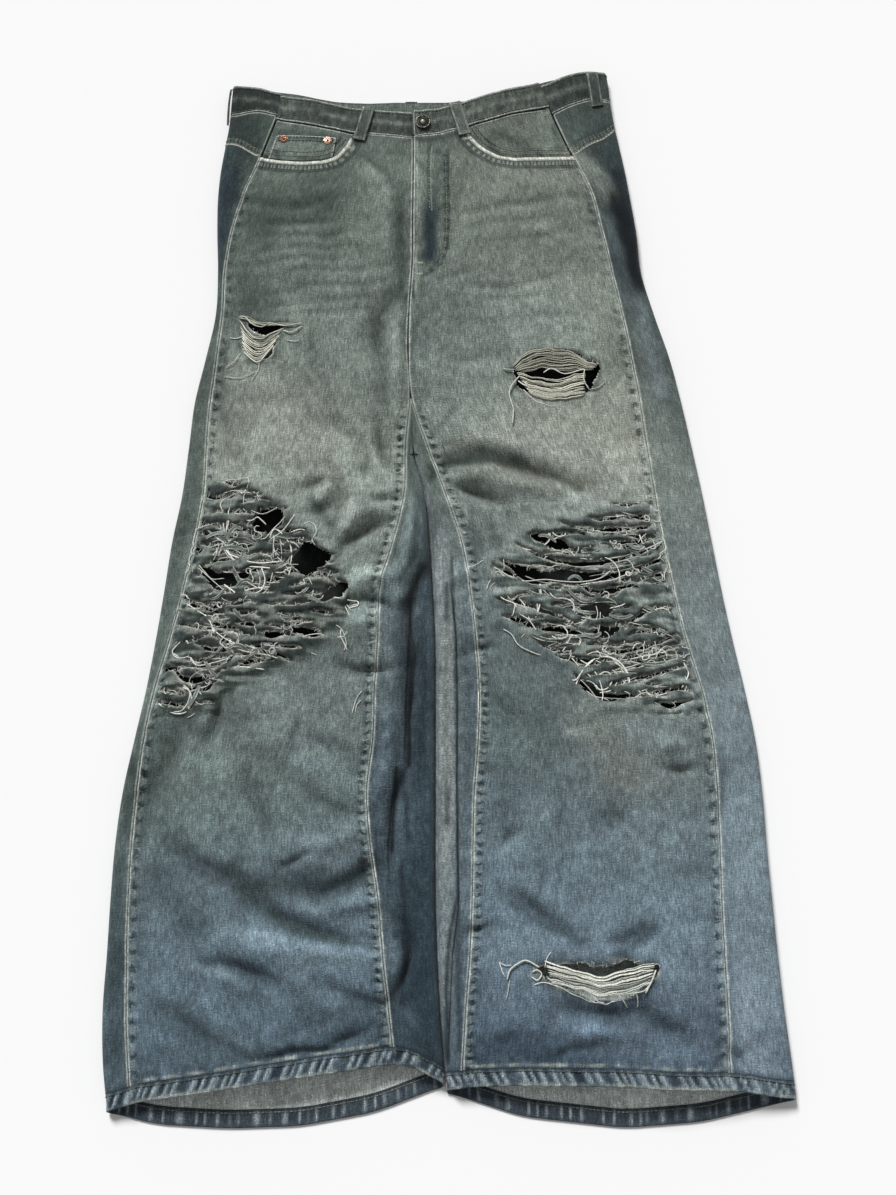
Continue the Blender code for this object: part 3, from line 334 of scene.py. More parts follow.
def rounded(rows, key, value, at, run):
    """Straight runs with their corners rounded over a run on each side."""
    steps = np.array([-1.0, -0.5, 0.0, 0.5, 1.0]) * run
    return sum(straight(rows, key, value, at + step) for step in steps) / len(steps)


LATTICE = 64              # random values along each side of a noise field, which then repeats


def noise(x, y, size, seed):
    """A smooth random field, mostly within 1 of zero, with lumps of about that size."""
    lattice = np.random.default_rng(seed).uniform(-1, 1, (LATTICE, LATTICE))
    u = (0.8 * x + 0.6 * y) / size + 7.3 * seed
    v = (0.8 * y - 0.6 * x) / size + 3.1 * seed
    column = np.floor(u).astype(int)
    row = np.floor(v).astype(int)

    def weights(f):
        return (
            (1 - f) ** 3 / 6, (3 * f ** 3 - 6 * f * f + 4) / 6,
            (-3 * f ** 3 + 3 * f * f + 3 * f + 1) / 6, f ** 3 / 6)

    total = 0
    for i, across in enumerate(weights(u - column)):
        for j, upward in enumerate(weights(v - row)):
            corner = lattice[(column + i) % LATTICE, (row + j) % LATTICE]
            total = total + across * upward * corner
    return 1.9 * total


def patchy(usual, swing, x, y, size, seed):
    """An uneven share from 0 to 1, usually about one value, that swings with noise."""
    return np.clip(usual + swing * noise(x, y, size, seed), 0, 1)


def bow(row, t):
    """Points at t along the bow through the three points that a table's row gives."""
    a = (1 - t) * (1 - 2 * t)
    b = 4 * t * (1 - t)
    c = t * (2 * t - 1)
    return a * row.x0 + b * row.x1 + c * row.x2, a * row.y0 + b * row.y1 + c * row.y2


def nearest_on(line_x, line_y, x, y):
    """Distance from points to a line of short runs, the place along it, and the side."""
    nearest = np.full(x.shape, 1e9)
    place = np.zeros(x.shape)
    side = np.zeros(x.shape)
    runs = len(line_x) - 1
    for k in range(runs):
        run_x = line_x[k + 1] - line_x[k]
        run_y = line_y[k + 1] - line_y[k]
        t = ((x - line_x[k]) * run_x + (y - line_y[k]) * run_y) / (run_x ** 2 + run_y ** 2)
        t = np.clip(t, 0, 1)
        off_x = x - line_x[k] - t * run_x
        off_y = y - line_y[k] - t * run_y
        gap = np.hypot(off_x, off_y)
        closer = gap < nearest
        nearest = np.where(closer, gap, nearest)
        place = np.where(closer, (k + t) / runs, place)
        side = np.where(closer, np.sign(run_x * off_y - run_y * off_x), side)
    return nearest, place, side


def in_reach(line_x, line_y, reach, x, y):
    """Which points lie in the box round a line, widened by a reach."""
    inside_x = (x > line_x.min() - reach) & (x < line_x.max() + reach)
    return inside_x & (y > line_y.min() - reach) & (y < line_y.max() + reach)


CREASE_STEPS = np.linspace(0, 1, 11)
CREASE_REACH = 2.6        # widths past which a crease no longer shows
CREASE_WANDER = 0.0035    # how far noise bends the creases
CREASE_DEPTH = 3.0        # how much deeper the creases are than their table says
CREASE_LIMIT = 0.0080     # and the deepest that they may be
RUMPLES = (               # size of the lumps, height, seed
    (0.060, 0.0013, 3),
    (0.026, 0.0008, 4),
    (0.012, 0.00042, 5),
)


MAP_STEP = 0.0015         # grid of the map that the creases are drawn on once
MAP_X = np.arange(-0.345, 0.345, MAP_STEP)
MAP_Y = np.arange(-0.585, 0.585, MAP_STEP)


def drawn_relief(x, y):
    """Height of the creases and the small rumples of the top layer, worked out afresh."""
    flat_x = x.ravel()
    flat_y = y.ravel()
    total = np.zeros(flat_x.shape)
    for size, height, seed in RUMPLES:
        total += height * noise(flat_x, 1.35 * flat_y, size, seed)
    bent_x = flat_x + CREASE_WANDER * noise(flat_x, flat_y, 0.022, 1)
    bent_y = flat_y + CREASE_WANDER * noise(flat_x, flat_y, 0.022, 2)
    for c in CREASES:
        line_x, line_y = bow(c, CREASE_STEPS)
        reach = CREASE_REACH * c.width
        near = in_reach(line_x, line_y, reach, bent_x, bent_y)
        gap, place, _ = nearest_on(line_x, line_y, bent_x[near], bent_y[near])
        fade = np.sin(math.pi * (0.06 + 0.88 * place)) ** 0.8
        height = np.clip(CREASE_DEPTH * c.height, -CREASE_LIMIT, CREASE_LIMIT)
        total[near] += height * peak(gap, 0, c.width) * fade
    return total.reshape(x.shape)


RELIEF_MAP = drawn_relief(*np.meshgrid(MAP_X, MAP_Y, indexing="ij"))


def relief(x, y):
    """Height of the creases and rumples at places seen from above, read off the map."""
    x, y = np.broadcast_arrays(np.asarray(x, float), np.asarray(y, float))
    u = np.clip((x - MAP_X[0]) / MAP_STEP, 0, len(MAP_X) - 1.001)
    v = np.clip((y - MAP_Y[0]) / MAP_STEP, 0, len(MAP_Y) - 1.001)
    i = u.astype(int)
    j = v.astype(int)
    u = u - i
    v = v - j
    low = RELIEF_MAP[i, j] * (1 - u) + RELIEF_MAP[i + 1, j] * u
    high = RELIEF_MAP[i, j + 1] * (1 - u) + RELIEF_MAP[i + 1, j + 1] * u
    return low * (1 - v) + high * v


OUTSEAM_PITCH = 0.0150    # bunching along an outseam
INSEAM_PITCH = 0.0095     # and along an inseam
SEAM_RIDGE = 0.0009       # how high the cloth stands beside a seam
SEAM_RUN = 0.0028         # how far from the seam it stands highest
PUCKER_DEPTH = 0.0024
PUCKER_PLACE = 0.0065     # how far from the seam the puckers are deepest
PUCKER_REACH = 0.0040


def seam_gaps(side, out, y):
    """Distances from the outseam and the inseam, across the leg."""
    return abs(out - side_line(side, "outseam", y)), abs(out - side_line(side, "inseam", y))


def pucker_drift(y, pitch, seed):
    return 0.30 * np.sin(y / pitch * 0.9 + seed) + 0.22 * np.sin(y / pitch * 2.3 + 2 * seed)


def pucker_wave(y, pitch, seed):
    """Even bunching along a seam, from 0 to 1, with some bunches wider than others."""
    size = 0.72 + 0.28 * np.sin(y / pitch * 1.7 + 3 * seed)
    turns = y / pitch + pucker_drift(y, pitch, seed)
    return size * np.clip(0.25 + 0.85 * np.cos(2 * math.pi * turns), 0, 1)


def pucker_lines(y, pitch, seed):
    """Thin worn lines beside the bunches of a seam, from 0 to 1."""
    turns = y / pitch + pucker_drift(y, pitch, seed) + 0.40
    return np.clip(np.cos(2 * math.pi * turns), 0, 1) ** 5


def bunch_fades(y):
    """How much the outseam and the inseam still bunch: neither does near the waist."""
    return 1 - ease(0.20, 0.26, y), 1 - ease(0.12, 0.16, y)


def puckers(side, out, y):
    """How deep the front panel is bunched beside its seams, from 0 to 1."""
    to_outseam, to_inseam = seam_gaps(side, out, y)
    by_outseam, by_inseam = bunch_fades(y)
    total = 0
    for gap, pitch, seed, amount in (
            (to_inseam, INSEAM_PITCH, 1.3, by_inseam),
            (to_outseam, OUTSEAM_PITCH, 2.1, 0.55 + 0.45 * by_outseam)):
        bump = peak(gap, PUCKER_PLACE, PUCKER_REACH)
        total = total + amount * bump * pucker_wave(y, pitch, seed + SIGN[side])
    return total


def seam_relief(side, out, y, front):
    """Height that the seams add: a rise along each edge, and bunching on the front panel."""
    to_outseam, to_inseam = seam_gaps(side, out, y)
    total = 0
    for gap in (to_outseam, to_inseam):
        total = total + SEAM_RIDGE * peak(gap, SEAM_RUN, 0.0019)
        total = total - 0.5 * SEAM_RIDGE * peak(gap, 0, 0.0009)
    return total - front * PUCKER_DEPTH * puckers(side, out, y)


def top_height(side, out, y, front=0.0):
    """Middle of the top layer's wall, at a distance out from the middle plane."""
    from_outer = side_line(side, "outer", y) - 0.5 * CLOTH - out
    from_inner = out - inner_line(side, y) - 0.5 * CLOTH
    joined = ease(FORK_Y - 0.01, FORK_Y + SEAT_FADE, y)
    inner_roll = along(MIDDLE, "y", side + "_roll", y)
    rise = dome(from_outer - EDGE_RADIUS) * (
        joined + (1 - joined) * dome(np.maximum(from_inner - inner_roll, 0)))
    height = floor_height(y) + 2 * inner_roll + along(RISES, "y", "height", y) * rise
    if side == "right":
        step = along(MIDDLE, "y", "step", y)
        height = height + (2 * EDGE_RADIUS - 2 * inner_roll) * ease(step, step + STEP_RUN, out)
    edge = np.minimum(from_outer, from_inner + 0.05 * joined) - EDGE_RADIUS
    near_edge = ease(0, FOLD_INSET, edge)
    fold = relief(SIGN[side] * out, y)
    seams = seam_relief(side, out, y, front)
    return height + near_edge * fold + ease(0, 0.004, edge) * seams


# Where each stretch of the path round one half starts: the front, from inseam to outseam, then on
# to the outer edge, its roll, under the back, the inner roll, and up to the inseam, where it ends.
FRONT, OUTER_TOP, OUTER_ROLL, UNDER, INNER_ROLL, INNER_TOP, PATH_END = range(7)


def path(side, s, y):
    """Point of the cloth's middle surface at place s on the path round a half, at height y."""
    s, y = np.broadcast_arrays(np.asarray(s, float), np.asarray(y, float))
    outer = side_line(side, "outer", y) - 0.5 * CLOTH
    outseam = side_line(side, "outseam", y)
    inseam = side_line(side, "inseam", y)
    rolled = 1 - ease(FORK_Y, FORK_Y + ROLL_FADE, y)
    inner = inner_line(side, y) + 0.5 * CLOTH * (1 - ease(FORK_Y, FORK_Y + JOIN_FADE, y))
    roll = along(MIDDLE, "y", side + "_roll", y)
    floor = floor_height(y)
    parted = 1 - ease(FORK_Y, FORK_Y + FORK_RUN, y)
    k = s - np.floor(s)
    k = np.where(s >= PATH_END, 1.0, k)
    block = np.minimum(np.floor(s), INNER_TOP).astype(int)
    turn = math.pi * k
    flat_turn = np.where(k <= 0.5, 2 * k, 1.0)
    out = np.select(
        [block == b for b in range(PATH_END)],
        [
            inseam + (outseam - inseam) * k,
            outseam + (outer - EDGE_RADIUS - outseam) * k,
            outer - EDGE_RADIUS + EDGE_RADIUS * np.sin(turn),
            outer - EDGE_RADIUS + (inner + roll - outer + EDGE_RADIUS) * k,
            inner + roll - roll * (rolled * np.sin(turn) + (1 - rolled) * flat_turn),
            inner + roll * parted + (inseam - inner - roll * parted) * k,
        ])
    top = top_height(side, out, y, block == FRONT)
    height = np.select(
        [block == b for b in range(PATH_END)],
        [
            top,
            top,
            floor + EDGE_RADIUS + EDGE_RADIUS * np.cos(turn),
            floor,
            floor + roll * (1 - np.cos(turn)) * rolled,
            top,
        ])
    return np.stack([SIGN[side] * out, y, height], axis=-1)


def path_normal(side, s, y):
    """Unit normal of the cloth, pointing out of the garment."""
    ds = 1e-3
    dy = 5e-4
    s = np.asarray(s, float)
    before = np.where(s >= INNER_TOP, np.maximum(s - ds, INNER_TOP), np.maximum(s - ds, FRONT))
    across = path(side, s + ds, y) - path(side, before, y)
    upward = path(side, s, y + dy) - path(side, s, y - dy)
    return unit(np.cross(across, upward) * SIGN[side])


BAND_BEND = 0.012         # run over which the corners of hems and waistbands are rounded
OPENING_BEND = 0.015      # and those of the pocket openings


def opening_line(side, part):
    """Top edge of a front panel: the waistband's seam, then the pocket's opening."""
    return rounded(FRONT_TOPS[side], "part", "y", part, OPENING_BEND)


def band_line(side, part):
    """Lower edge of the front waistband."""
    return rounded(FRONT_BANDS[side], "part", "y", part, BAND_BEND)


def hem_shift(side, s):
    """How far the hem at place s lies from its nominal station."""
    x = path(side, s, HEM_Y)[..., 0]
    front = rounded(HEMS[side, "front"], "x", "y", x, BAND_BEND)
    back = rounded(HEMS[side, "back"], "x", "y", x, BAND_BEND)
    under = ease(OUTER_ROLL, OUTER_ROLL + 1, s) * (1 - ease(INNER_ROLL, INNER_ROLL + 1, s))
    return front + (back - front) * under - HEM_Y


# How much of BACK_BAND's count each stretch of a half's path takes up.
BACK_SHARES = {OUTER_TOP: 0.7, OUTER_ROLL: 0.3, UNDER: 0.49}


def back_place(side, s):
    """Place s as BACK_BAND and YOKE_SEAM count it, from the left outseam to the right one."""
    top, roll, under = (
        share * np.clip(s - start, 0, 1) for start, share in BACK_SHARES.items())
    place = top + roll + under
    return place if side == "left" else 3 - place


def row_shift(y, knots):
    """Blends the shifts that a panel's ends need into its rows. Knots are (station, shift)."""
    total = 0
    for (y0, shift0), (y1, shift1) in zip(knots, knots[1:]):
        inside = (y >= y0) & (y <= y1) if y1 is knots[-1][0] else (y >= y0) & (y < y1)
        total = total + inside * (shift0 + (shift1 - shift0) * ease(y0, y1, y))
    return total


def front_knots(side, part):
    top = opening_line(side, part) - PANEL_TOP_Y
    at_hem = hem_shift(side, FRONT + part)
    return [
        (HEM_Y, at_hem), (HEM_Y + HEM_WIDTH, at_hem), (HEM_Y + END_RUN, 0),
        (PANEL_TOP_Y - END_RUN, 0), (PANEL_TOP_Y, top),
    ]


def back_knots(side, s):
    place = back_place(side, s)
    at_hem = hem_shift(side, s)
    return [
        (HEM_Y, at_hem), (HEM_Y + HEM_WIDTH, at_hem), (HEM_Y + END_RUN, 0),
        (PANEL_TOP_Y - END_RUN, 0),
        (PANEL_TOP_Y, along(YOKE_SEAM, "part", "y", place) - PANEL_TOP_Y),
        (BAND_Y, along(BACK_BAND, "part", "y", place) - BAND_Y),
        (BAND_Y + BAND_WIDTH, along(BACK_TOP, "part", "y", place) - BAND_Y - BAND_WIDTH),
    ]


def on_front(side, x, y):
    """Middle point and normal of the front cloth at a place seen from above."""
    x = np.asarray(x, float)
    y = np.asarray(y, float)
    outseam = side_line(side, "outseam", y)
    inseam = side_line(side, "inseam", y)
    s = np.clip((SIGN[side] * x - inseam) / (outseam - inseam), 0, 0.9995)
    return path(side, s, y), path_normal(side, s, y), s


# ---------------------------------------------------------------- dye

Fade = namedtuple("Fade", "y outer inner")
Tint = namedtuple("Tint", "x0 y0 x1 y1 x2 y2 width shade amount")


def fades(*rows):
    """Rows of y in millimetres, and the colours at the outer and the inner side."""
    return [Fade(y / 1000, *shades) for y, *shades in rows]


# Colour of the cloth down each front panel, at its outseam and at its inseam: greenish grey and
# rubbed at the top, palest on the thighs, bluer towards the hems.
FRONT_FADES = {
    "left": fades(
        (-520, "#4a5963", "#46545e"), (-460, "#566771", "#52626c"), (-400, "#5f7079", "#5f717c"),
        (-330, "#5d6b70", "#5f6e75"), (-240, "#66736f", "#667473"), (-170, "#66716e", "#6a7674"),
        (-80, "#707b77", "#74807d"), (0, "#747d77", "#7f8883"), (100, "#7b8179", "#7c847c"),
        (200, "#666f68", "#747d77"), (280, "#57615b", "#6e7770"), (360, "#4f5a53", "#6a736b"),
        (440, "#566059", "#5f6861")),
    "right": fades(
        (-520, "#52626d", "#46545e"), (-460, "#61717f", "#50606c"), (-400, "#6c7d88", "#60707b"),
        (-330, "#6b7c83", "#5f6f78"), (-240, "#6b7779", "#5c6a6e"), (-170, "#6b7573", "#5a6767"),
        (-80, "#757f7e", "#5f6b6b"), (0, "#7d857f", "#6a7573"), (100, "#8f948b", "#7a827c"),
        (200, "#81897f", "#6d7874"), (280, "#7c847b", "#707973"), (360, "#717870", "#6b736b"),
        (440, "#6b726a", "#616a63")),
}
# The back panels where they show on top: beside the outseam, and beside the inseam.
OUTER_FADES = {
    "left": fades(
        (-520, "#3d4b53", "#4b5a60"), (-400, "#46545a", "#526166"), (-240, "#48534f", "#56625f"),
        (-100, "#56605c", "#606b67"), (50, "#4d5652", "#59635e"), (200, "#48524d", "#566059"),
        (330, "#2c3a40", "#3d4947"), (420, "#27353a", "#39443f"), (520, "#323c38", "#3a443f")),
    "right": fades(
        (-520, "#5c6b77", "#5f6f7b"), (-400, "#6f7f88", "#70818c"), (-240, "#738288", "#75858c"),
        (-100, "#6f7b7e", "#747f80"), (50, "#69736f", "#727b76"), (200, "#4a5654", "#5c6661"),
        (330, "#141f27", "#39464a"), (420, "#2c383c", "#46514d"), (520, "#46514d", "#4a544f")),
}
INNER_FADES = {
    "left": fades(
        (-520, "#2c3942", "#3a4851"), (-400, "#2b3a43", "#3f4d56"), (-170, "#36454d", "#56636a"),
        (0, "#4a585d", "#646f6d"), (140, "#59635d", "#69726b")),
    "right": fades(
        (-520, "#47545d", "#44525c"), (-400, "#626d72", "#56656f"), (-170, "#6f797a", "#5b686d"),
        (0, "#606b6c", "#67726f"), (140, "#59635d", "#69726b")),
}
PALE = "#b4bab1"          # rubbed seams and edges
INDIGO = "#16222c"        # unfaded dye in the hollows of seams
SHADOW_BLACK = "#0a0e0f"        # painted shade: near black, deep inside the legs, behind the rips, under the pockets' edges and in the waistband's bunches
UNDERSIDE = "#3f4c55"     # the back of the jeans, which lies on the floor
LINING = "#d2dad6"        # the weft side of the cloth, inside a leg's mouth

# Tints rubbed in or left dark, with painted shade along the hollows of creases and folds and
# painted highlights on the ridges beside them: short curved strokes that fade over their width.
# Rows are (x0, y0, x1, y1, x2, y2, width), then the shade and how much of it there is.
TINT_AND_SHADE_STROKES = [Tint(*metres(row[:7]), *row[7:]) for row in (
    (-231, 420, -235, 378, -238, 336, 9, "#1b2a35", 0.8),
    (182, 412, 195, 348, 201, 269, 13, "#0b1218", 0.92),
    (178, 408, 187, 360, 192, 318, 8, "#16232c", 0.5),
    (-21, 362, -18, 333, -19, 309, 5, "#1b282c", 0.8),
    (-48, 390, -45, 330, -48, 260, 7, "#454f4a", 0.5),
    (-31, 429, -29, 396, -30, 368, 5, "#838c84", 0.6),
    (136, 439, 155, 420, 175, 390, 9, "#8f968c", 0.65),
    (58, 412, 101, 402, 149, 405, 9, "#838a80", 0.5),
    (-196, 164, -160, 138, -148, 90, 30, "#90958c", 0.45),
    (-122, 260, -100, 214, -88, 147, 26, "#79827b", 0.35),
    (116, 120, 151, 120, 178, 103, 36, "#989d93", 0.6),
    (25, 203, 76, 226, 118, 231, 30, "#747f7c", 0.35), (54, 75, 99, 65, 140, 58, 9, "#5c5b4e", 0.5),
    (-6, 90, 34, 90, 74, 80, 8, "#2a302d", 0.5), (147, -191, 158, -217, 185, -233, 28, "#797c75", 0.45),
    (-267, -175, -272, -222, -279, -264, 14, "#45514e", 0.55),
    (144, -273, 156, -278, 167, -280, 9, "#4a585e", 0.4),
    (-133, -406, -97, -396, -51, -400, 14, "#7c8d98", 0.45),
    (-208, -373, -161, -391, -106, -400, 10, "#778790", 0.35),
    (-115, -324, -89, -333, -57, -317, 8, "#2e393a", 0.4),
    (-258, -301, -214, -328, -174, -346, 8, "#37444a", 0.35),
    (-181, -348, -134, -376, -81, -389, 7, "#37444a", 0.35),
    (-220, -409, -174, -417, -114, -450, 7, "#333f46", 0.4),
    (-132, -457, -87, -448, -46, -439, 8, "#333f46", 0.4),
    (-24, -26, -31, -50, -40, -68, 6.5, "#0a0f0f", 0.95),
    (-36, -62, -36, -154, -35, -225, 2.4, "#0b1112", 0.95),
    (-47, -227, -50, -264, -51, -307, 2.6, "#0b1112", 0.92),
    (-41, -317, -38, -378, -40, -441, 3.4, "#121b20", 0.75),
    (-60, -54, -49, -115, -46, -175, 6, "#566267", 0.55),
    (-6, -3, -1, -164, 0, -315, 7.5, "#848c8b", 0.85), (0, -315, 1, -378, 0, -439, 6, "#7b8484", 0.6),
    (6, -19, 10, -164, 11, -355, 1.7, "#1a2325", 0.75),
    (10, -351, 2, -403, 1, -492, 2.6, "#161f22", 0.8), (20, -24, 21, -164, 18, -351, 7, "#56636a", 0.6),
    (-18, -49, -19, -164, -21, -306, 8, "#35434b", 0.7),
    (-26, -315, -26, -387, -20, -491, 10, "#2a3941", 0.75),
    (-252, 414, -244, 378, -244, 330, 4, "#36434a", 0.4),
    (-268, -439, -230, -469, -184, -489, 10, "#465459", 0.4),
    (67, -474, 111, -484, 174, -489, 9, "#4c5b66", 0.45),
    (22, -373, 36, -380, 50, -378, 6, "#3c494e", 0.4),
    (82, -354, 94, -364, 118, -389, 7, "#3f4c52", 0.45),
    (152, -387, 178, -383, 192, -373, 7, "#44525a", 0.4),
    (103, -444, 148, -453, 219, -470, 6, "#3b4850", 0.5),
    (-211, 272, -201, 258, -192, 244, 10, "#49534f", 0.4),
    (145, 272, 160, 248, 170, 214, 12, "#6c756f", 0.3),
    (42, -154, 52, -178, 56, -222, 10, "#515e60", 0.4),
    (-117, 71, -101, 39, -101, 18, 9, "#8b9189", 0.4),
    (-104, -64, -72, -105, -64, -164, 12, "#75817f", 0.4),
    (-50, 395, -51, 329, -45, 263, 6.8, "#414c46", 0.55),
    (-57, 376, -59, 329, -53, 282, 7.3, "#4c5751", 0.35),
    (-16, 361, -17, 335, -19, 303, 9.5, "#1d2a33", 0.85),
    (0, 437, 0, 376, 1, 315, 2.7, "#2b3634", 0.75), (-9, 435, -10, 395, -9, 364, 4.2, "#39443f", 0.55),
    (-24, 450, -24, 407, -26, 362, 4.2, "#717b72", 0.55),
    (-36, 484, -35, 376, -35, 259, 1.7, "#232d2c", 0.8),
    (-32, 484, -31, 376, -32, 263, 1, "#9fa79d", 0.75),
    (-19, 442, -19, 401, -18, 361, 1.4, "#252f2d", 0.75),
    (-7, 303, -15, 291, -26, 283, 2.3, "#2b3634", 0.6),
    (-40, 259, -42, 215, -36, 175, 4.7, "#34403d", 0.55),
    (-23, 275, -27, 247, -33, 213, 4.2, "#3e4a47", 0.5),
    (58, 455, 71, 450, 88, 435, 8.4, "#333d37", 0.6),
    (110, 474, 112, 456, 106, 431, 7.3, "#5f6a62", 0.55),
    (85, 450, 93, 440, 106, 429, 2.1, "#1f2926", 0.7),
    (45, 452, 51, 437, 64, 427, 4.2, "#2c3631", 0.65),
    (-158, 427, -141, 425, -123, 425, 3.2, "#2a332f", 0.55),
    (-184, 437, -182, 427, -183, 420, 3.2, "#1d2624", 0.7),
    (-210, 403, -173, 395, -125, 401, 6.3, "#49544c", 0.45),
    (-197, 381, -187, 341, -194, 303, 9.5, "#4b564f", 0.4),
    (-156, 388, -161, 358, -155, 329, 7.3, "#46514a", 0.35),
    (-108, 358, -100, 329, -101, 303, 8.4, "#6d776e", 0.4),
    (121, 388, 137, 358, 152, 317, 12.6, "#818981", 0.4),
    (36, 382, 57, 358, 25, 329, 14.7, "#6c766d", 0.35),
    (154, 413, 164, 376, 170, 329, 5.2, "#565f57", 0.45), (9, 70, 54, 62, 114, 47, 7.3, "#4a4c42", 0.5),
    (-16, -65, -18, -145, -15, -222, 3.2, "#4d5b63", 0.45),
    (-200, -324, -163, -338, -117, -329, 9.5, "#2c3736", 0.55),
    (-134, -356, -98, -342, -66, -322, 7.3, "#2f3b3b", 0.5),
    (-257, -301, -274, -324, -286, -356, 10.5, "#3f4b4c", 0.45),
    (-177, -430, -141, -444, -105, -452, 7.3, "#36434a", 0.45),
    (-265, -482, -220, -490, -167, -484, 9.5, "#44535a", 0.45),
    (-113, -473, -86, -465, -55, -469, 9.5, "#39474f", 0.55),
    (48, -473, 84, -489, 138, -492, 9.5, "#34434e", 0.55),
    (22, -430, 29, -465, 30, -492, 7.3, "#3d4c56", 0.45),
    (142, -342, 179, -351, 226, -333, 8.4, "#70818a", 0.35),
    (-185, 463, -153, 457, -117, 447, 6.3, "#222b28", 0.6),
    (-39, 456, -15, 451, 9, 457, 4.7, "#1f2826", 0.6),
    (22, 468, 61, 480, 107, 495, 2.3, "#161e1c", 0.8),
    (26, 474, 64, 488, 107, 502, 2.3, "#6d776c", 0.45),
    (118, 473, 120, 458, 122, 442, 3.7, "#262f2e", 0.55),
    (-93, 430, -73, 414, -58, 387, 3.7, "#333f3a", 0.55),
    (-37, 426, -27, 419, -18, 404, 4.2, "#2a3431", 0.5),
    (-36, 369, -34, 345, -33, 322, 3.7, "#1b2526", 0.65),
    (155, 375, 161, 356, 166, 332, 5.2, "#2f3b3c", 0.6),
    (165, 411, 175, 394, 185, 375, 4.7, "#2b3839", 0.55),
    (170, 358, 185, 322, 202, 269, 7.3, "#5d6a6c", 0.6),
    (190, 344, 198, 316, 206, 285, 4.7, "#141e26", 0.75),
    (202, 258, 210, 212, 218, 162, 9.5, "#7c878a", 0.45),
    (-226, 424, -231, 405, -233, 387, 6.3, "#202a29", 0.5),
    (-233, 332, -234, 316, -236, 302, 5.2, "#263230", 0.45),
    (-230, 212, -232, 190, -232, 162, 6.3, "#3a4543", 0.4),
    (-193, 298, -174, 275, -152, 246, 10.5, "#8b938c", 0.3),
    (-87, 235, -77, 252, -69, 262, 6.3, "#98a098", 0.4),
    (-54, 255, -69, 237, -72, 206, 4.2, "#35403c", 0.65),
    (-60, 195, -62, 167, -59, 132, 4.2, "#3a4541", 0.45),
    (-137, 143, -122, 123, -102, 102, 5.2, "#a5aba2", 0.35),
    (-14, 69, 24, 86, 74, 74, 6.8, "#272f28", 0.85), (74, 74, 106, 65, 132, 50, 5.2, "#2b342d", 0.75),
    (-14, 78, 6, 82, 34, 80, 6.3, "#232c26", 0.6), (-10, 95, 34, 104, 85, 95, 5.2, "#a2a89f", 0.45),
    (34, 57, 69, 54, 106, 48, 4.7, "#9aa199", 0.35), (-16, 110, -4, 123, 6, 134, 4.2, "#3c4742", 0.45),
    (-45, 102, -36, 69, -26, 38, 4.2, "#36423f", 0.45),
    (-134, 38, -124, 25, -115, 12, 5.2, "#2b3632", 0.6),
    (-146, 46, -129, 61, -107, 69, 6.3, "#9ba197", 0.4),
    (-268, -128, -254, -137, -236, -149, 8.4, "#1f2a27", 0.55),
    (-268, -171, -252, -180, -234, -197, 7.3, "#2f3b39", 0.5),
    (-178, -106, -161, -118, -141, -135, 7.3, "#8a948f", 0.4),
    (-71, -130, -64, -140, -56, -155, 4.2, "#2f3b3b", 0.45),
    (-136, -224, -110, -234, -81, -243, 7.3, "#7f8f93", 0.4),
    (-139, -205, -119, -211, -96, -218, 5.2, "#3f4d50", 0.4),
    (-119, -311, -99, -306, -78, -302, 5.2, "#90a0a6", 0.45),
    (-135, -333, -107, -337, -80, -331, 8.4, "#35434a", 0.45),
    (-79, -271, -71, -280, -63, -291, 4.2, "#2c393c", 0.5),
    (-78, -317, -70, -326, -65, -339, 4.7, "#1b2629", 0.7),
    (-190, -344, -143, -373, -92, -387, 5.8, "#27332f", 0.6),
    (-92, -385, -77, -389, -62, -390, 4.2, "#27332f", 0.45),
    (-134, -356, -102, -365, -62, -365, 5.8, "#7f919a", 0.4),
    (-263, -347, -230, -365, -193, -373, 12.6, "#2e3b3c", 0.35),
    (-236, -410, -212, -413, -190, -422, 3.7, "#7f9198", 0.4),
    (-122, -403, -92, -406, -60, -415, 5.2, "#7b8d95", 0.35),
    (-58, -418, -54, -435, -50, -451, 4.2, "#27343a", 0.55),
    (-266, -465, -243, -470, -218, -478, 6.3, "#3b4a52", 0.4),
    (-206, -467, -192, -472, -177, -477, 4.2, "#7f919a", 0.35),
    (1, -47, 0, -165, 1, -278, 3.2, "#1b262a", 0.7),
    (12, -362, 11, -396, 13, -482, 3.6, "#1c272c", 0.7),
    (-40, -234, -38, -260, -35, -299, 3.2, "#17222a", 0.65),
    (-61, -351, -55, -369, -51, -389, 4.2, "#6f7f86", 0.35),
    (120, -197, 151, -186, 185, -171, 6.8, "#97a19c", 0.55),
    (57, -145, 66, -184, 79, -232, 8.4, "#6f7d7c", 0.3),
    (11, -116, 28, -130, 46, -159, 6.3, "#3a4749", 0.35),
    (59, -356, 91, -373, 124, -389, 4.2, "#2f3d43", 0.5),
    (145, -406, 170, -394, 192, -378, 4.2, "#26333a", 0.6),
    (139, -449, 149, -458, 163, -465, 6.3, "#3a4850", 0.35),
    (82, -415, 91, -420, 100, -425, 4.2, "#c5c9c2", 0.4),
    (244, -490, 271, -494, 300, -485, 4.2, "#3c4a54", 0.6),
    (247, -456, 247, -473, 247, -487, 4.2, "#2c3a43", 0.5),
    (-207, 369, -166, 361, -113, 381, 29.4, "#36413c", 0.45),
    (-198, 302, -193, 275, -192, 246, 14.7, "#47524c", 0.3),
    (179, 387, 190, 345, 201, 295, 7.3, "#0e161c", 0.6),
    (-37, -106, -40, -155, -46, -203, 7.3, "#323f44", 0.45),
    (-25, -86, -24, -165, -25, -241, 7.3, "#26333a", 0.5),
    (20, -106, 21, -184, 20, -260, 6.3, "#444f53", 0.4),
    (0, -86, 0, -165, 0, -241, 5.2, "#8b938f", 0.45),
    (278, -260, 278, -351, 276, -439, 23.1, "#8a9ba4", 0.35),
    (275, -430, 280, -465, 283, -505, 21, "#8797a2", 0.5),
    (-282, -184, -288, -250, -290, -297, 9.5, "#333f3e", 0.5),
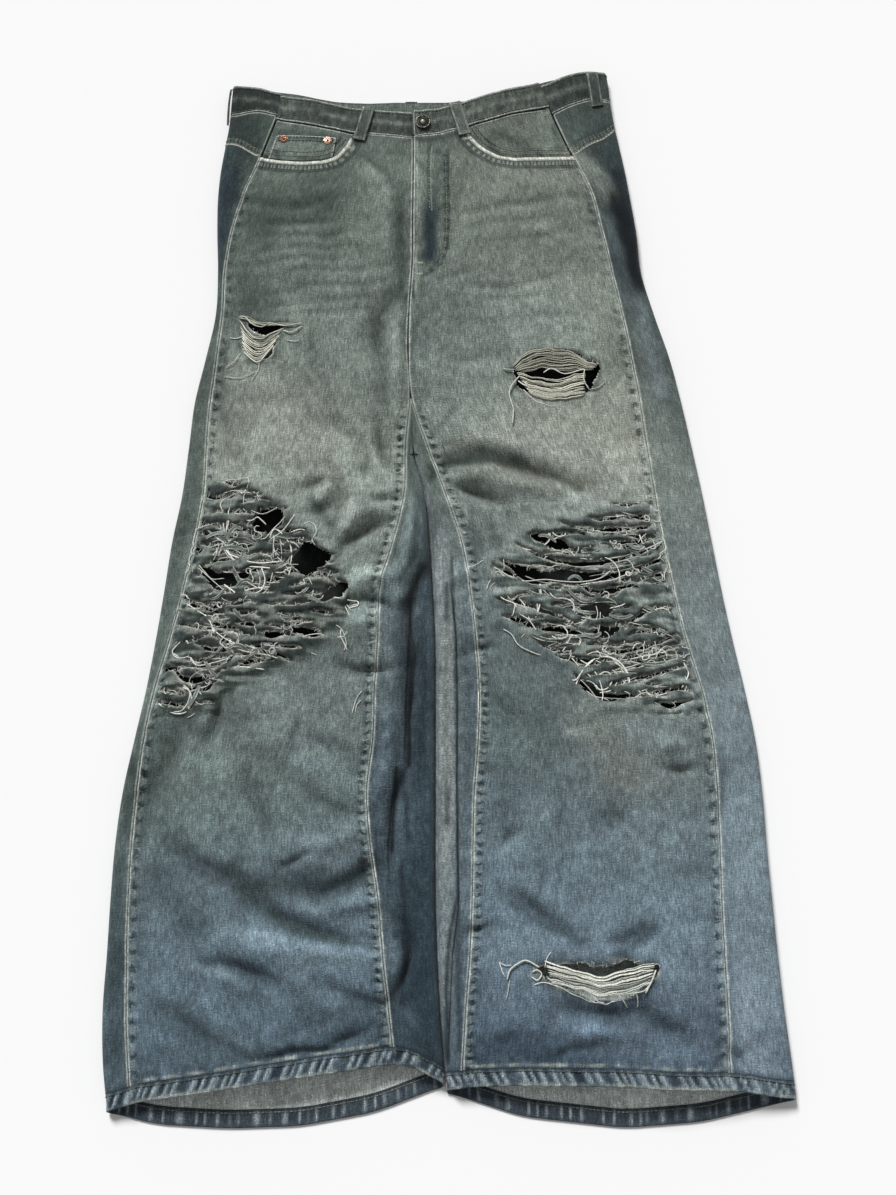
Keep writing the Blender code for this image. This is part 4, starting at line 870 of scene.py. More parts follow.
    (-302, -351, -302, -422, -298, -490, 9.5, "#3c494c", 0.4),
    (-163, 107, -148, 96, -128, 102, 18.9, "#a4a9a0", 0.4),
    (-159, -155, -139, -184, -115, -208, 23.1, "#7d8987", 0.4),
    (119, 281, 134, 258, 149, 223, 21, "#8d958d", 0.3),
    (-131, 229, -115, 206, -104, 173, 16.8, "#838c85", 0.35),
    (-151, -409, -132, -426, -105, -430, 12.6, "#7f929d", 0.25),
    (-195, 349, -158, 361, -118, 370, 18.9, "#303a36", 0.4),
    (181, 387, 193, 330, 203, 281, 9.5, "#080e13", 0.75),
    (-228, 478, -222, 461, -216, 441, 14.7, "#222b27", 0.5),
    (36, -492, 66, -482, 98, -487, 14.7, "#22313c", 0.5),
    (-260, -331, -245, -351, -229, -374, 16.8, "#38474c", 0.4),
    (-43, -76, -45, -116, -47, -155, 8.4, "#232d32", 0.6),
    (-25, -116, -24, -165, -25, -213, 8.4, "#1c272c", 0.5),
    (-36, -365, -33, -396, -31, -430, 7.3, "#16252e", 0.5),
    (-301, -222, -296, -252, -298, -288, 9.5, "#26322f", 0.55),
    (-300, -396, -299, -439, -297, -483, 8.4, "#243236", 0.5),
    (50, -165, 70, -186, 97, -190, 16.8, "#3f4b4a", 0.35),
    (-21, 387, -16, 339, -15, 302, 8.4, "#1d2a2e", 0.45),
    (19, -126, 21, -165, 20, -222, 7.3, "#3e4b50", 0.35),
)]


def linear(code):
    """Linear red, green and blue of an sRGB hex colour."""
    parts = np.array([int(code[i:i + 2], 16) / 255 for i in (1, 3, 5)])
    return np.where(parts <= 0.04045, parts / 12.92, ((parts + 0.055) / 1.055) ** 2.4)


def mix(base, shade, amount):
    """Base colours moved part of the way to a shade."""
    amount = np.clip(amount, 0, 1)[..., None]
    return base * (1 - amount) + linear(shade) * amount


def faded(rows, y, across):
    """Colour from a fade table: across is 0 at the table's outer column and 1 at its inner one."""
    keys = [row.y for row in rows]
    channels = []
    for channel in range(3):
        outer = np.interp(y, keys, [linear(row.outer)[channel] for row in rows])
        inner = np.interp(y, keys, [linear(row.inner)[channel] for row in rows])
        channels.append(outer + (inner - outer) * across)
    return np.stack(channels, axis=-1)


def tinted_and_shaded(colour, x, y):
    """Adds the tinted strokes, with their painted shade and painted highlights."""
    shape = x.shape
    x = x.ravel()
    y = y.ravel()
    wander = noise(x, y, 0.014, 11)
    sway = noise(x, y, 0.014, 12)
    colour = colour.reshape(-1, 3).copy()
    for t in TINT_AND_SHADE_STROKES:
        line_x, line_y = bow(t, CREASE_STEPS)
        near = in_reach(line_x, line_y, 2 * t.width, x, y)
        if near.any():
            bend = 0.35 * t.width
            gap, _, _ = nearest_on(
                line_x, line_y, x[near] + bend * wander[near], y[near] + bend * sway[near])
            colour[near] = mix(colour[near], t.shade, t.amount * peak(gap, 0, t.width))
    return colour.reshape(*shape, 3)


def mottled(colour, x, y):
    """Uneven washing: soft clouds, and short horizontal and vertical streaks."""
    clouds = 0.12 * noise(x, y, 0.045, 21) + 0.15 * noise(x, y, 0.017, 22)
    streaks = 0.08 * noise(6 * x, y, 0.030, 23) + 0.06 * noise(x, 7 * y, 0.030, 24)
    grain = 0.11 * noise(x, y, 0.0075, 25)
    return colour * np.exp(clouds + streaks + grain)[..., None]


def crease_wear_and_shade(colour, x, y):
    """Ridges are rubbed paler and painted lighter, and hollows keep their dye and are painted darker as
    shade.
    """
    height = relief(x, y)
    # painted light on ridges and painted shade in hollows, by the creases' height
    return colour * np.exp(np.clip(75 * height, -0.80, 0.24))[..., None]


# What the denim's material reads at each point, with the values that leave it plain.
MARKS = {
    "seam": (1.0, 0.0, 0.0),       # distance from a seam, how bunched it is, phase
    "edge": (1.0, 0.0, 0.0),       # distance from a double-stitched edge, strength, phase
    "fly": (1.0, 1.0, 0.0),        # side of the placket's line, side of the fly's row, phase
    "fold": (1.0, 0.0, 0.0),       # side of a pressed fold, depth of the fold
}


def seam_marks(side, out, y, front):
    """For the material: distance to the nearest seam, how much it bunches, and its phase."""
    to_outseam, to_inseam = seam_gaps(side, out, y)
    outer = to_outseam < to_inseam
    by_outseam, by_inseam = bunch_fades(y)
    bunch = np.where(outer, 0.45 + 0.45 * by_outseam, by_inseam)
    pitch = np.where(outer, OUTSEAM_PITCH, INSEAM_PITCH)
    return np.stack([np.minimum(to_outseam, to_inseam), front * bunch, y / pitch], axis=-1)


def plain_seam(gap):
    """The mark of a seam at a distance, without any bunching."""
    return np.stack([gap, np.zeros_like(gap), np.zeros_like(gap)], axis=-1)


def top_dye_and_shade(side, s, y, points, front):
    """Colour of the right side of the cloth at places on the path, with painted shade and painted
    highlights on its creases.
    """
    x = points[..., 0]
    out = SIGN[side] * x
    outer = side_line(side, "outer", y)
    outseam = side_line(side, "outseam", y)
    inseam = side_line(side, "inseam", y)
    inner = inner_line(side, y)
    across = np.clip((outseam - out) / (outseam - inseam), 0, 1)
    colour = faded(FRONT_FADES[side], y, across)
    beside_outer = faded(OUTER_FADES[side], y, np.clip((outer - out) / (outer - outseam), 0, 1))
    beside_inner = faded(INNER_FADES[side], y, np.clip((out - inner) / (inseam - inner), 0, 1))
    colour = np.where((not front) & (s < UNDER)[..., None], beside_outer, colour)
    colour = np.where((s >= UNDER)[..., None], beside_inner, colour)
    colour = mottled(colour, x, y)
    colour = crease_wear_and_shade(colour, x, y)
    colour = tinted_and_shaded(colour, x, y)
    hidden = ease(UNDER, UNDER + 0.06, s) * (1 - ease(INNER_ROLL - 0.06, INNER_ROLL, s))
    return mix(colour, UNDERSIDE, 0.8 * hidden)


def inside_dye_and_shade(y, x):
    """Colour of the wrong side: pale by the hems, with painted shade that makes it nearly black deep
    inside the legs.
    """
    # painted shade: nearly black deep inside the legs, less of it near the waist
    deep = ease(-0.468, -0.34, y) * (1 - 0.55 * ease(0.42, 0.46, y))
    colour = np.broadcast_to(linear(LINING), (*np.shape(y), 3))
    return mix(mottled(colour, x, y), SHADOW_BLACK, 0.97 * deep)


# ---------------------------------------------------------------- mesh building


def grid_normals(points, side):
    """Outward unit normals of a grid of points whose columns follow the path."""
    across = np.gradient(points, axis=0)
    upward = np.gradient(points, axis=1)
    return unit(np.cross(across, upward) * SIGN[side])


def cloth_uv(points):
    """Distances along a grid's columns and rows, in metres, for the weave."""
    across = np.linalg.norm(np.diff(points, axis=0, prepend=points[:1]), axis=-1).mean(axis=1)
    upward = np.linalg.norm(np.diff(points, axis=1, prepend=points[:, :1]), axis=-1).mean(axis=0)
    u, v = np.meshgrid(np.cumsum(across), np.cumsum(upward), indexing="ij")
    return np.stack([u, v], axis=-1)


def mesh_piece(name, verts, faces, colours, uvs, material, sharp=50, marks=None):
    """A mesh object of four-sided faces with its dye, its marks and its weave's map."""
    mesh = bpy.data.meshes.new(name)
    mesh.vertices.add(len(verts))
    mesh.vertices.foreach_set("co", np.ascontiguousarray(verts, np.float32).ravel())
    mesh.loops.add(4 * len(faces))
    mesh.loops.foreach_set("vertex_index", np.ascontiguousarray(faces, np.int32).ravel())
    mesh.polygons.add(len(faces))
    mesh.polygons.foreach_set("loop_start", np.arange(len(faces), dtype=np.int32) * 4)
    mesh.update(calc_edges=True)
    dye = mesh.attributes.new("dye", "FLOAT_COLOR", "POINT")
    rgba = np.ones((len(verts), 4), np.float32)
    rgba[:, :3] = colours
    dye.data.foreach_set("color", rgba.ravel())
    for key, plain in MARKS.items():
        values = np.tile(plain, (len(verts), 1)) if marks is None else marks[key]
        mark = mesh.attributes.new(key, "FLOAT_VECTOR", "POINT")
        mark.data.foreach_set("vector", np.ascontiguousarray(values, np.float32).ravel())
    layer = mesh.uv_layers.new(name="cloth")
    layer.data.foreach_set("uv", np.ascontiguousarray(uvs[faces.ravel()], np.float32).ravel())
    mesh.shade_smooth()
    mesh.set_sharp_from_angle(angle=math.radians(sharp))
    mesh.materials.append(material)
    obj = bpy.data.objects.new(name, mesh)
    bpy.context.scene.collection.objects.link(obj)
    return obj


def joined_piece(name, parts, material, drift, sharp=50):
    """One mesh of separate parts, each its vertices, faces, dye and map. The map drifts from
    part to part, so that no two have the same weave."""
    verts, faces, colours, uvs = zip(*parts)
    starts = np.cumsum([0] + [len(part) for part in verts])
    faces = [quads + start for quads, start in zip(faces, starts)]
    uvs = [uv + start * np.array(drift) for uv, start in zip(uvs, starts)]
    verts, faces, colours, uvs = map(np.concatenate, (verts, faces, colours, uvs))
    return mesh_piece(name, verts, faces, colours, uvs, material, sharp=sharp)


def wall_faces(keep, flip):
    """Faces of a closed wall on a grid: the kept cells outside and inside, and the rim."""
    columns, rows = keep.shape[0] + 1, keep.shape[1] + 1
    index = np.arange(columns * rows).reshape(columns, rows)
    cell = np.stack([index[:-1, :-1], index[1:, :-1], index[1:, 1:], index[:-1, 1:]], axis=-1)[keep]
    if flip:
        cell = cell[:, ::-1]
    count = columns * rows
    a = cell.ravel()
    b = np.roll(cell, -1, axis=1).ravel()
    open_edge = ~np.isin(a * count + b, b * count + a)
    a = a[open_edge]
    b = b[open_edge]
    rim = np.stack([b, a, a + count, b + count], axis=-1)
    return np.concatenate([cell, cell[:, ::-1] + count, rim])


def wall(name, side, points, colours, inside_colours, material, keep=None,
         outside=0.5 * CLOTH, inside=0.5 * CLOTH, normals=None, marks=None):
    """A closed cloth wall on a grid of middle points."""
    if keep is None:
        keep = np.ones((points.shape[0] - 1, points.shape[1] - 1), bool)
    if normals is None:
        normals = grid_normals(points, side)
    faces = wall_faces(keep, SIGN[side] < 0)
    outer = (points + outside * normals).reshape(-1, 3)
    inner = (points - inside * normals).reshape(-1, 3)
    verts = np.concatenate([outer, inner])
    dyes = np.concatenate([colours.reshape(-1, 3), inside_colours.reshape(-1, 3)])
    uvs = np.tile(cloth_uv(points).reshape(-1, 2), (2, 1))
    used, place = np.unique(faces, return_inverse=True)
    kept = {}
    for key, plain in MARKS.items():
        values = np.tile(plain, (len(verts), 1)).astype(float)
        if marks is not None and key in marks:
            values[:len(outer)] = marks[key].reshape(-1, 3)
        kept[key] = values[used]
    return mesh_piece(
        name, verts[used], place.reshape(faces.shape), dyes[used], uvs[used], material,
        marks=kept)


# ---------------------------------------------------------------- rips

Slit = namedtuple("Slit", "area x0 y0 x1 y1 x2 y2 half_width")
Area = namedtuple("Area", "side part0 part1 y0 y1 step lift droop shade amount")

# The torn parts of the front panels, which have a finer grid of their own. Each gives the shade painted
# over its torn cloth as the shade among its strips, and how much.
AREAS = {
    "knee_left": Area(
        "left", 0.14, 0.985, -0.180, 0.062, 0.00128, 0.0044, 0.0024, "#2b3431", 0.92),
    "knee_right": Area(
        "right", 0.055, 0.965, -0.180, 0.038, 0.00128, 0.0050, 0.0024, "#46514e", 0.88),
    "thigh_left": Area(
        "left", 0.42, 0.955, 0.178, 0.252, 0.0015, 0.0006, 0.0010, "#3c4744", 0.50),
    "thigh_right": Area(
        "right", 0.40, 0.86, 0.134, 0.212, 0.0015, 0.0006, 0.0010, "#4a5350", 0.45),
    "shin_right": Area(
        "right", 0.20, 0.74, -0.442, -0.386, 0.0015, 0.0006, 0.0010, "#35434b", 0.45),
}

# Tears along the weft: each opens to its half width in the middle of a bow. Rows are
# (x0, y0, x1, y1, x2, y2, half width).
SLITS = {
    "knee_left": [
        (-193, 14, -178, 16, -161, 24, 13.8), (-154, -26, -135, -24, -115, -20, 15.6),
        (-244, -28, -220, -45, -193, -37, 8.4), (-124, -67, -108, -56, -95, -50, 6.9),
        (-153, -93, -137, -97, -119, -99, 4.7), (-207, -78, -196, -79, -184, -77, 2.9),
        (-179, -98, -168, -100, -156, -97, 2.9), (-256, -9, -249, -11, -242, -12, 2.3),
        (-229, 61, -215, 58, -199, 63, 1.6), (-246, 51, -226, 44, -200, 51, 1.6),
        (-201, 40, -192, 39, -183, 42, 1.5), (-181, -49, -171, -45, -161, -43, 2.5),
        (-158, -86, -150, -85, -140, -86, 1.8), (-258, -66, -240, -70, -217, -77, 1.8),
        (-237, -83, -220, -90, -200, -96, 2.4), (-263, -88, -243, -90, -226, -94, 1.6),
        (-227, -100, -211, -106, -195, -111, 2), (-246, -107, -225, -114, -200, -112, 2),
        (-200, -111, -178, -117, -149, -126, 2), (-259, -129, -230, -130, -207, -123, 1.8),
        (-207, -121, -190, -120, -168, -125, 1.5), (-266, -133, -244, -144, -216, -135, 3),
        (-258, -148, -236, -152, -219, -145, 2.5), (-278, -133, -268, -132, -256, -135, 1.5),
        (-231, 17, -211, 11, -193, 5, 2), (-236, -4, -214, -9, -192, -9, 2),
        (-187, -25, -175, -28, -160, -25, 2.2), (-263, -57, -251, -64, -235, -69, 1.5),
        (-284, -151, -271, -153, -253, -158, 1.3), (-283, -166, -264, -166, -245, -171, 1.6),
        (-249, 21, -241, 17, -233, 15, 1.4), (-237, -66, -225, -65, -209, -67, 1.2),
    ],
    "knee_right": [
        (81, 2, 101, -6, 125, -13, 6), (56, -25, 97, -42, 158, -37, 8.4),
        (126, -77, 145, -76, 163, -73, 7.8), (141, -98, 153, -99, 168, -94, 6),
        (143, 17, 173, 19, 205, 25, 1.8), (158, -7, 184, -6, 206, 0, 2.3),
        (165, 32, 181, 33, 198, 37, 1.2), (115, 13, 162, 6, 210, 15, 2),
        (70, -10, 142, -29, 215, -4, 3.2), (53, -25, 131, -47, 219, -18, 4.2),
        (47, -29, 58, -37, 72, -42, 2), (129, -51, 156, -57, 190, -47, 3.2),
        (190, -47, 205, -39, 222, -35, 1.6), (51, -62, 82, -71, 122, -88, 2.2),
        (173, -94, 199, -76, 221, -70, 2), (85, -93, 120, -98, 151, -104, 3.6),
        (57, -82, 72, -86, 87, -96, 2.4), (149, -116, 188, -114, 229, -98, 2),
        (145, -127, 187, -121, 234, -108, 1.6), (152, -138, 192, -130, 234, -119, 1.8),
        (159, -150, 196, -141, 235, -129, 1.8), (106, -120, 129, -127, 148, -129, 2.6),
        (123, -139, 147, -159, 190, -161, 3.4), (186, -162, 213, -155, 236, -155, 2.2),
        (200, -168, 216, -168, 235, -163, 3), (204, -179, 216, -180, 225, -176, 1.5),
        (91, -111, 106, -116, 122, -117, 1.6),
    ],
    "thigh_left": [
        (-208, 237, -189, 225, -165, 229, 5.5), (-211, 219, -192, 203, -174, 216, 10),
    ],
    "thigh_right": [
        (68, 176, 112, 169, 157, 182, 26.5),
    ],
    "shin_right": [
        (84, -410, 140, -422, 195, -411, 15.5), (104, -417, 140, -427, 181, -422, 15),
    ],
}

TORN_REACH = 0.010        # how far from a tear the cloth is loose
TEAR_SIGHT = 0.016        # distances past this are all the same
TORN_BORDER = 0.008       # run over which a torn part lies level with the panel round it
TORN_SPAN = 0.21          # usual width of a front panel at its rips
TORN_SINK = 0.0001        # a torn part lies this much under the panel round it
SNAP = 0.62               # grid steps within which a point is moved onto a tear's edge
CURL_RUN = 0.0026         # distance from a tear over which its edge curls up
DROOP_RUN = 0.0014        # and over which it droops into the hole

# Outlines of the worn-out knees, inside which the cloth is in ribbons.
SHREDDED = {
    "knee_left": [metres(corner) for corner in (
        (-241, 58), (-200, 65), (-191, 48), (-163, 37), (-145, 16), (-129, -4), (-114, -21),
        (-104, -41), (-90, -71), (-98, -83), (-113, -101), (-141, -121), (-177, -141), (-209, -158),
        (-221, -174), (-278, -173), (-276, -131), (-261, -86), (-257, -25), (-252, 21))],
    "knee_right": [metres(corner) for corner in (
        (165, 32), (198, 32), (232, 25), (226, -25), (235, -86), (234, -155), (209, -176), (147, -165),
        (119, -126), (81, -106), (50, -66), (45, -32), (60, -15), (83, 1), (118, 12))],
}
# Rows of small tears between the drawn ones: distance between rows, usual length, lean, half width.
SMALL_TEARS = {
    "knee_left": (0.0105, 0.028, 0.14, 0.0013),
    "knee_right": (0.0092, 0.046, 0.06, 0.0012),
}


def within(outline, x, y):
    """Distance inside an outline, below zero outside it."""
    corners = np.array(outline + outline[:1])
    gap, _, _ = nearest_on(corners[:, 0], corners[:, 1], x, y)
    inside = np.zeros(x.shape, bool)
    for (x0, y0), (x1, y1) in zip(corners, corners[1:]):
        crossing = (y0 > y) != (y1 > y)
        reach = x0 + (y - y0) * (x1 - x0) / (y1 - y0 if y1 != y0 else 1e-9)
        inside ^= crossing & (x < reach)
    return np.where(inside, gap, -gap)


def inside_knee(name, tear):
    """How far inside a knee's outline a tear keeps, below zero where it leaves it."""
    x, y = np.array(tear[1:7]).reshape(3, 2).T
    return within(SHREDDED[name], x, y).min()


def tears_of(name):
    """The drawn tears of an area, and on a knee the small ones between them."""
    tears = [Slit(name, *metres(row)) for row in SLITS[name]]
    if name not in SMALL_TEARS:
        return tears
    pitch, length, lean, half_width = SMALL_TEARS[name]
    random = np.random.default_rng(17 + len(name))
    corners = np.array(SHREDDED[name])
    (west, south), (east, north) = corners.min(axis=0), corners.max(axis=0)
    for y in np.arange(south, north, pitch):
        x = west + random.uniform(0, length)
        while x < east:
            size = length * random.uniform(0.5, 1.3)
            tilt = random.normal(0.0, lean) * size
            bulge = random.normal(0.0, 0.06) * size
            at = y + random.normal(0, 0.0012)
            tear = Slit(name, x - 0.5 * size, at - 0.5 * tilt, x, at + bulge,
                        x + 0.5 * size, at + 0.5 * tilt,
                        half_width * random.uniform(0.6, 1.4))
            if inside_knee(name, tear) > 0.0015:
                tears.append(tear)
            x += size * random.uniform(1.0, 1.5)
    return tears


def gape(t):
    """How wide a tear stands open along its bow, as a share of its half width."""
    return np.sin(math.pi * t) ** 0.65


def tear_field(tears, x, y):
    """Distance to the nearest tear's edge, below zero inside it, and the side of it."""
    bent_x = x + 0.0012 * noise(x, y, 0.007, 41)
    bent_y = y + 0.0014 * noise(x, y, 0.006, 42)
    ragged = 1 + 0.22 * noise(x, y, 0.007, 43)
    field = np.full(x.shape, TEAR_SIGHT)
    above = np.zeros(x.shape)
    for tear in tears:
        line_x, line_y = bow(tear, CREASE_STEPS)
        near = in_reach(line_x, line_y, TEAR_SIGHT, bent_x, bent_y)
        gap, place, side = nearest_on(line_x, line_y, bent_x[near], bent_y[near])
        gap = gap - tear.half_width * gape(place) * ragged[near]
        closer = gap < field[near]
        field[near] = np.where(closer, gap, field[near])
        rising = np.sign(line_x[-1] - line_x[0])
        above[near] = np.where(closer, side * rising, above[near])
    return field, above


def torn_grid(area, tears):
    """Grid of a torn part, whose points near a tear's edge are moved onto it."""
    side = area.side
    width = abs(area.part1 - area.part0) * TORN_SPAN
    parts = np.linspace(area.part0, area.part1, int(width / area.step))
    rows = np.linspace(area.y0, area.y1, int((area.y1 - area.y0) / area.step))
    s, y = np.meshgrid(parts, rows, indexing="ij")
    x = path(side, s, y)[..., 0]
    field, above = tear_field(tears, x, y)
    slope_x = np.gradient(field, axis=0) / np.gradient(x, axis=0)
    slope_y = np.gradient(field, axis=1) / np.gradient(y, axis=1)
    steepness = np.maximum(slope_x ** 2 + slope_y ** 2, 0.3)
    snap = abs(field) < SNAP * area.step
    y = y - np.where(snap, field * slope_y / steepness, 0)
    x = x - np.where(snap, field * slope_x / steepness, 0)
    outseam = side_line(side, "outseam", y)
    inseam = side_line(side, "inseam", y)
    s = (SIGN[side] * x - inseam) / (outseam - inseam)
    return s, x, y, np.where(snap, 0, field), above


def torn_dye_and_shade(name, s, x, y, points, distance, above):
    """Dye of a torn part: threadbare, with painted shade over the torn cloth and between its strips,
    painted light on the strips' crowns, and pale frayed edges.
    """
    area = AREAS[name]
    colour = top_dye_and_shade(area.side, s, y, points, True)
    if name in SHREDDED:
        worn = ease(-0.007, 0.006, within(SHREDDED[name], x, y) + 0.003 * noise(x, y, 0.02, 46))
        threadbare = patchy(0.5, 0.9, 0.28 * x, y, 0.0030, 47)
    else:
        worn = peak(distance, 0, 0.007)
        threadbare = patchy(0.3, 0.5, 0.28 * x, y, 0.0030, 47)
    # painted shade of the torn cloth, over a whole knee or beside the tears
    colour = mix(colour, area.shade, area.amount * worn)
    colour = colour * (1 - 0.50 * (worn * (1 - threadbare))[..., None])
    if name in SHREDDED:
        # painted light and shade: each strip light on its crown, dark at its edges by the tears
        strip_light = 1 - peak(distance, 0, 0.0027)
        colour = colour * (1 + worn * (1.50 * strip_light - 0.86))[..., None]
    colour = mix(colour, PALE, 0.30 * worn * np.clip(2.2 * threadbare - 1.2, 0, 1))
    shadow = np.where(above > 0, 0.55, 0.15) * peak(distance, 0, 0.003)
    colour = mix(colour, SHADOW_BLACK, shadow)
    frayed = patchy(0.75, 0.55, x, y, 0.0035, 45)
    return mix(colour, PALE, 0.92 * frayed * peak(distance, 0, 0.0014))


def torn_area(name, material):
    """One torn part of a front panel: its tears cut out, with the strips between them loose."""
    area = AREAS[name]
    side = area.side
    s, x, y, field, above = torn_grid(area, tears_of(name))
    points = path(side, s, y)
    distance = np.maximum(field, 0)
    loose = peak(distance, 0, TORN_REACH)
    curl = area.lift * (1 - np.exp(-distance / CURL_RUN)) * loose
    droop = area.droop * np.where(above > 0, 1.0, 0.35) * np.exp(-distance / DROOP_RUN)
    wave = (0.0012 * noise(0.45 * x, y, 0.009, 44) + 0.0005 * noise(0.3 * x, y, 0.0035, 48)) * loose
    margin = np.minimum(np.minimum(s - area.part0, area.part1 - s) * TORN_SPAN,
                        np.minimum(y - area.y0, area.y1 - y))
    held = ease(0.0, TORN_BORDER, margin)
    lift = (curl - droop + wave) * held - TORN_SINK
    points = points + lift[..., None] * grid_normals(points, side)
    corner = field >= 0
    keep = corner[:-1, :-1] & corner[1:, :-1] & corner[1:, 1:] & corner[:-1, 1:]
    return wall("torn_" + name, side, points, torn_dye_and_shade(name, s, x, y, points, distance, above),
                inside_dye_and_shade(y, x), material, keep,
                marks={"seam": seam_marks(side, SIGN[side] * x, y, 1.0)})


RIBBONS = 26              # loose strips on each knee
RIBBON_HALF = 0.0005      # half the thickness of a worn strip


def ribbons(name, material):
    """Strips of cloth hanging on by one end, which lie across the tears and curl."""
    side = AREAS[name].side
    random = np.random.default_rng(91 + len(name))
    corners = np.array(SHREDDED[name])
    lean = 0.55 if side == "left" else 0.25
    parts = []
    while len(parts) < RIBBONS:
        x, y = random.uniform(corners.min(axis=0), corners.max(axis=0))
        turn = random.normal(0.0, lean)
        length = random.uniform(0.012, 0.034)
        bend = random.normal(0.0, 0.16) * length
        ends = 0.5 * length * np.array([math.cos(turn), math.sin(turn)])
        row = Slit(name, x - ends[0], y - ends[1], x, y + bend, x + ends[0], y + ends[1], 0)
        if inside_knee(name, row) > 0.003:
            parts.append(ribbon(row, side, random))
    return joined_piece("ribbons_" + name, parts, material, (0.001, 0.001))


def ribbon(row, side, random):
    """Vertices, faces, dye and map of one loose strip, raised and twisted between its ends."""
    t = np.linspace(0, 1, 14)
    line_x, line_y = bow(row, t)
    width = random.uniform(0.0022, 0.0044) * (0.45 + 0.55 * np.sin(math.pi * t) ** 0.5)
    heading_x = np.gradient(line_x)
    heading_y = np.gradient(line_y)
    size = np.hypot(heading_x, heading_y)
    across = np.linspace(0.5, -0.5, 5)[:, None]
    x = line_x + across * width * -heading_y / size
    y = line_y + across * width * heading_x / size
    points, normals, _ = on_front(side, x, y)
    twist = random.normal(0, 0.55) * np.sin(math.pi * t * random.uniform(0.7, 1.6))
    rise = 0.0016 + 0.0022 * np.sin(math.pi * t) * random.uniform(0.3, 1.0)
    points = points + (rise + twist * across * width)[..., None] * normals
    shade = shade_between("#2e3835", "#6c7672", random.uniform())
    colour = np.broadcast_to(shade, points.shape)
    edge = np.broadcast_to(0.5 - abs(across), x.shape)
    fray = patchy(0.8, 0.6, x, y, 0.003, 81)
    colour = mix(colour, "#c9cbc0", 0.9 * fray * peak(edge, 0, 0.13))
    flip = np.sign(np.cross(points[-1, 3] - points[0, 3], points[2, 4] - points[2, 2])[2])
    if flip < 0:
        points = points[::-1]
        normals = normals[::-1]
        colour = colour[::-1]
    keep = np.ones((points.shape[0] - 1, points.shape[1] - 1), bool)
    flat = points.reshape(-1, 3)
    reach = RIBBON_HALF * normals.reshape(-1, 3)
    return (
        np.concatenate([flat + reach, flat - reach]), wall_faces(keep, False),
        np.tile(colour.reshape(-1, 3), (2, 1)), np.tile(cloth_uv(points).reshape(-1, 2), (2, 1)))


def shade_between(low, high, amount):
    return linear(low) + (linear(high) - linear(low)) * amount


# ---------------------------------------------------------------- panels

SEAM_STEPS = (0, 0.0006, 0.0012, 0.0019, 0.0027, 0.0037, 0.0049, 0.0063, 0.0079, 0.0098, 0.0122)
PANEL_STEP = 0.0034       # spacing of a panel's grid away from its seams
FRONT_WIDTH = 0.215       # usual width of a front panel on top of the leg


def spread(*runs):
    """Joins even runs of numbers, each (start, end, step size)."""
    values = []
    for start, end, step in runs:
        count = max(1, int(round(abs(end - start) / step)))
        values.append(np.linspace(start, end, count, endpoint=False))
    return np.append(np.concatenate(values), runs[-1][1])


def front_columns(side):
    """Places across a front panel: closer beside the seams and at the pocket's corner."""
    edge = np.array(SEAM_STEPS) / FRONT_WIDTH
    middle = spread((edge[-1], 1 - edge[-1], PANEL_STEP / FRONT_WIDTH))
    corner = POCKET_CORNER[side] + np.linspace(-0.004, 0.024, 8)
    columns = np.unique(np.concatenate([edge, middle[1:-1], corner, 1 - edge]))
    return columns


def shifted(side, places, rows, knots_of):
    s, y = np.meshgrid(places, rows, indexing="ij")
    return s, y + row_shift(y, knots_of(side, s))


def opened(points, amount):
    """Draws a grid's four edges in by an amount."""
    grid = points.copy()
    for axis in (0, 1):
        grid = np.moveaxis(grid, axis, 0)
        for edge, inner in ((0, 1), (-1, -2)):
            grid[edge] = grid[edge] + amount * unit(grid[inner] - grid[edge])
        grid = np.moveaxis(grid, 0, axis)
    return grid


POCKET_PITCH = 0.0046     # lumps between the two rows of stitching


def curve_side(points, x, y):
    """Distance to the left of a drawn line, below zero on its right, and place along it."""
    line = smooth_line(points, 0.003)
    gap, place, side = nearest_on(line[:, 0], line[:, 1], x, y)
    past = (place < 0.002) | (place > 0.998)
    return np.where(past, 1.0, gap * side), place * 0.003 * len(line)


def front_marks(side, y, x):
    """What the material reads on a front panel."""
    seam = seam_marks(side, SIGN[side] * x, y, 1.0)
    edge = np.tile(MARKS["edge"], (*x.shape, 1)).astype(float)
    fly = np.tile(MARKS["fly"], (*x.shape, 1)).astype(float)
    parts = np.linspace(0, 1, 160)
    line_y = opening_line(side, parts)
    line_x = path(side, parts, line_y)[..., 0]
    high = y > 0.385
    pocket = parts >= POCKET_CORNER[side] + 0.004
    gap, place, _ = nearest_on(line_x[pocket], line_y[pocket], x[high], y[high])
    run = np.hypot(np.diff(line_x[pocket]), np.diff(line_y[pocket])).sum()
    edge[high] = np.stack([gap, np.ones_like(gap), place * run / POCKET_PITCH], axis=-1)
    to_band, _, _ = nearest_on(line_x[~pocket], line_y[~pocket], x[high], y[high])
    seam[high, 0] = np.minimum(seam[high, 0], to_band)
    if side == "right":
        near = (x < 0.02) & (y > 0.26)
        placket, _ = curve_side(PLACKET_LINE, x[near], y[near])
        sewn, along_it = curve_side(J_STITCH, x[near], y[near])
        fly[near] = np.stack([placket, sewn, along_it / 0.0105], axis=-1)
    return {"seam": seam, "edge": edge, "fly": fly}


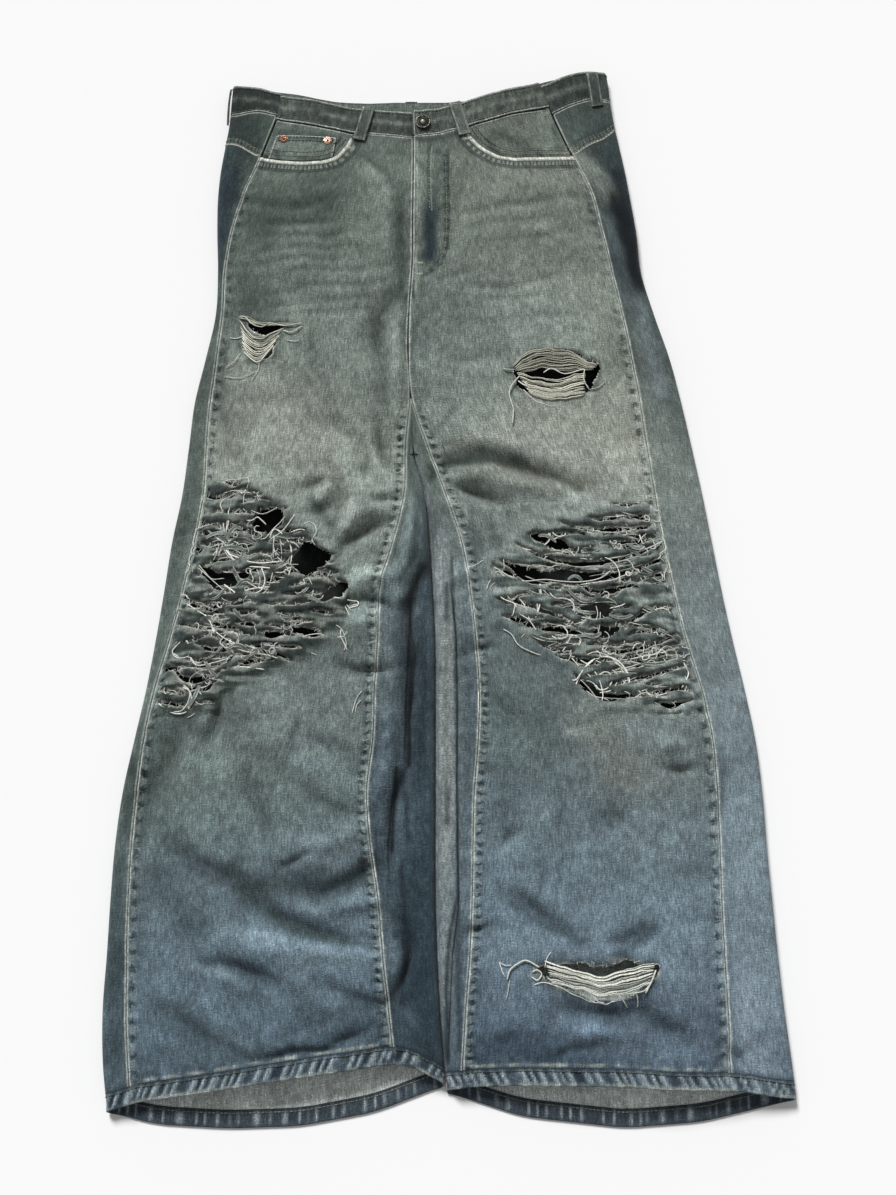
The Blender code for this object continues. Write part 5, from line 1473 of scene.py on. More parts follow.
def front_panel(side, material):
    columns = front_columns(side)
    low = HEM_Y + HEM_WIDTH
    rows = spread((low, low + 0.012, 0.0015), (low + 0.012, PANEL_TOP_Y - 0.012, 0.0026),
                  (PANEL_TOP_Y - 0.012, PANEL_TOP_Y, 0.0015))
    s, y = shifted(side, columns, rows, front_knots)
    points = opened(path(side, s, y), 0.5 * SEAM_GAP)
    keep = np.ones((len(columns) - 1, len(rows) - 1), bool)
    for area in AREAS.values():
        if area.side == side:
            inside = (s > area.part0) & (s < area.part1) & (y > area.y0) & (y < area.y1)
            keep &= ~(inside[:-1, :-1] & inside[1:, :-1] & inside[1:, 1:] & inside[:-1, 1:])
    colour = top_dye_and_shade(side, s, y, points, True)
    colour = edge_wear(colour, y, points)
    marks = front_marks(side, y, points[..., 0])
    return wall("front_panel_" + side, side, points, colour, inside_dye_and_shade(y, points[..., 0]),
                material, keep, marks=marks)


def edge_wear(colour, y, points):
    """The worn line above the hem and the bunching over it."""
    low = y - y[:, :1]
    x = points[..., 0]
    bunch = pucker_wave(x + 0.4 * low, 0.0105, 4.0) * peak(low, 0.006, 0.005)
    colour = mix(colour, INDIGO, 0.45 * bunch)
    colour = mix(colour, INDIGO, 0.6 * peak(low, 0, 0.0014))
    ragged = patchy(0.5, 0.8, x, y, 0.004, 51)
    return mix(colour, PALE, 0.55 * ragged * peak(low, 0.0024, 0.0013))


def back_columns():
    """Places round the back: fine on what shows on top, coarse under the leg."""
    outer = 0.045
    inner = 0.060
    start = OUTER_TOP + np.array(SEAM_STEPS) / outer
    start = start[start < OUTER_ROLL - 0.05]
    end = PATH_END - np.array(SEAM_STEPS)[::-1] / inner
    return np.unique(np.concatenate([
        start, spread((start[-1], OUTER_ROLL, 0.07)), spread((OUTER_ROLL, UNDER, 0.11)),
        spread((UNDER, INNER_ROLL, 0.055)), spread((INNER_ROLL, INNER_TOP, 0.125)),
        spread((INNER_TOP, end[0], 0.030)), end]))


def back_panel(side, material):
    """Runs from the outseam round under the leg. Above the fork it ends at the seat seam, and
    above its strip beside the inseam it has no inner top."""
    places = back_columns()
    rows = spread((HEM_Y + HEM_WIDTH, FORK_Y, 0.0043), (FORK_Y, FORK_Y + FORK_RUN, FORK_RUN),
                  (FORK_Y + FORK_RUN, WRAP_TOP_Y, 0.0043),
                  (WRAP_TOP_Y, PANEL_TOP_Y, 0.0043))
    s, y = shifted(side, places, rows, back_knots)
    points = opened(path(side, s, y), 0.5 * SEAM_GAP)
    fork_row = int(np.argmin(abs(rows - FORK_Y)))
    wrap_row = int(np.argmin(abs(rows - WRAP_TOP_Y)))
    fork_column = int(np.argmin(abs(places - (INNER_ROLL + 0.5))))
    inner_column = int(np.argmin(abs(places - INNER_TOP)))
    cell = np.arange(len(places) - 1)[:, None]
    last = np.where(cell >= inner_column, wrap_row, np.where(cell >= fork_column, fork_row, 10 ** 6))
    keep = np.arange(len(rows) - 1)[None, :] < last
    points[fork_column, fork_row:, 0] += 0.5 * SEAM_GAP * SIGN[side]
    colour = top_dye_and_shade(side, s, y, points, False)
    low = y - y[:, :1]
    colour = mix(colour, INDIGO, 0.6 * peak(low, 0, 0.0014))
    marks = back_marks(side, s, y, points)
    return wall("back_panel_" + side, side, points, colour, inside_dye_and_shade(y, points[..., 0]),
                material, keep, marks=marks)


FOLD_LINES = {            # folds pressed hard beside the inseams, as seen from above
    "left": [
        [(-0.0399, -0.224), (-0.0395, -0.164), (-0.0370, -0.105), (-0.0346, -0.049)],
        [(-0.0528, -0.333), (-0.0550, -0.301), (-0.0526, -0.269), (-0.0483, -0.231)],
    ],
    "right": [
        [(0.0018, -0.494), (0.0063, -0.399), (0.0119, -0.356), (0.0103, -0.250), (0.0114, -0.164),
         (0.0096, -0.090), (0.0038, -0.040)],
    ],
}


def fold_marks(side, s, x, y):
    """For the material: signed distance to the nearest pressed fold, and how deep it is."""
    gap = np.ones(x.shape)
    depth = np.zeros(x.shape)
    for line in FOLD_LINES[side]:
        line_x, line_y = np.array(line).T
        beside = x - np.interp(y, line_y, line_x)
        inside = np.minimum(y - line_y[0], line_y[-1] - y)
        near = (inside > -0.02) & (s > INNER_ROLL + 0.5) & (abs(beside) < abs(gap))
        gap = np.where(near, beside, gap)
        depth = np.where(near, ease(-0.02, 0.03, inside), depth)
    return np.stack([gap, depth, 0 * gap], axis=-1)


def back_marks(side, s, y, points):
    """What the material reads on a back piece: the seams and folds that are seen from above."""
    seam = seam_marks(side, SIGN[side] * points[..., 0], y, 0.0)
    seam[(s > OUTER_ROLL + 0.5) & (s < INNER_ROLL + 0.5), 0] = 1.0
    return {"seam": seam, "fold": fold_marks(side, s, points[..., 0], y)}


def yoke(side, material):
    places = back_columns()
    places = places[places <= INNER_ROLL + 0.5]
    rows = spread((PANEL_TOP_Y, BAND_Y, 0.0030))
    s, y = shifted(side, places, rows, back_knots)
    points = opened(path(side, s, y), 0.5 * SEAM_GAP)
    colour = top_dye_and_shade(side, s, y, points, False)
    low = y - y[:, :1]
    top = y[:, -1:] - y
    marks = back_marks(side, s, y, points)
    marks["seam"][..., 0] = np.minimum(marks["seam"][..., 0], np.minimum(low, top))
    along_seam = np.cumsum(np.linalg.norm(np.diff(points, axis=0, prepend=points[:1]), axis=-1),
                           axis=0)
    marks["edge"] = np.stack(
        [low + 0.0015, np.full_like(low, 0.55), along_seam / POCKET_PITCH], axis=-1)
    return wall("yoke_piece_" + side, side, points, colour, inside_dye_and_shade(y, points[..., 0]),
                material, marks=marks)


ROPE_PITCH = 0.0102       # slanting stripes where the hem's two layers have crept
ROPE_SEED = 5.0
INNER_ROPE_PITCH = 1.15 * ROPE_PITCH
INNER_ROPE_SEED = 3.0
ROPE_DEPTH = 0.0011       # how deep the hollows between the stripes are
ROPE_SLANT = 0.55
HEM_COLUMN = 0.0064       # step round the hem on its long stretches, as a share of each
ROPE_PALE = "#a9b7ba"     # the tops of the stripes, rubbed but still bluish
ROPE_DARK = "#15212b"     # the hollows between them
HEM_SHADE = "#33414c"     # a hem has kept more dye than its panel
HEM_INSIDE = "#192938"    # and most of all inside


def hem_profile():
    """The hem's section, down its outside, round the fold and up its inside: height above the
    fold, and distance out from the middle of the cloth."""
    profile = []
    half = 0.5 * CLOTH
    depth = 0.5 * HEM_CLOTH
    for t in spread((0, 1, 0.10)):
        profile.append((HEM_WIDTH - 0.5 * SEAM_GAP - (HEM_WIDTH - depth) * t, half))
    for turn in np.linspace(0, math.pi, 7)[1:-1]:
        profile.append((depth - depth * math.sin(turn), half - depth + depth * math.cos(turn)))
    for t in spread((0, 1, 0.14)):
        profile.append((depth + (HEM_WIDTH - 0.5 * SEAM_GAP - depth) * t, half - HEM_CLOTH))
    return profile


def hem_dye(side, around, y, points, up, length, wave, swell, outside):
    """Dye of one ring of the hem: slanting stripes outside, upright ones on its dark inside."""
    even = np.ones(wave.shape)
    base = top_dye_and_shade(side, around, y, points, False)
    front = (around <= OUTER_TOP)[:, None]
    base = np.where(front, top_dye_and_shade(side, around, y, points, True), base)
    base = mix(base, HEM_SHADE, 0.55 * even)
    colour = mix(base, ROPE_DARK, 0.80 * wave * swell)
    colour = mix(colour, ROPE_PALE, 0.26 * (1 - wave) ** 3 * swell)
    ridge = pucker_lines(length + ROPE_SLANT * up, ROPE_PITCH, ROPE_SEED)
    colour = mix(colour, ROPE_PALE, 0.60 * ridge * swell)
    worn = math.exp(-((up - 0.0006) / 0.0022) ** 2) * outside
    dots = patchy(0.6, 0.9, length, length * 0, 0.006, 61)
    colour = mix(colour, PALE, 0.6 * worn * dots)
    by_seam = 0.6 * math.exp(-((HEM_WIDTH - up) / 0.0013) ** 2)
    colour = mix(colour, INDIGO, by_seam * even)
    inner = mix(inside_dye_and_shade(y, points[:, 0]), HEM_INSIDE, 0.95 * even)
    ridge = pucker_lines(length, INNER_ROPE_PITCH, INNER_ROPE_SEED)
    inner = mix(inner, ROPE_PALE, 0.62 * ridge * swell)
    return colour * outside[:, None] + inner * (1 - outside[:, None])


def hem(side, material):
    """The turned hem: a closed ring with a rounded fold, roped by its stitching."""
    around = np.concatenate([
        spread((FRONT, OUTER_TOP, HEM_COLUMN)), OUTER_TOP + spread((0, 1, 0.06))[1:],
        OUTER_ROLL + spread((0, 1, 0.12))[1:], UNDER + spread((0, 1, HEM_COLUMN))[1:],
        INNER_ROLL + spread((0, 1, 0.2))[1:], INNER_TOP + spread((0, 1, 0.05))[1:-1]])
    shift = hem_shift(side, around)
    edge = path(side, around, HEM_Y + shift)
    length = np.cumsum(np.linalg.norm(np.diff(edge, axis=0, prepend=edge[:1]), axis=-1))
    rings = []
    dyes = []
    for up, reach in hem_profile():
        y = HEM_Y + shift + up
        middle = path(side, around, y)
        slope = path(side, around, y + 0.001) - path(side, around, y - 0.001)
        run = np.roll(middle, -1, axis=0) - np.roll(middle, 1, axis=0)
        normal = unit(np.cross(run, slope) * SIGN[side])
        wave = pucker_wave(length + ROPE_SLANT * up, ROPE_PITCH, ROPE_SEED)
        swell = math.exp(-((up - 0.5 * HEM_WIDTH) / (0.36 * HEM_WIDTH)) ** 4)
        outside = ease(0.5 * CLOTH - HEM_CLOTH, 0.5 * CLOTH, np.full(wave.shape, reach))
        points = middle + (reach - ROPE_DEPTH * wave * swell * outside)[:, None] * normal
        rings.append(points)
        dyes.append(hem_dye(side, around, y, points, up, length, wave, swell, outside))
    points = np.stack(rings, axis=1)
    colour = np.stack(dyes, axis=1)
    columns, count = points.shape[:2]
    index = np.arange(columns * count).reshape(columns, count)
    following = np.roll(index, -1, axis=0)
    onward = np.roll(index, -1, axis=1)
    diagonal = np.roll(following, -1, axis=1)
    faces = np.stack([index, following, diagonal, onward], axis=-1).reshape(-1, 4)
    if side == "right":
        faces = faces[:, ::-1]
    return mesh_piece("hem_fold_" + side, points.reshape(-1, 3), faces, colour.reshape(-1, 3),
                      cloth_uv(points).reshape(-1, 2), material)


# ---------------------------------------------------------------- waistband, loops, pockets

FRONT_LOOPS = {"left": (0.345, -0.006), "right": (0.325, 0.005)}    # place across, and lean
SIDE_LOOPS = {"left": (2.42, 0.6 * LOOP_WIDTH), "right": (1.84, LOOP_WIDTH)}
LOOP_OVERHANG = 0.009
BAND_SHADE = {"left": 0.52, "right": 0.66}    # the waistband is darker than the panels
FACING_DROP = CLOTH + SEAM_GAP
FACING_TUCK = 0.006
COIN_PARTS = (0.52, 0.945)
COIN_TOP_Y = (0.4530, 0.4590)
COIN_CLEAR = 0.0012
RIVET_PARTS = (0.575, 0.880)
RIVET_DROP = 0.0050
BUTTON_PART = 0.070
BUTTON_RISE = 0.0150


def band_finish(points, normals, colour, rise):
    """Rolls the long edges of the waistband down, sinks its stitching, paints shade into its bunches, and
    wears it.
    """
    x = points[..., 0]
    low = rise
    top = BAND_WIDTH - rise
    edge = np.minimum(low, top)
    lift = 0.0004 * noise(x, 0.6 * points[..., 1], 0.009, 71)
    lift = lift - 0.0006 * peak(edge, 0, 0.0011)
    lift = lift - 0.0003 * peak(edge, 0.0034, 0.0009)
    points = points + lift[..., None] * normals
    bunch = pucker_wave(x, 0.0085, 3.0)
    upper = pucker_wave(x + 0.004, 0.0098, 5.0)
    # painted shade in the hollows of the waistband's bunches
    colour = mix(colour, SHADOW_BLACK, 0.62 * bunch * peak(low, 0.0095, 0.0058))
    colour = mix(colour, SHADOW_BLACK, 0.55 * upper * peak(low, 0.0235, 0.0052))
    worn = peak(low, 0.0165, 0.0030)
    rubbed = patchy(0.5, 0.8, x, points[..., 1], 0.006, 72)
    colour = mix(colour, "#7d867c", 0.5 * rubbed * worn)
    return points, colour


def front_band(side, material):
    width = 0.16 if side == "left" else 0.17
    parts = spread((0, 1, 0.0024 / width))
    rises = spread((0, 0.004, 0.0008), (0.004, BAND_WIDTH - 0.004, 0.0024),
                   (BAND_WIDTH - 0.004, BAND_WIDTH, 0.0008))
    s, rise = np.meshgrid(parts, rises, indexing="ij")
    low = band_line(side, parts)
    y = low[:, None] + rise
    points = opened(path(side, s, y), SEAM_GAP)
    colour = top_dye_and_shade(side, s, y, points, True) * BAND_SHADE[side]
    points, colour = band_finish(points, grid_normals(points, side), colour, rise)
    marks = band_marks(rise)
    if side == "right":
        marks["seam"][..., 0] = np.minimum(marks["seam"][..., 0], s * width)
    return wall("front_band_" + side, side, points, colour, inside_dye_and_shade(y, points[..., 0]),
                material, inside=BAND_CLOTH - 0.5 * CLOTH, marks=marks)


def band_marks(rise):
    """What the material reads on the waistband: the seam below it and its folded top."""
    gap = np.minimum(rise, BAND_WIDTH - rise)
    return {"seam": plain_seam(gap)}


def back_band(material):
    """One strip from outseam to outseam, round both edges and under the back."""
    places = np.unique(np.concatenate([
        spread((OUTER_TOP, OUTER_ROLL, 0.05)), spread((OUTER_ROLL, UNDER, 0.09)),
        spread((UNDER, INNER_ROLL, 0.016))]))
    rises = spread((0, 0.004, 0.0010), (0.004, BAND_WIDTH - 0.004, 0.0028),
                   (BAND_WIDTH - 0.004, BAND_WIDTH, 0.0010))
    halves = []
    s, rise = np.meshgrid(places, rises, indexing="ij")
    for side in SIDES:
        y = BAND_Y + rise
        y = y + row_shift(y, back_knots(side, s))
        points = path(side, s, y)
        colour = top_dye_and_shade(side, s, y, points, False) * BAND_SHADE[side]
        normals = grid_normals(points, side)
        points, colour = band_finish(points, normals, colour, rise)
        halves.append((points, normals, colour))
    left, right = halves
    points, normals, colour = (
        np.concatenate([a, b[::-1]]) for a, b in zip(left, right))
    points = opened(points, 0.5 * SEAM_GAP)
    inside = mix(colour, "#6b766c", np.full(colour.shape[:2], 0.7))
    marks = band_marks(np.concatenate([rise, rise[::-1]]))
    return wall("back_band", "left", points, colour, inside, material,
                inside=BAND_CLOTH - 0.5 * CLOTH, normals=normals, marks=marks)


def strap(name, centre, normals, width, colour, material):
    """A felled strip of cloth along a line of points, with rubbed and slightly raised edges."""
    run = np.gradient(centre, axis=0)
    across = np.cross(run, normals)
    across = unit(across)
    places = np.linspace(-0.5, 0.5, 11)
    edge = 0.5 - abs(places)
    lift = 0.00035 * peak(edge, 0.13, 0.09) - 0.0004 * peak(edge, 0, 0.03)
    points = centre + places[:, None, None] * width * across + lift[:, None, None] * normals
    both = np.broadcast_to(normals, points.shape)
    colours = np.broadcast_to(colour, points.shape)
    wear = 0.42 * peak(edge, 0.08, 0.07)
    uneven = patchy(0.7, 0.5, points[..., 0], points[..., 1], 0.004, 73)
    colours = mix(colours, PALE, wear[:, None] * uneven)
    ends = np.minimum(np.arange(len(centre)), np.arange(len(centre))[::-1])
    colours = mix(colours, PALE, 0.3 * peak(ends, 0, 1.4) * uneven)
    # the loop's underside is painted dark as shade
    under = colours * 0.4
    return wall(name, "right", points, colours, under, material, normals=both,
                outside=0.5 * TRIM_CLOTH, inside=0.5 * TRIM_CLOTH)


def belt_loops(material):
    clear = 0.5 * CLOTH + 2 * SEAM_GAP + 0.0003
    t = np.linspace(0, 1, 27)
    made = []
    places = [("front", side, *loop, LOOP_WIDTH) for side, loop in FRONT_LOOPS.items()]
    places += [("side", side, place, 0.0, width) for side, (place, width) in SIDE_LOOPS.items()]
    for kind, side, place, lean, width in places:
        if kind == "front":
            low = float(straight(FRONT_BANDS[side], "part", "y", place))
        else:
            low = float(along(BACK_BAND, "part", "y", back_place(side, np.array(place))))
        y = low + BAND_WIDTH - (BAND_WIDTH + LOOP_OVERHANG) * t
        s = np.full_like(y, place)
        line = path(side, s, y)
        normals = path_normal(side, s, y)
        reach = clear + 0.5 * TRIM_CLOTH + LOOP_ARCH * np.sin(math.pi * t) ** 0.6
        line = line + reach[:, None] * normals
        line[:, 0] += lean * (t - 0.5)
        colour = top_dye_and_shade(side, s, y, line, kind == "front") * BAND_SHADE[side] * 1.15
        made.append(strap(f"loop_{kind}_{side}", line, normals, width, colour, material))
    centre = SIGN["left"] * float(inner_line("left", BAND_Y))
    low = BACK_BAND[4].y
    y = low + BAND_WIDTH - (BAND_WIDTH + LOOP_OVERHANG) * t
    line = np.stack([np.full_like(y, centre), y, np.full_like(y, 0.5 * TRIM_CLOTH)], axis=-1)
    down = np.tile([0.0, 0.0, -1.0], (len(t), 1))
    colour = np.tile(linear(UNDERSIDE), (len(t), 1))
    made.append(strap("loop_centre_back", line, down, LOOP_WIDTH, colour, material))
    return made


def pocket_facing(side, material):
    """The cloth that shows inside a pocket's opening, tucked under the opening's edge."""
    corner = POCKET_CORNER[side]
    parts = np.concatenate([spread((corner - 0.03, corner, 0.015)), spread((corner, 1, 0.012))[1:]])
    low = opening_line(side, parts) - FACING_TUCK
    inner = parts <= corner + 0.03
    low[inner] = np.minimum(low[inner], low[~inner][0])
    high = band_line(side, parts) - 0.5 * SEAM_GAP
    s, t = np.meshgrid(parts, np.linspace(0, 1, 30), indexing="ij")
    y = low[:, None] + (high - low)[:, None] * t
    points = path(side, s, y)
    normals = grid_normals(points, side)
    points = points - FACING_DROP * normals
    points[-1, :, 0] -= SIGN[side] * 2 * SEAM_GAP
    colour = top_dye_and_shade(side, s, y, points, True)
    above = y - (low[:, None] + FACING_TUCK)
    # painted shade on the facing, just under the opening's edge
    colour = mix(colour, SHADOW_BLACK, 0.85 * peak(above, -0.001, 0.0034))
    return wall("facing_" + side, side, points, colour, inside_dye_and_shade(y, points[..., 0]), material,
                marks={"seam": plain_seam(high[:, None] - y)})


def coin_grid(s, t):
    low = opening_line("left", s) + COIN_CLEAR
    return low + (np.interp(s, COIN_PARTS, COIN_TOP_Y) - low) * t


def coin_pocket(material):
    """A small patch on the left facing, with its foot inside the main pocket."""
    s, t = np.meshgrid(np.linspace(*COIN_PARTS, 38), np.linspace(0, 1, 20), indexing="ij")
    y = coin_grid(s, t)
    points = path("left", s, y)
    top = coin_grid(s, 1.0) - y
    sides = np.minimum(s - COIN_PARTS[0], COIN_PARTS[1] - s) * 0.15
    points[..., 2] += 0.0004 * peak(top, 0.003, 0.003)
    points[..., 2] -= 0.0004 * peak(np.minimum(top, sides), 0, 0.0008)
    colour = top_dye_and_shade("left", s, y, points, True)
    uneven = patchy(0.7, 0.6, points[..., 0], y, 0.004, 74)
    rub = peak(top, 0.0010, 0.0010) + 0.7 * peak(sides, 0.0008, 0.001)
    colour = mix(colour, PALE, 0.35 * rub * uneven)
    colour = mix(colour, INDIGO, 0.5 * peak(top, 0.0040, 0.0013))
    # its inside, against the facing, is painted dark as shade
    return wall("coin_patch", "left", points, colour, 0.4 * colour, material,
                marks={"seam": plain_seam(np.minimum(top, sides + 0.0004))})


BackPocket = namedtuple("BackPocket", "x top_y half_top half_foot side_height point_height")
BACK_POCKETS = {
    "left": BackPocket(-0.150, 0.388, 0.072, 0.060, 0.125, 0.152),
    "right": BackPocket(0.082, 0.388, 0.072, 0.060, 0.125, 0.152),
}


def back_pocket(side, material):
    """A five-sided patch flat under the seat, which rests on it."""
    p = BACK_POCKETS[side]
    u, t = np.meshgrid(np.linspace(-1, 1, 41), np.linspace(0, 1, 41), indexing="ij")
    foot = p.top_y - p.point_height + (p.point_height - p.side_height) * abs(u)
    y = foot + (p.top_y - foot) * t
    half = p.half_foot + (p.half_top - p.half_foot) * ease(0, 1, t)
    x = p.x + u * half
    points = np.stack([x, y, np.full(x.shape, 0.5 * TRIM_CLOTH)], axis=-1)
    down = np.broadcast_to([0.0, 0.0, -1.0], points.shape)
    colour = mottled(np.broadcast_to(linear("#46545c"), points.shape), x, y)
    edge = np.minimum((1 - abs(u)) * half, np.minimum(p.top_y - y, y - foot))
    colour = mix(colour, PALE, 0.5 * peak(edge, 0.001, 0.001))
    colour = mix(colour, INDIGO, 0.4 * peak(edge, 0.005, 0.0015))
    # its inside, under the seat, is painted dark as shade
    return wall("seat_patch_" + side, "left", points, colour, 0.4 * colour, material,
                normals=down, outside=0.5 * TRIM_CLOTH, inside=0.5 * TRIM_CLOTH)


# ---------------------------------------------------------------- threads and stitches

Family = namedtuple("Family", "area count radius shades first last")

THICK = 0.00070           # tufts of several twisted yarns
MAIN = 0.00055            # a yarn of the broken weft
THIN = 0.00040            # a single ply
HAIR = 0.00020            # fuzz

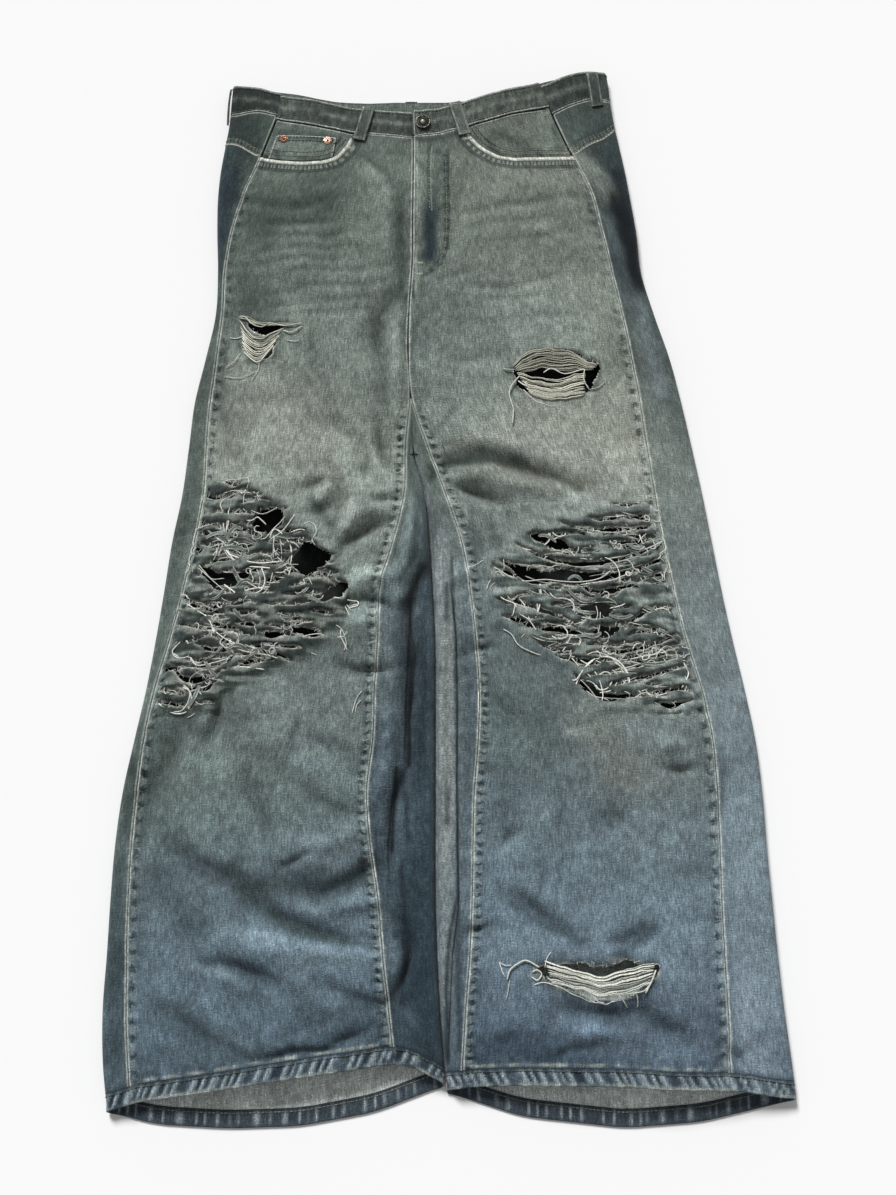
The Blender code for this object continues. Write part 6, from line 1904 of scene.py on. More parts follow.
# Broken yarns lying over the rips: each has its radius, and its points from end to end.
LOOSE_THREADS = {
    "knee_right": [
        (THICK, (123, -154), (128, -142), (136, -130), (148, -123), (160, -124), (169, -130), (175, -140),
         (176, -152)),
        (THICK, (144, -144), (151, -138), (157, -139), (159, -147), (154, -154), (147, -155), (143, -150)),
        (MAIN, (129, -126), (140, -134), (147, -146), (150, -159), (149, -167)),
        (MAIN, (135, -121), (145, -118), (158, -123), (168, -133), (172, -146)),
        (MAIN, (121, -124), (129, -134), (138, -142), (143, -152)),
        (THIN, (206, -116), (214, -111), (222, -116), (223, -124), (215, -128), (209, -122)),
        (THIN, (217, -128), (227, -134), (232, -146), (229, -158)),
        (THIN, (180, -163), (190, -158), (200, -161), (212, -158), (224, -161)),
        (THIN, (190, -154), (197, -165), (202, -175)),
        (THIN, (102, 3), (102, -5), (95, -12), (88, -18)),
        (THIN, (60, -14), (70, -13), (80, -15), (86, -14)),
        (THIN, (112, -21), (119, -15), (129, -23), (139, -25)),
        (THIN, (90, -51), (92, -61), (89, -71), (91, -84)),
        (THIN, (99, -63), (107, -61), (116, -66), (124, -66), (120, -73), (111, -71)),
        (MAIN, (115, -95), (123, -83), (130, -79), (140, -85), (145, -88)),
        (THIN, (113, -114), (120, -106), (128, -104), (129, -116), (124, -121)),
        (MAIN, (50, -58), (57, -64), (67, -69), (72, -79), (81, -86), (89, -99)),
        (MAIN, (40, -54), (43, -46), (50, -36), (55, -38), (62, -46)),
        (THIN, (212, 21), (219, 28), (227, 29), (232, 26)),
        (THIN, (207, 18), (217, 16), (224, 24)),
        (THIN, (228, -10), (225, -24), (220, -36)),
        (THIN, (103, 5), (102, -4), (93, -13), (88, -19)),
        (THIN, (61, -14), (73, -13), (85, -15), (93, -14)),
        (THIN, (133, 6), (142, 6), (140, -1), (134, -10), (129, -7)),
        (THIN, (137, -10), (152, -4), (156, -10), (152, -13)),
        (THIN, (185, -27), (183, -37), (180, -46), (184, -50)),
        (THIN, (190, -41), (193, -49), (186, -54)),
        (THIN, (146, -72), (147, -82), (141, -94)),
        (THIN, (150, -78), (149, -91), (147, -101)),
        (THIN, (125, -96), (139, -103), (149, -108)),
        (THIN, (216, -84), (217, -98), (223, -106)),
        (THIN, (202, -106), (203, -121), (200, -126)),
        (THIN, (148, -139), (155, -143), (155, -155)),
        (THIN, (96, -116), (102, -118), (110, -117)),
        (THIN, (129, -145), (138, -155), (145, -165), (151, -171)),
        (THIN, (186, -157), (197, -153), (213, -151)),
        (THIN, (181, -162), (195, -165), (204, -170)),
        (THIN, (221, -48), (229, -56), (229, -66)),
        (THIN, (208, 28), (223, 31), (232, 29)),
        (THIN, (212, 18), (221, 27), (227, 28)),
        (THIN, (216, 21), (221, -4), (220, -27)),
        (THIN, (227, -12), (222, -23), (221, -31)),
        (THIN, (234, -79), (244, -84), (250, -83)),
        (THIN, (73, -103), (79, -98), (85, -100)),
        (THIN, (43, -56), (45, -50), (53, -43)),
        (THIN, (4, -46), (18, -35), (38, -23)),
        (THIN, (189, -73), (200, -78), (212, -72)),
        (THIN, (194, -84), (203, -75), (216, -78)),
        (MAIN, (151, -21), (163, -27), (169, -37), (170, -49)),
        (MAIN, (48, -31), (63, -41), (77, -46), (97, -45), (112, -47), (131, -48), (151, -44), (163, -35)),
        (MAIN, (72, -64), (77, -72), (76, -83)),
        (MAIN, (100, -56), (106, -64), (116, -65), (123, -69), (124, -76), (119, -78)),
        (MAIN, (116, -93), (135, -88), (149, -88)),
        (MAIN, (120, -91), (130, -84), (142, -86)),
        (MAIN, (144, -126), (158, -134), (165, -143), (159, -155), (147, -158)),
        (MAIN, (127, -114), (130, -106), (122, -102), (116, -112), (112, -118)),
        (MAIN, (230, -126), (234, -138), (227, -152)),
        (MAIN, (56, -94), (64, -100), (70, -110), (81, -117), (91, -121), (93, -119)),
        (THICK, (92, -49), (93, -61), (91, -73), (87, -84)),
        (THICK, (142, -126), (133, -134), (125, -145), (119, -145)),
        (THICK, (162, -128), (172, -136), (175, -146)),
    ],
    "knee_left": [
        (THIN, (-226, 58), (-218, 61), (-208, 60), (-200, 62), (-197, 57), (-199, 50)),
        (THIN, (-224, 47), (-214, 49), (-203, 48)),
        (THIN, (-239, 10), (-229, 2), (-220, -7), (-213, -18)),
        (THIN, (-235, -10), (-227, -8), (-218, -6), (-207, -2)),
        (THIN, (-222, 16), (-220, 4), (-221, -7), (-225, -19)),
        (MAIN, (-217, 28), (-216, 16), (-219, 3)),
        (THIN, (-230, -22), (-223, -14), (-211, -13), (-201, -19)),
        (THICK, (-218, -13), (-207, -26), (-195, -31), (-181, -33), (-165, -34), (-155, -28)),
        (MAIN, (-207, -41), (-195, -48), (-184, -54), (-174, -56)),
        (MAIN, (-181, -33), (-177, -46), (-180, -56), (-186, -60)),
        (MAIN, (-168, 3), (-170, -10), (-167, -21), (-160, -28)),
        (MAIN, (-156, 0), (-153, -10), (-151, -23)),
        (THICK, (-174, -5), (-164, 2), (-157, 10), (-150, 21)),
        (MAIN, (-170, -38), (-160, -38), (-153, -33), (-155, -44)),
        (MAIN, (-145, 7), (-137, 13), (-130, 10), (-128, 2), (-132, -5), (-129, -11)),
        (MAIN, (-154, 3), (-143, 6), (-135, 2)),
        (THIN, (-119, -26), (-114, -34), (-117, -43)),
        (THIN, (-131, -43), (-131, -56), (-127, -63), (-129, -68)),
        (MAIN, (-110, -63), (-101, -64), (-89, -65), (-86, -71), (-94, -74)),
        (THIN, (-101, -58), (-99, -68), (-93, -76)),
        (MAIN, (-102, -95), (-102, -102), (-98, -111), (-96, -116)),
        (THIN, (-106, -103), (-100, -102), (-96, -97)),
        (MAIN, (-255, -66), (-244, -74), (-236, -79), (-229, -88), (-225, -99)),
        (MAIN, (-207, -111), (-197, -116), (-184, -119), (-172, -121), (-162, -124)),
        (THIN, (-199, -106), (-191, -112), (-181, -114)),
        (MAIN, (-265, -106), (-259, -102), (-252, -106), (-247, -116), (-249, -126)),
        (MAIN, (-266, -116), (-258, -121), (-249, -121), (-242, -129)),
        (THIN, (-258, -97), (-257, -108), (-254, -121)),
        (THIN, (-211, -134), (-203, -132), (-191, -134), (-179, -133)),
        (THICK, (-278, -165), (-268, -173), (-258, -176), (-249, -174), (-245, -165), (-247, -155),
         (-255, -150)),
        (THIN, (-249, -180), (-242, -177), (-238, -171)),
        (THIN, (-90, -177), (-88, -168), (-85, -160), (-81, -155)),
        (THIN, (-87, -176), (-86, -169), (-82, -164)),
        (THIN, (-215, 35), (-217, 21), (-218, 8)),
        (THIN, (-212, 25), (-207, 28), (-202, 31)),
        (THIN, (-195, 27), (-183, 22), (-173, 25), (-167, 29)),
        (THIN, (-170, 1), (-170, -13), (-170, -25)),
        (THIN, (-164, -4), (-162, -17), (-162, -27)),
        (THIN, (-221, -10), (-215, -20), (-205, -27), (-198, -35)),
        (THIN, (-236, 8), (-229, 1), (-222, -4), (-212, -4), (-204, -9)),
        (THIN, (-233, -4), (-222, -1), (-214, 4), (-207, 10)),
        (THIN, (-227, -10), (-227, -17), (-230, -23)),
        (THIN, (-245, -27), (-238, -35), (-230, -43), (-218, -43)),
        (THIN, (-242, -33), (-230, -44), (-219, -54), (-212, -63)),
        (THIN, (-193, -35), (-189, -44), (-190, -49)),
        (THIN, (-185, -35), (-182, -46), (-184, -56)),
        (THIN, (-169, -30), (-171, -44), (-174, -54), (-180, -62)),
        (THIN, (-161, -28), (-155, -35), (-155, -43), (-164, -43)),
        (THIN, (-101, -68), (-97, -76), (-94, -82)),
        (THIN, (-92, -71), (-90, -70), (-87, -70)),
        (THIN, (-107, -91), (-101, -96), (-97, -108), (-99, -116)),
        (THIN, (-148, -102), (-144, -111), (-135, -116), (-125, -121)),
        (THIN, (-145, -106), (-136, -102), (-124, -100), (-118, -102)),
        (THIN, (-210, -128), (-206, -134), (-199, -130)),
        (THIN, (-210, -138), (-206, -141), (-203, -142)),
        (THIN, (-223, -141), (-229, -149), (-238, -152)),
        (THIN, (-243, -160), (-232, -160), (-222, -155)),
        (THIN, (-222, -148), (-216, -152), (-210, -155)),
        (THIN, (-278, -165), (-269, -171), (-262, -169)),
        (THIN, (-256, 48), (-256, 39), (-255, 29)),
        (MAIN, (-205, 18), (-193, 16), (-187, 19), (-183, 16), (-178, 11)),
        (MAIN, (-153, 29), (-158, 21), (-164, 13), (-171, 6), (-178, -3), (-184, -4)),
        (MAIN, (-174, -3), (-170, 6), (-162, 1), (-154, -10), (-152, -21), (-153, -30)),
        (MAIN, (-135, -43), (-130, -54), (-131, -63), (-127, -68), (-118, -69)),
        (MAIN, (-131, -66), (-125, -72), (-115, -74), (-105, -72)),
        (MAIN, (-256, -98), (-260, -106), (-267, -114), (-261, -121), (-251, -120), (-247, -116)),
        (MAIN, (-258, -98), (-252, -106), (-250, -116), (-247, -124), (-241, -129), (-228, -128),
         (-208, -123)),
        (MAIN, (-236, -78), (-230, -86), (-226, -94), (-217, -102), (-204, -109)),
        (MAIN, (-237, 15), (-246, 13), (-254, 6), (-258, -4), (-258, -17), (-254, -27), (-256, -35)),
        (MAIN, (-198, -134), (-189, -135), (-177, -133)),
        (THICK, (-215, -18), (-203, -23), (-193, -27), (-181, -29), (-168, -28), (-161, -27)),
        (THICK, (-218, -49), (-209, -56), (-203, -60), (-194, -56), (-184, -54), (-172, -53), (-164, -51)),
        (THICK, (-254, -148), (-247, -155), (-248, -165), (-254, -173), (-264, -174)),
        (THICK, (-200, -132), (-189, -133), (-175, -135)),
    ],
    "thigh_left": [
        (MAIN, (-217, 244), (-209, 242), (-203, 234), (-191, 228), (-182, 231), (-167, 226), (-148, 228)),
        (MAIN, (-168, 221), (-159, 218), (-148, 225)),
        (MAIN, (-226, 220), (-218, 218), (-210, 220)),
        (THIN, (-227, 186), (-218, 191), (-212, 200)),
        (THIN, (-192, 191), (-192, 180), (-194, 176), (-199, 167)),
        (THIN, (-229, 176), (-211, 172), (-193, 178)),
        (THIN, (-164, 210), (-157, 208), (-151, 209)),
    ],
    "thigh_right": [
        (THICK, (75, 169), (67, 159), (64, 150), (66, 140), (68, 132), (67, 117)),
        (THICK, (73, 164), (78, 160), (83, 158)),
        (MAIN, (99, 173), (108, 177), (121, 171), (141, 177)),
        (MAIN, (141, 177), (140, 164), (145, 154)),
        (MAIN, (58, 177), (64, 176), (70, 176)),
        (THIN, (57, 126), (60, 114), (64, 95)),
        (THIN, (145, 154), (154, 157), (162, 164)),
    ],
    "shin_right": [
        (THICK, (56, -422), (59, -413), (67, -407), (74, -405), (85, -411)),
        (THICK, (190, -413), (186, -422), (180, -433)),
        (MAIN, (78, -415), (83, -413), (87, -417), (83, -422), (78, -419)),
        (MAIN, (103, -426), (126, -429), (139, -435), (175, -432), (184, -426)),
        (THIN, (49, -406), (52, -415), (54, -419)),
        (THIN, (49, -406), (54, -409), (60, -409)),
        (THIN, (58, -422), (57, -430), (55, -439)),
        (THIN, (96, -397), (92, -403), (90, -411)),
        (THIN, (80, -426), (89, -424), (103, -428)),
        (THIN, (153, -432), (159, -438), (164, -445)),
        (THIN, (172, -433), (173, -439), (173, -445)),
        (THIN, (130, -430), (136, -439), (142, -441)),
        (THIN, (-90, -155), (-85, -165), (-82, -176)),
    ],
}

# Weft yarns still whole across a hole: how many, their radius, their darkest and palest shades,
# and the first and the last course, between which they are spread.
FAMILIES = [Family(*row) for row in (
    ("thigh_left", 22, 0.00062, ("#8f9182", "#e6e6d8"),
     ((-216, 241), (-204, 223), (-190, 217), (-177, 222), (-167, 225)),
     ((-209, 200), (-201, 194), (-191, 189), (-184, 195), (-178, 205))),
    ("thigh_left", 3, 0.0005, ("#a9ad9c", "#d0d2c2"),
     ((-217, 246), (-206, 240), (-194, 235), (-180, 232), (-151, 226)),
     ((-216, 243), (-205, 237), (-193, 232), (-180, 230), (-155, 225))),
    ("thigh_right", 17, 0.00062, ("#6d6f60", "#cfcfbe"),
     ((68, 180), (86, 196), (117, 199), (155, 183)),
     ((75, 173), (101, 177), (127, 175), (149, 178))),
    ("thigh_right", 20, 0.00064, ("#8a8b7b", "#eae9da"),
     ((72, 173), (101, 165), (122, 166), (142, 173)),
     ((85, 150), (104, 142), (121, 144), (140, 147))),
    ("shin_right", 17, 0.00062, ("#8f958f", "#e8e9de"),
     ((90, -406), (114, -412), (140, -417), (167, -411), (190, -408)),
     ((96, -425), (117, -429), (139, -436), (166, -432), (186, -425))),
)]


def smooth_line(points, spacing):
    """A smooth line of evenly spaced points through a few given ones."""
    points = np.array(points, float)
    padded = np.concatenate([[2 * points[0] - points[1]], points, [2 * points[-1] - points[-2]]])
    t = np.linspace(0, 1, 9)[:-1, None]
    runs = []
    for a, b, c, d in zip(padded, padded[1:], padded[2:], padded[3:]):
        runs.append(0.5 * (2 * b + (c - a) * t + (2 * a - 5 * b + 4 * c - d) * t ** 2
                           + (3 * b - a - 3 * c + d) * t ** 3))
    line = np.concatenate([*runs, points[-1:]])
    length = np.append(0, np.cumsum(np.linalg.norm(np.diff(line, axis=0), axis=1)))
    at = np.linspace(0, length[-1], max(3, int(length[-1] / spacing) + 1))
    return np.stack([np.interp(at, length, column) for column in line.T], axis=-1)


def tube(line, radius, sides):
    """Vertices and four-sided faces of a thin closed tube along a line, tapered at its ends."""
    run = np.gradient(line, axis=0)
    run = unit(run)
    beside = np.cross(run, [0.0, 0.0, 1.0])
    beside = unit(beside)
    over = np.cross(beside, run)
    size = np.full(len(line), radius)
    size[[0, -1]] *= 0.45
    turn = 2 * math.pi * np.arange(sides) / sides
    ring = np.cos(turn)[:, None, None] * beside + np.sin(turn)[:, None, None] * over
    verts = (line + size[:, None] * ring).transpose(1, 0, 2).reshape(-1, 3)
    index = np.arange(len(verts)).reshape(len(line), sides)
    onward = np.roll(index, -1, axis=1)
    faces = np.stack([index[:-1], onward[:-1], onward[1:], index[1:]], axis=-1).reshape(-1, 4)
    caps = []
    for ring_index, order in ((index[0], -1), (index[-1], 1)):
        for k in range(0, sides - 2, 2):
            caps.append(ring_index[[0, k + 1, k + 2, k + 3][::order]])
    return verts, np.concatenate([faces, caps])


def tubes(name, strands, material):
    """One mesh of many tubes: each strand is its line, radius, number of sides and colour."""
    parts = []
    for line, radius, sides, shade in strands:
        verts, faces = tube(line, radius, sides)
        length = np.repeat(np.linspace(0, 0.001 * len(line), len(line)), sides)
        uvs = np.stack([length * 0, length], axis=-1)
        parts.append((verts, faces, np.tile(shade, (len(verts), 1)), uvs))
    return joined_piece(name, parts, material, (0.0005, 0), sharp=80)


def laid(side, lines, clears):
    """Lifts lines drawn from above onto the front cloth, with their ends down in the weave."""
    drawn = np.concatenate(lines)
    points, normals, _ = on_front(side, drawn[:, 0], drawn[:, 1])
    cuts = np.cumsum([len(line) for line in lines])[:-1]
    made = []
    for middle, normal, clear in zip(np.split(points, cuts), np.split(normals, cuts), clears):
        steps = np.arange(len(middle))
        from_end = np.minimum(steps, steps[::-1])
        reach = 0.5 * CLOTH + clear - 0.0009 * np.exp(-from_end / 1.2)
        made.append(middle + reach[:, None] * normal)
    return made


Strand = namedtuple("Strand", "drawn clear radius sides shade")


def torn_threads(name, material):
    """Loose yarns, whole weft and fuzz of one rip."""
    random = np.random.default_rng(sum(map(ord, name)))
    strands = []
    for radius, *points in LOOSE_THREADS[name]:
        shade = shade_between("#c4c8bd", "#f0f0e8", random.uniform())
        clear = radius + 0.0016 * random.uniform(0.3, 1.0)
        line = smooth_line([metres(point) for point in points], 0.0012)
        strands.append(Strand(line, clear, radius, 6 if radius > THIN else 4, shade))
    for family in FAMILIES:
        if family.area == name:
            strands += family_strands(family, random)
    fringe = []
    tears = tears_of(name)
    for tear in tears:
        fringe += slit_fringe(tear, random)
    strands += clear_of_holes(fringe, tears)
    lines = laid(AREAS[name].side, [s.drawn for s in strands], [s.clear for s in strands])
    return tubes("yarn_" + name, [
        (line, s.radius, s.sides, s.shade) for line, s in zip(lines, strands)], material)


def family_strands(family, random):
    """Whole weft yarns that hang side by side across a hole."""
    first, last = (np.array([metres(point) for point in line])
                   for line in (family.first, family.last))
    made = []
    for k in range(family.count):
        place = (k + random.uniform(-0.45, 0.45)) / max(family.count - 1, 1)
        knots = first + (last - first) * place
        knots = knots + random.normal(0, 0.0006, knots.shape)
        shade = shade_between(*family.shades, np.clip(random.normal(0.6, 0.3), 0, 1))
        made.append(Strand(
            wavy(smooth_line(knots, 0.0018)), 0.0002 + random.uniform(0, 0.0019),
            family.radius * random.uniform(0.45, 1.05), 6, shade))
    return made


def wavy(line):
    """A drawn line with the slack waves that neighbouring yarns share, and its ends in place."""
    x, y = line.T
    steps = np.arange(len(x))
    held = np.minimum(1, np.minimum(steps, steps[::-1]) / 5)
    sway = 0.0017 * noise(x, 0.40 * y, 0.010, 91) + 0.0007 * noise(x, y, 0.004, 92)
    return np.stack([x, y + sway * held], axis=-1)


def clear_of_holes(strands, tears):
    """The strands that keep to the cloth, so that the wide holes stay open."""
    drawn = np.concatenate([s.drawn for s in strands])
    field, _ = tear_field(tears, drawn[:, 0], drawn[:, 1])
    cuts = np.cumsum([len(s.drawn) for s in strands])[:-1]
    inside = [np.mean(part < -0.0012) for part in np.split(field, cuts)]
    return [s for s, share in zip(strands, inside) if share < 0.4]


def slit_fringe(slit, random):
    """Yarns that lie along a tear's edges, tangled ones, and short hairs."""
    length = math.hypot(slit.x2 - slit.x0, slit.y2 - slit.y0)
    strands = []
    for _ in range(max(1, int(length / 0.020))):
        start = random.uniform(0, 0.75)
        end = min(1.0, start + random.uniform(0.2, 0.6))
        t = np.linspace(start, end, 6)
        x, y = bow(slit, t)
        lean = random.choice([-1, 1])
        reach = slit.half_width * gape(t) * random.uniform(0.8, 1.25)
        y = y + lean * reach + random.normal(0, 0.0006, 6)
        shade = shade_between("#9ba29a", "#e8e8de", random.uniform())
        strands.append(Strand(
            smooth_line(np.stack([x, y], axis=-1), 0.0022), random.uniform(0.0, 0.0012),
            random.choice([HAIR, THIN, THIN, MAIN]), 4, shade))
    for _ in range(int(length / 0.0022)):
        t = random.uniform(0.02, 0.98)
        x, y = bow(slit, t)
        lean = random.choice([-1, 1])
        root = np.array([x, y + lean * slit.half_width * gape(t)])
        turn = random.normal(-lean * 0.5 * math.pi, 0.9)
        size = random.uniform(0.0015, 0.0058)
        heading = size * np.array([math.cos(turn), math.sin(turn)])
        curl = 0.35 * size * random.normal(0, 1, 2)
        knots = np.stack([root - 0.2 * heading, root + 0.5 * heading + curl, root + heading])
        shade = shade_between("#b0b6ad", "#efefe6", random.uniform())
        strands.append(Strand(
            smooth_line(knots, 0.0019), random.uniform(0.0002, 0.0012), HAIR, 4, shade))
    if slit.area in SHREDDED:
        for _ in range(int(length / 0.026 + random.uniform())):
            strands.append(tangle(slit, random))
    return strands


def tangle(slit, random):
    """A pale yarn that starts in a tear's edge and curls back on itself."""
    t = random.uniform(0.05, 0.95)
    x, y = bow(slit, t)
    lean = random.choice([-1, 1])
    place = np.array([x, y + lean * slit.half_width * gape(t)])
    turn = random.uniform(0, 2 * math.pi)
    bend = random.normal(0, 0.75)
    knots = [place]
    for _ in range(random.integers(3, 8)):
        turn += bend + random.normal(0, 0.45)
        place = place + random.uniform(0.0022, 0.0036) * np.array([math.cos(turn), math.sin(turn)])
        knots.append(place)
    shade = shade_between("#aeb4ab", "#f2f2ea", random.uniform())
    return Strand(smooth_line(knots, 0.0013), random.uniform(0.0010, 0.0026),
                  random.choice([THIN, THIN, MAIN]), 4, shade)


# Seen from above, in metres: the fly's curved row, the placket's edge, and the fly's bar tacks.
J_STITCH = [(-0.0004, 0.434), (-0.0004, 0.400), (0.0007, 0.358), (-0.0014, 0.317),
            (-0.0087, 0.296), (-0.0244, 0.284)]
PLACKET_LINE = [(-0.0177, 0.443), (-0.0186, 0.419), (-0.0185, 0.388), (-0.0174, 0.358)]
FLY_TACKS = [(-0.0287, 0.298), (-0.0286, 0.285)]
ROW_GAP = 0.0055          # between the two rows of a double seam
THREAD_LIFT = 0.00015     # from the cloth to the middle of a sewing thread
COIN_LIFT = 0.0006        # the same on the coin pocket, which stands off the facing
# The rows of each seam, by their distance from its edge.
BAND_ROWS = (0.0032, BAND_WIDTH - 0.0034)
YOKE_ROWS = (0.0024, 0.0024 + ROW_GAP)
POCKET_ROWS = (0.0062, 0.0062 + ROW_GAP)
HEM_ROW = HEM_WIDTH - 0.0028
COIN_ROWS = (0.0022, 0.0065)
FLY_ROW = 0.0052
SEAM_TONE = 0.65          # how much of its colour the thread has kept
HEM_ROW_SHADOW_TONE = 0.22           # the hem's row is sunk, and its thread painted dark as the shade in its groove


def path_run(side, s, y, lift):
    """A line on the cloth through places on the path."""
    s, y = np.broadcast_arrays(np.asarray(s, float), np.asarray(y, float))
    return path(side, s, y) + (0.5 * CLOTH + lift) * path_normal(side, s, y)


def offset_run(side, x, y, distance, lift):
    """A line on the front beside a curve seen from above, on its right as it runs."""
    run_x = np.gradient(x)
    run_y = np.gradient(y)
    size = np.hypot(run_x, run_y)
    points, normals, _ = on_front(side, x + distance * run_y / size, y - distance * run_x / size)
    return points + (0.5 * CLOTH + lift) * normals


def shifted_run(side, places, y):
    """A line of stitching on a back piece, which follows the shifts of its rows."""
    y = np.full_like(places, y)
    return path_run(side, places, y + row_shift(y, back_knots(side, places)), THREAD_LIFT)


def seam_runs():
    """The lines of machine stitching that show, and how dark the thread of each is: worn, and on the hem
    also painted dark as shade.
    """
    runs = []
    hems = []
    for side in SIDES:
        parts = np.linspace(0.012, 0.985, 80)
        low = band_line(side, parts)
        for rise in BAND_ROWS:
            runs.append(path_run(side, parts, low + rise, THREAD_LIFT))
        places = np.linspace(OUTER_TOP + 0.04, OUTER_ROLL + 0.9, 60)
        for y in (*(BAND_Y + rise for rise in BAND_ROWS), *(PANEL_TOP_Y + rise for rise in YOKE_ROWS)):
            runs.append(shifted_run(side, places, y))
        parts = np.linspace(POCKET_CORNER[side] + 0.004, 0.985, 120)
        y = opening_line(side, parts)
        x = path(side, parts, y)[..., 0]
        for distance in POCKET_ROWS:
            runs.append(offset_run(side, x, y, -SIGN[side] * distance, THREAD_LIFT))
        around = np.concatenate([np.linspace(FRONT, OUTER_TOP, 90), np.linspace(1.05, 5.95, 240)])
        hem_y = HEM_Y + hem_shift(side, around) + HEM_ROW
        hems.append(path_run(side, around, hem_y, THREAD_LIFT))
        below = np.linspace(UNDER + 0.03, INNER_ROLL - 0.03, 160)
        hem_y = HEM_Y + hem_shift(side, below) + HEM_ROW
        runs.append(path_run(side, below, hem_y, -HEM_CLOTH - THREAD_LIFT))
    parts = np.linspace(COIN_PARTS[0] + 0.02, COIN_PARTS[1] - 0.02, 40)
    for drop in COIN_ROWS:
        runs.append(path_run("left", parts, coin_grid(parts, 1.0) - drop, COIN_LIFT))
    for part in (COIN_PARTS[0] + 0.014, COIN_PARTS[1] - 0.014):
        parts = np.full(12, part)
        runs.append(path_run("left", parts, coin_grid(parts, np.linspace(0.05, 0.95, 12)), THREAD_LIFT))
    second = [(x + FLY_ROW, y) for x, y in J_STITCH[:-2]]
    drawn = [smooth_line(points, 0.003) for points in (J_STITCH, PLACKET_LINE, second)]
    runs += laid("right", drawn, [THREAD_LIFT] * len(drawn))
    return [(run, SEAM_TONE) for run in runs] + [(run, HEM_ROW_SHADOW_TONE) for run in hems]


def bar_tacks():
    """Short dense rows of stitches that hold the fly and the belt loops."""
    tacks = []
    for x, y in FLY_TACKS:
        tacks.append(("right", x, y, 0.009, 0.0))
    for side, (part, lean) in FRONT_LOOPS.items():
        low = float(straight(FRONT_BANDS[side], "part", "y", part))
        for y, shift in ((low - LOOP_OVERHANG + 0.0030, 0.5), (low + BAND_WIDTH - 0.0030, -0.5)):
            x = float(path(side, part, y)[0]) + lean * shift
            tacks.append((side, x, y, LOOP_WIDTH * 0.95, 0.0025))
    for side in SIDES:
        part = POCKET_CORNER[side] + 0.008
        y = float(opening_line(side, np.array(part))) - 0.010
        tacks.append((side, float(path(side, part, y)[0]), y, 0.008, 0.0))
    return tacks


def stitch_lines(line, length, pitch):
    """Short arched stitches evenly spaced along a line."""
    steps = np.append(0, np.cumsum(np.linalg.norm(np.diff(line, axis=0), axis=1)))
    count = max(1, int(steps[-1] / pitch))
    places = (np.arange(count) + 0.5) * steps[-1] / count
    arch = (-0.00018, 0.00010, 0.00010, -0.00018)
    for place in places:
        at = np.clip(place + length * np.array([-0.5, -0.28, 0.28, 0.5]), 0, steps[-1])
        stitch = np.stack([np.interp(at, steps, column) for column in line.T], axis=-1)
        stitch[:, 2] += arch
        yield stitch


def seam_stitches(settings, material):
    random = np.random.default_rng(7)
    shade = np.array(settings.stitch_colour)
    strands = []
    for line, tone in seam_runs():
        for stitch in stitch_lines(line, settings.stitch_length, settings.stitch_pitch):
            # tone is the thread's wear, and on the hem the painted shade of its groove
            worn = tone * random.uniform(0.55, 1.15)
            strands.append((stitch, settings.stitch_radius, 4, shade * worn))
    for side, x, y, width, lift in bar_tacks():
        places = x - 0.5 * width + 0.0007 * (np.arange(int(width / 0.0007)) + 0.5)
        drawn = [
            np.array([(place, y - 0.0014), (place + 0.0003, y), (place, y + 0.0014)])
            for place in places]
        for line in laid(side, drawn, [lift + 0.0006] * len(drawn)):
            strands.append((line, settings.stitch_radius, 4, shade * random.uniform(0.8, 1.3)))
    return tubes("seam_stitching", strands, material)


# ---------------------------------------------------------------- metal


def pick(obj):
    bpy.ops.object.select_all(action="DESELECT")
    obj.select_set(True)
    bpy.context.view_layer.objects.active = obj


def bevelled(obj, width, segments=3):
    """Rounds the active piece's edges with an applied modifier."""
    bevel = obj.modifiers.new("edges", "BEVEL")
    bevel.width = width
    bevel.segments = segments
    bevel.limit_method = "ANGLE"
    bpy.ops.object.modifier_apply(modifier=bevel.name)


def part_of_fitting(obj, material, smooth=True):
    obj.data.materials.clear()
    obj.data.materials.append(material)
    if smooth:
        bpy.ops.object.shade_smooth_by_angle(angle=math.radians(40))
    return obj


def disc(radius, height, base, material, edge):
    bpy.ops.mesh.primitive_cylinder_add(
        vertices=56, radius=radius, depth=height, location=(0, 0, base + 0.5 * height))
    obj = bpy.context.active_object
    bpy.ops.object.transform_apply(location=True, rotation=False, scale=False)
    bevelled(obj, edge)
    return part_of_fitting(obj, material)


def ring(radius, thickness, height, material, flatten=1.0):
    bpy.ops.mesh.primitive_torus_add(
        major_radius=radius, minor_radius=thickness, major_segments=56, minor_segments=14,
        location=(0, 0, 0))
    obj = bpy.context.active_object
    obj.scale = (1, 1, flatten)
    obj.location = (0, 0, height)
    bpy.ops.object.transform_apply(location=True, rotation=False, scale=True)
    return part_of_fitting(obj, material)


def nub(radius, height, base, material):
    bpy.ops.mesh.primitive_uv_sphere_add(segments=28, ring_count=14, radius=radius)
    obj = bpy.context.active_object
    obj.scale = (1, 1, height / radius)
    obj.location = (0, 0, base)
    bpy.ops.object.transform_apply(location=True, rotation=False, scale=True)
    return part_of_fitting(obj, material)


def assembled(name, parts, centre, normal):
    """Joins a fitting's parts, turns it square to the cloth and sets it in place."""
    pick(parts[0])
    for part in parts:
        part.select_set(True)
    bpy.ops.object.join()
    obj = bpy.context.active_object
    obj.name = name
    obj.data.name = name
    obj.rotation_mode = "QUATERNION"
    obj.rotation_quaternion = Vector(normal).to_track_quat("Z", "Y")
    obj.location = centre
    bpy.ops.object.transform_apply(location=True, rotation=True, scale=True)
    return obj


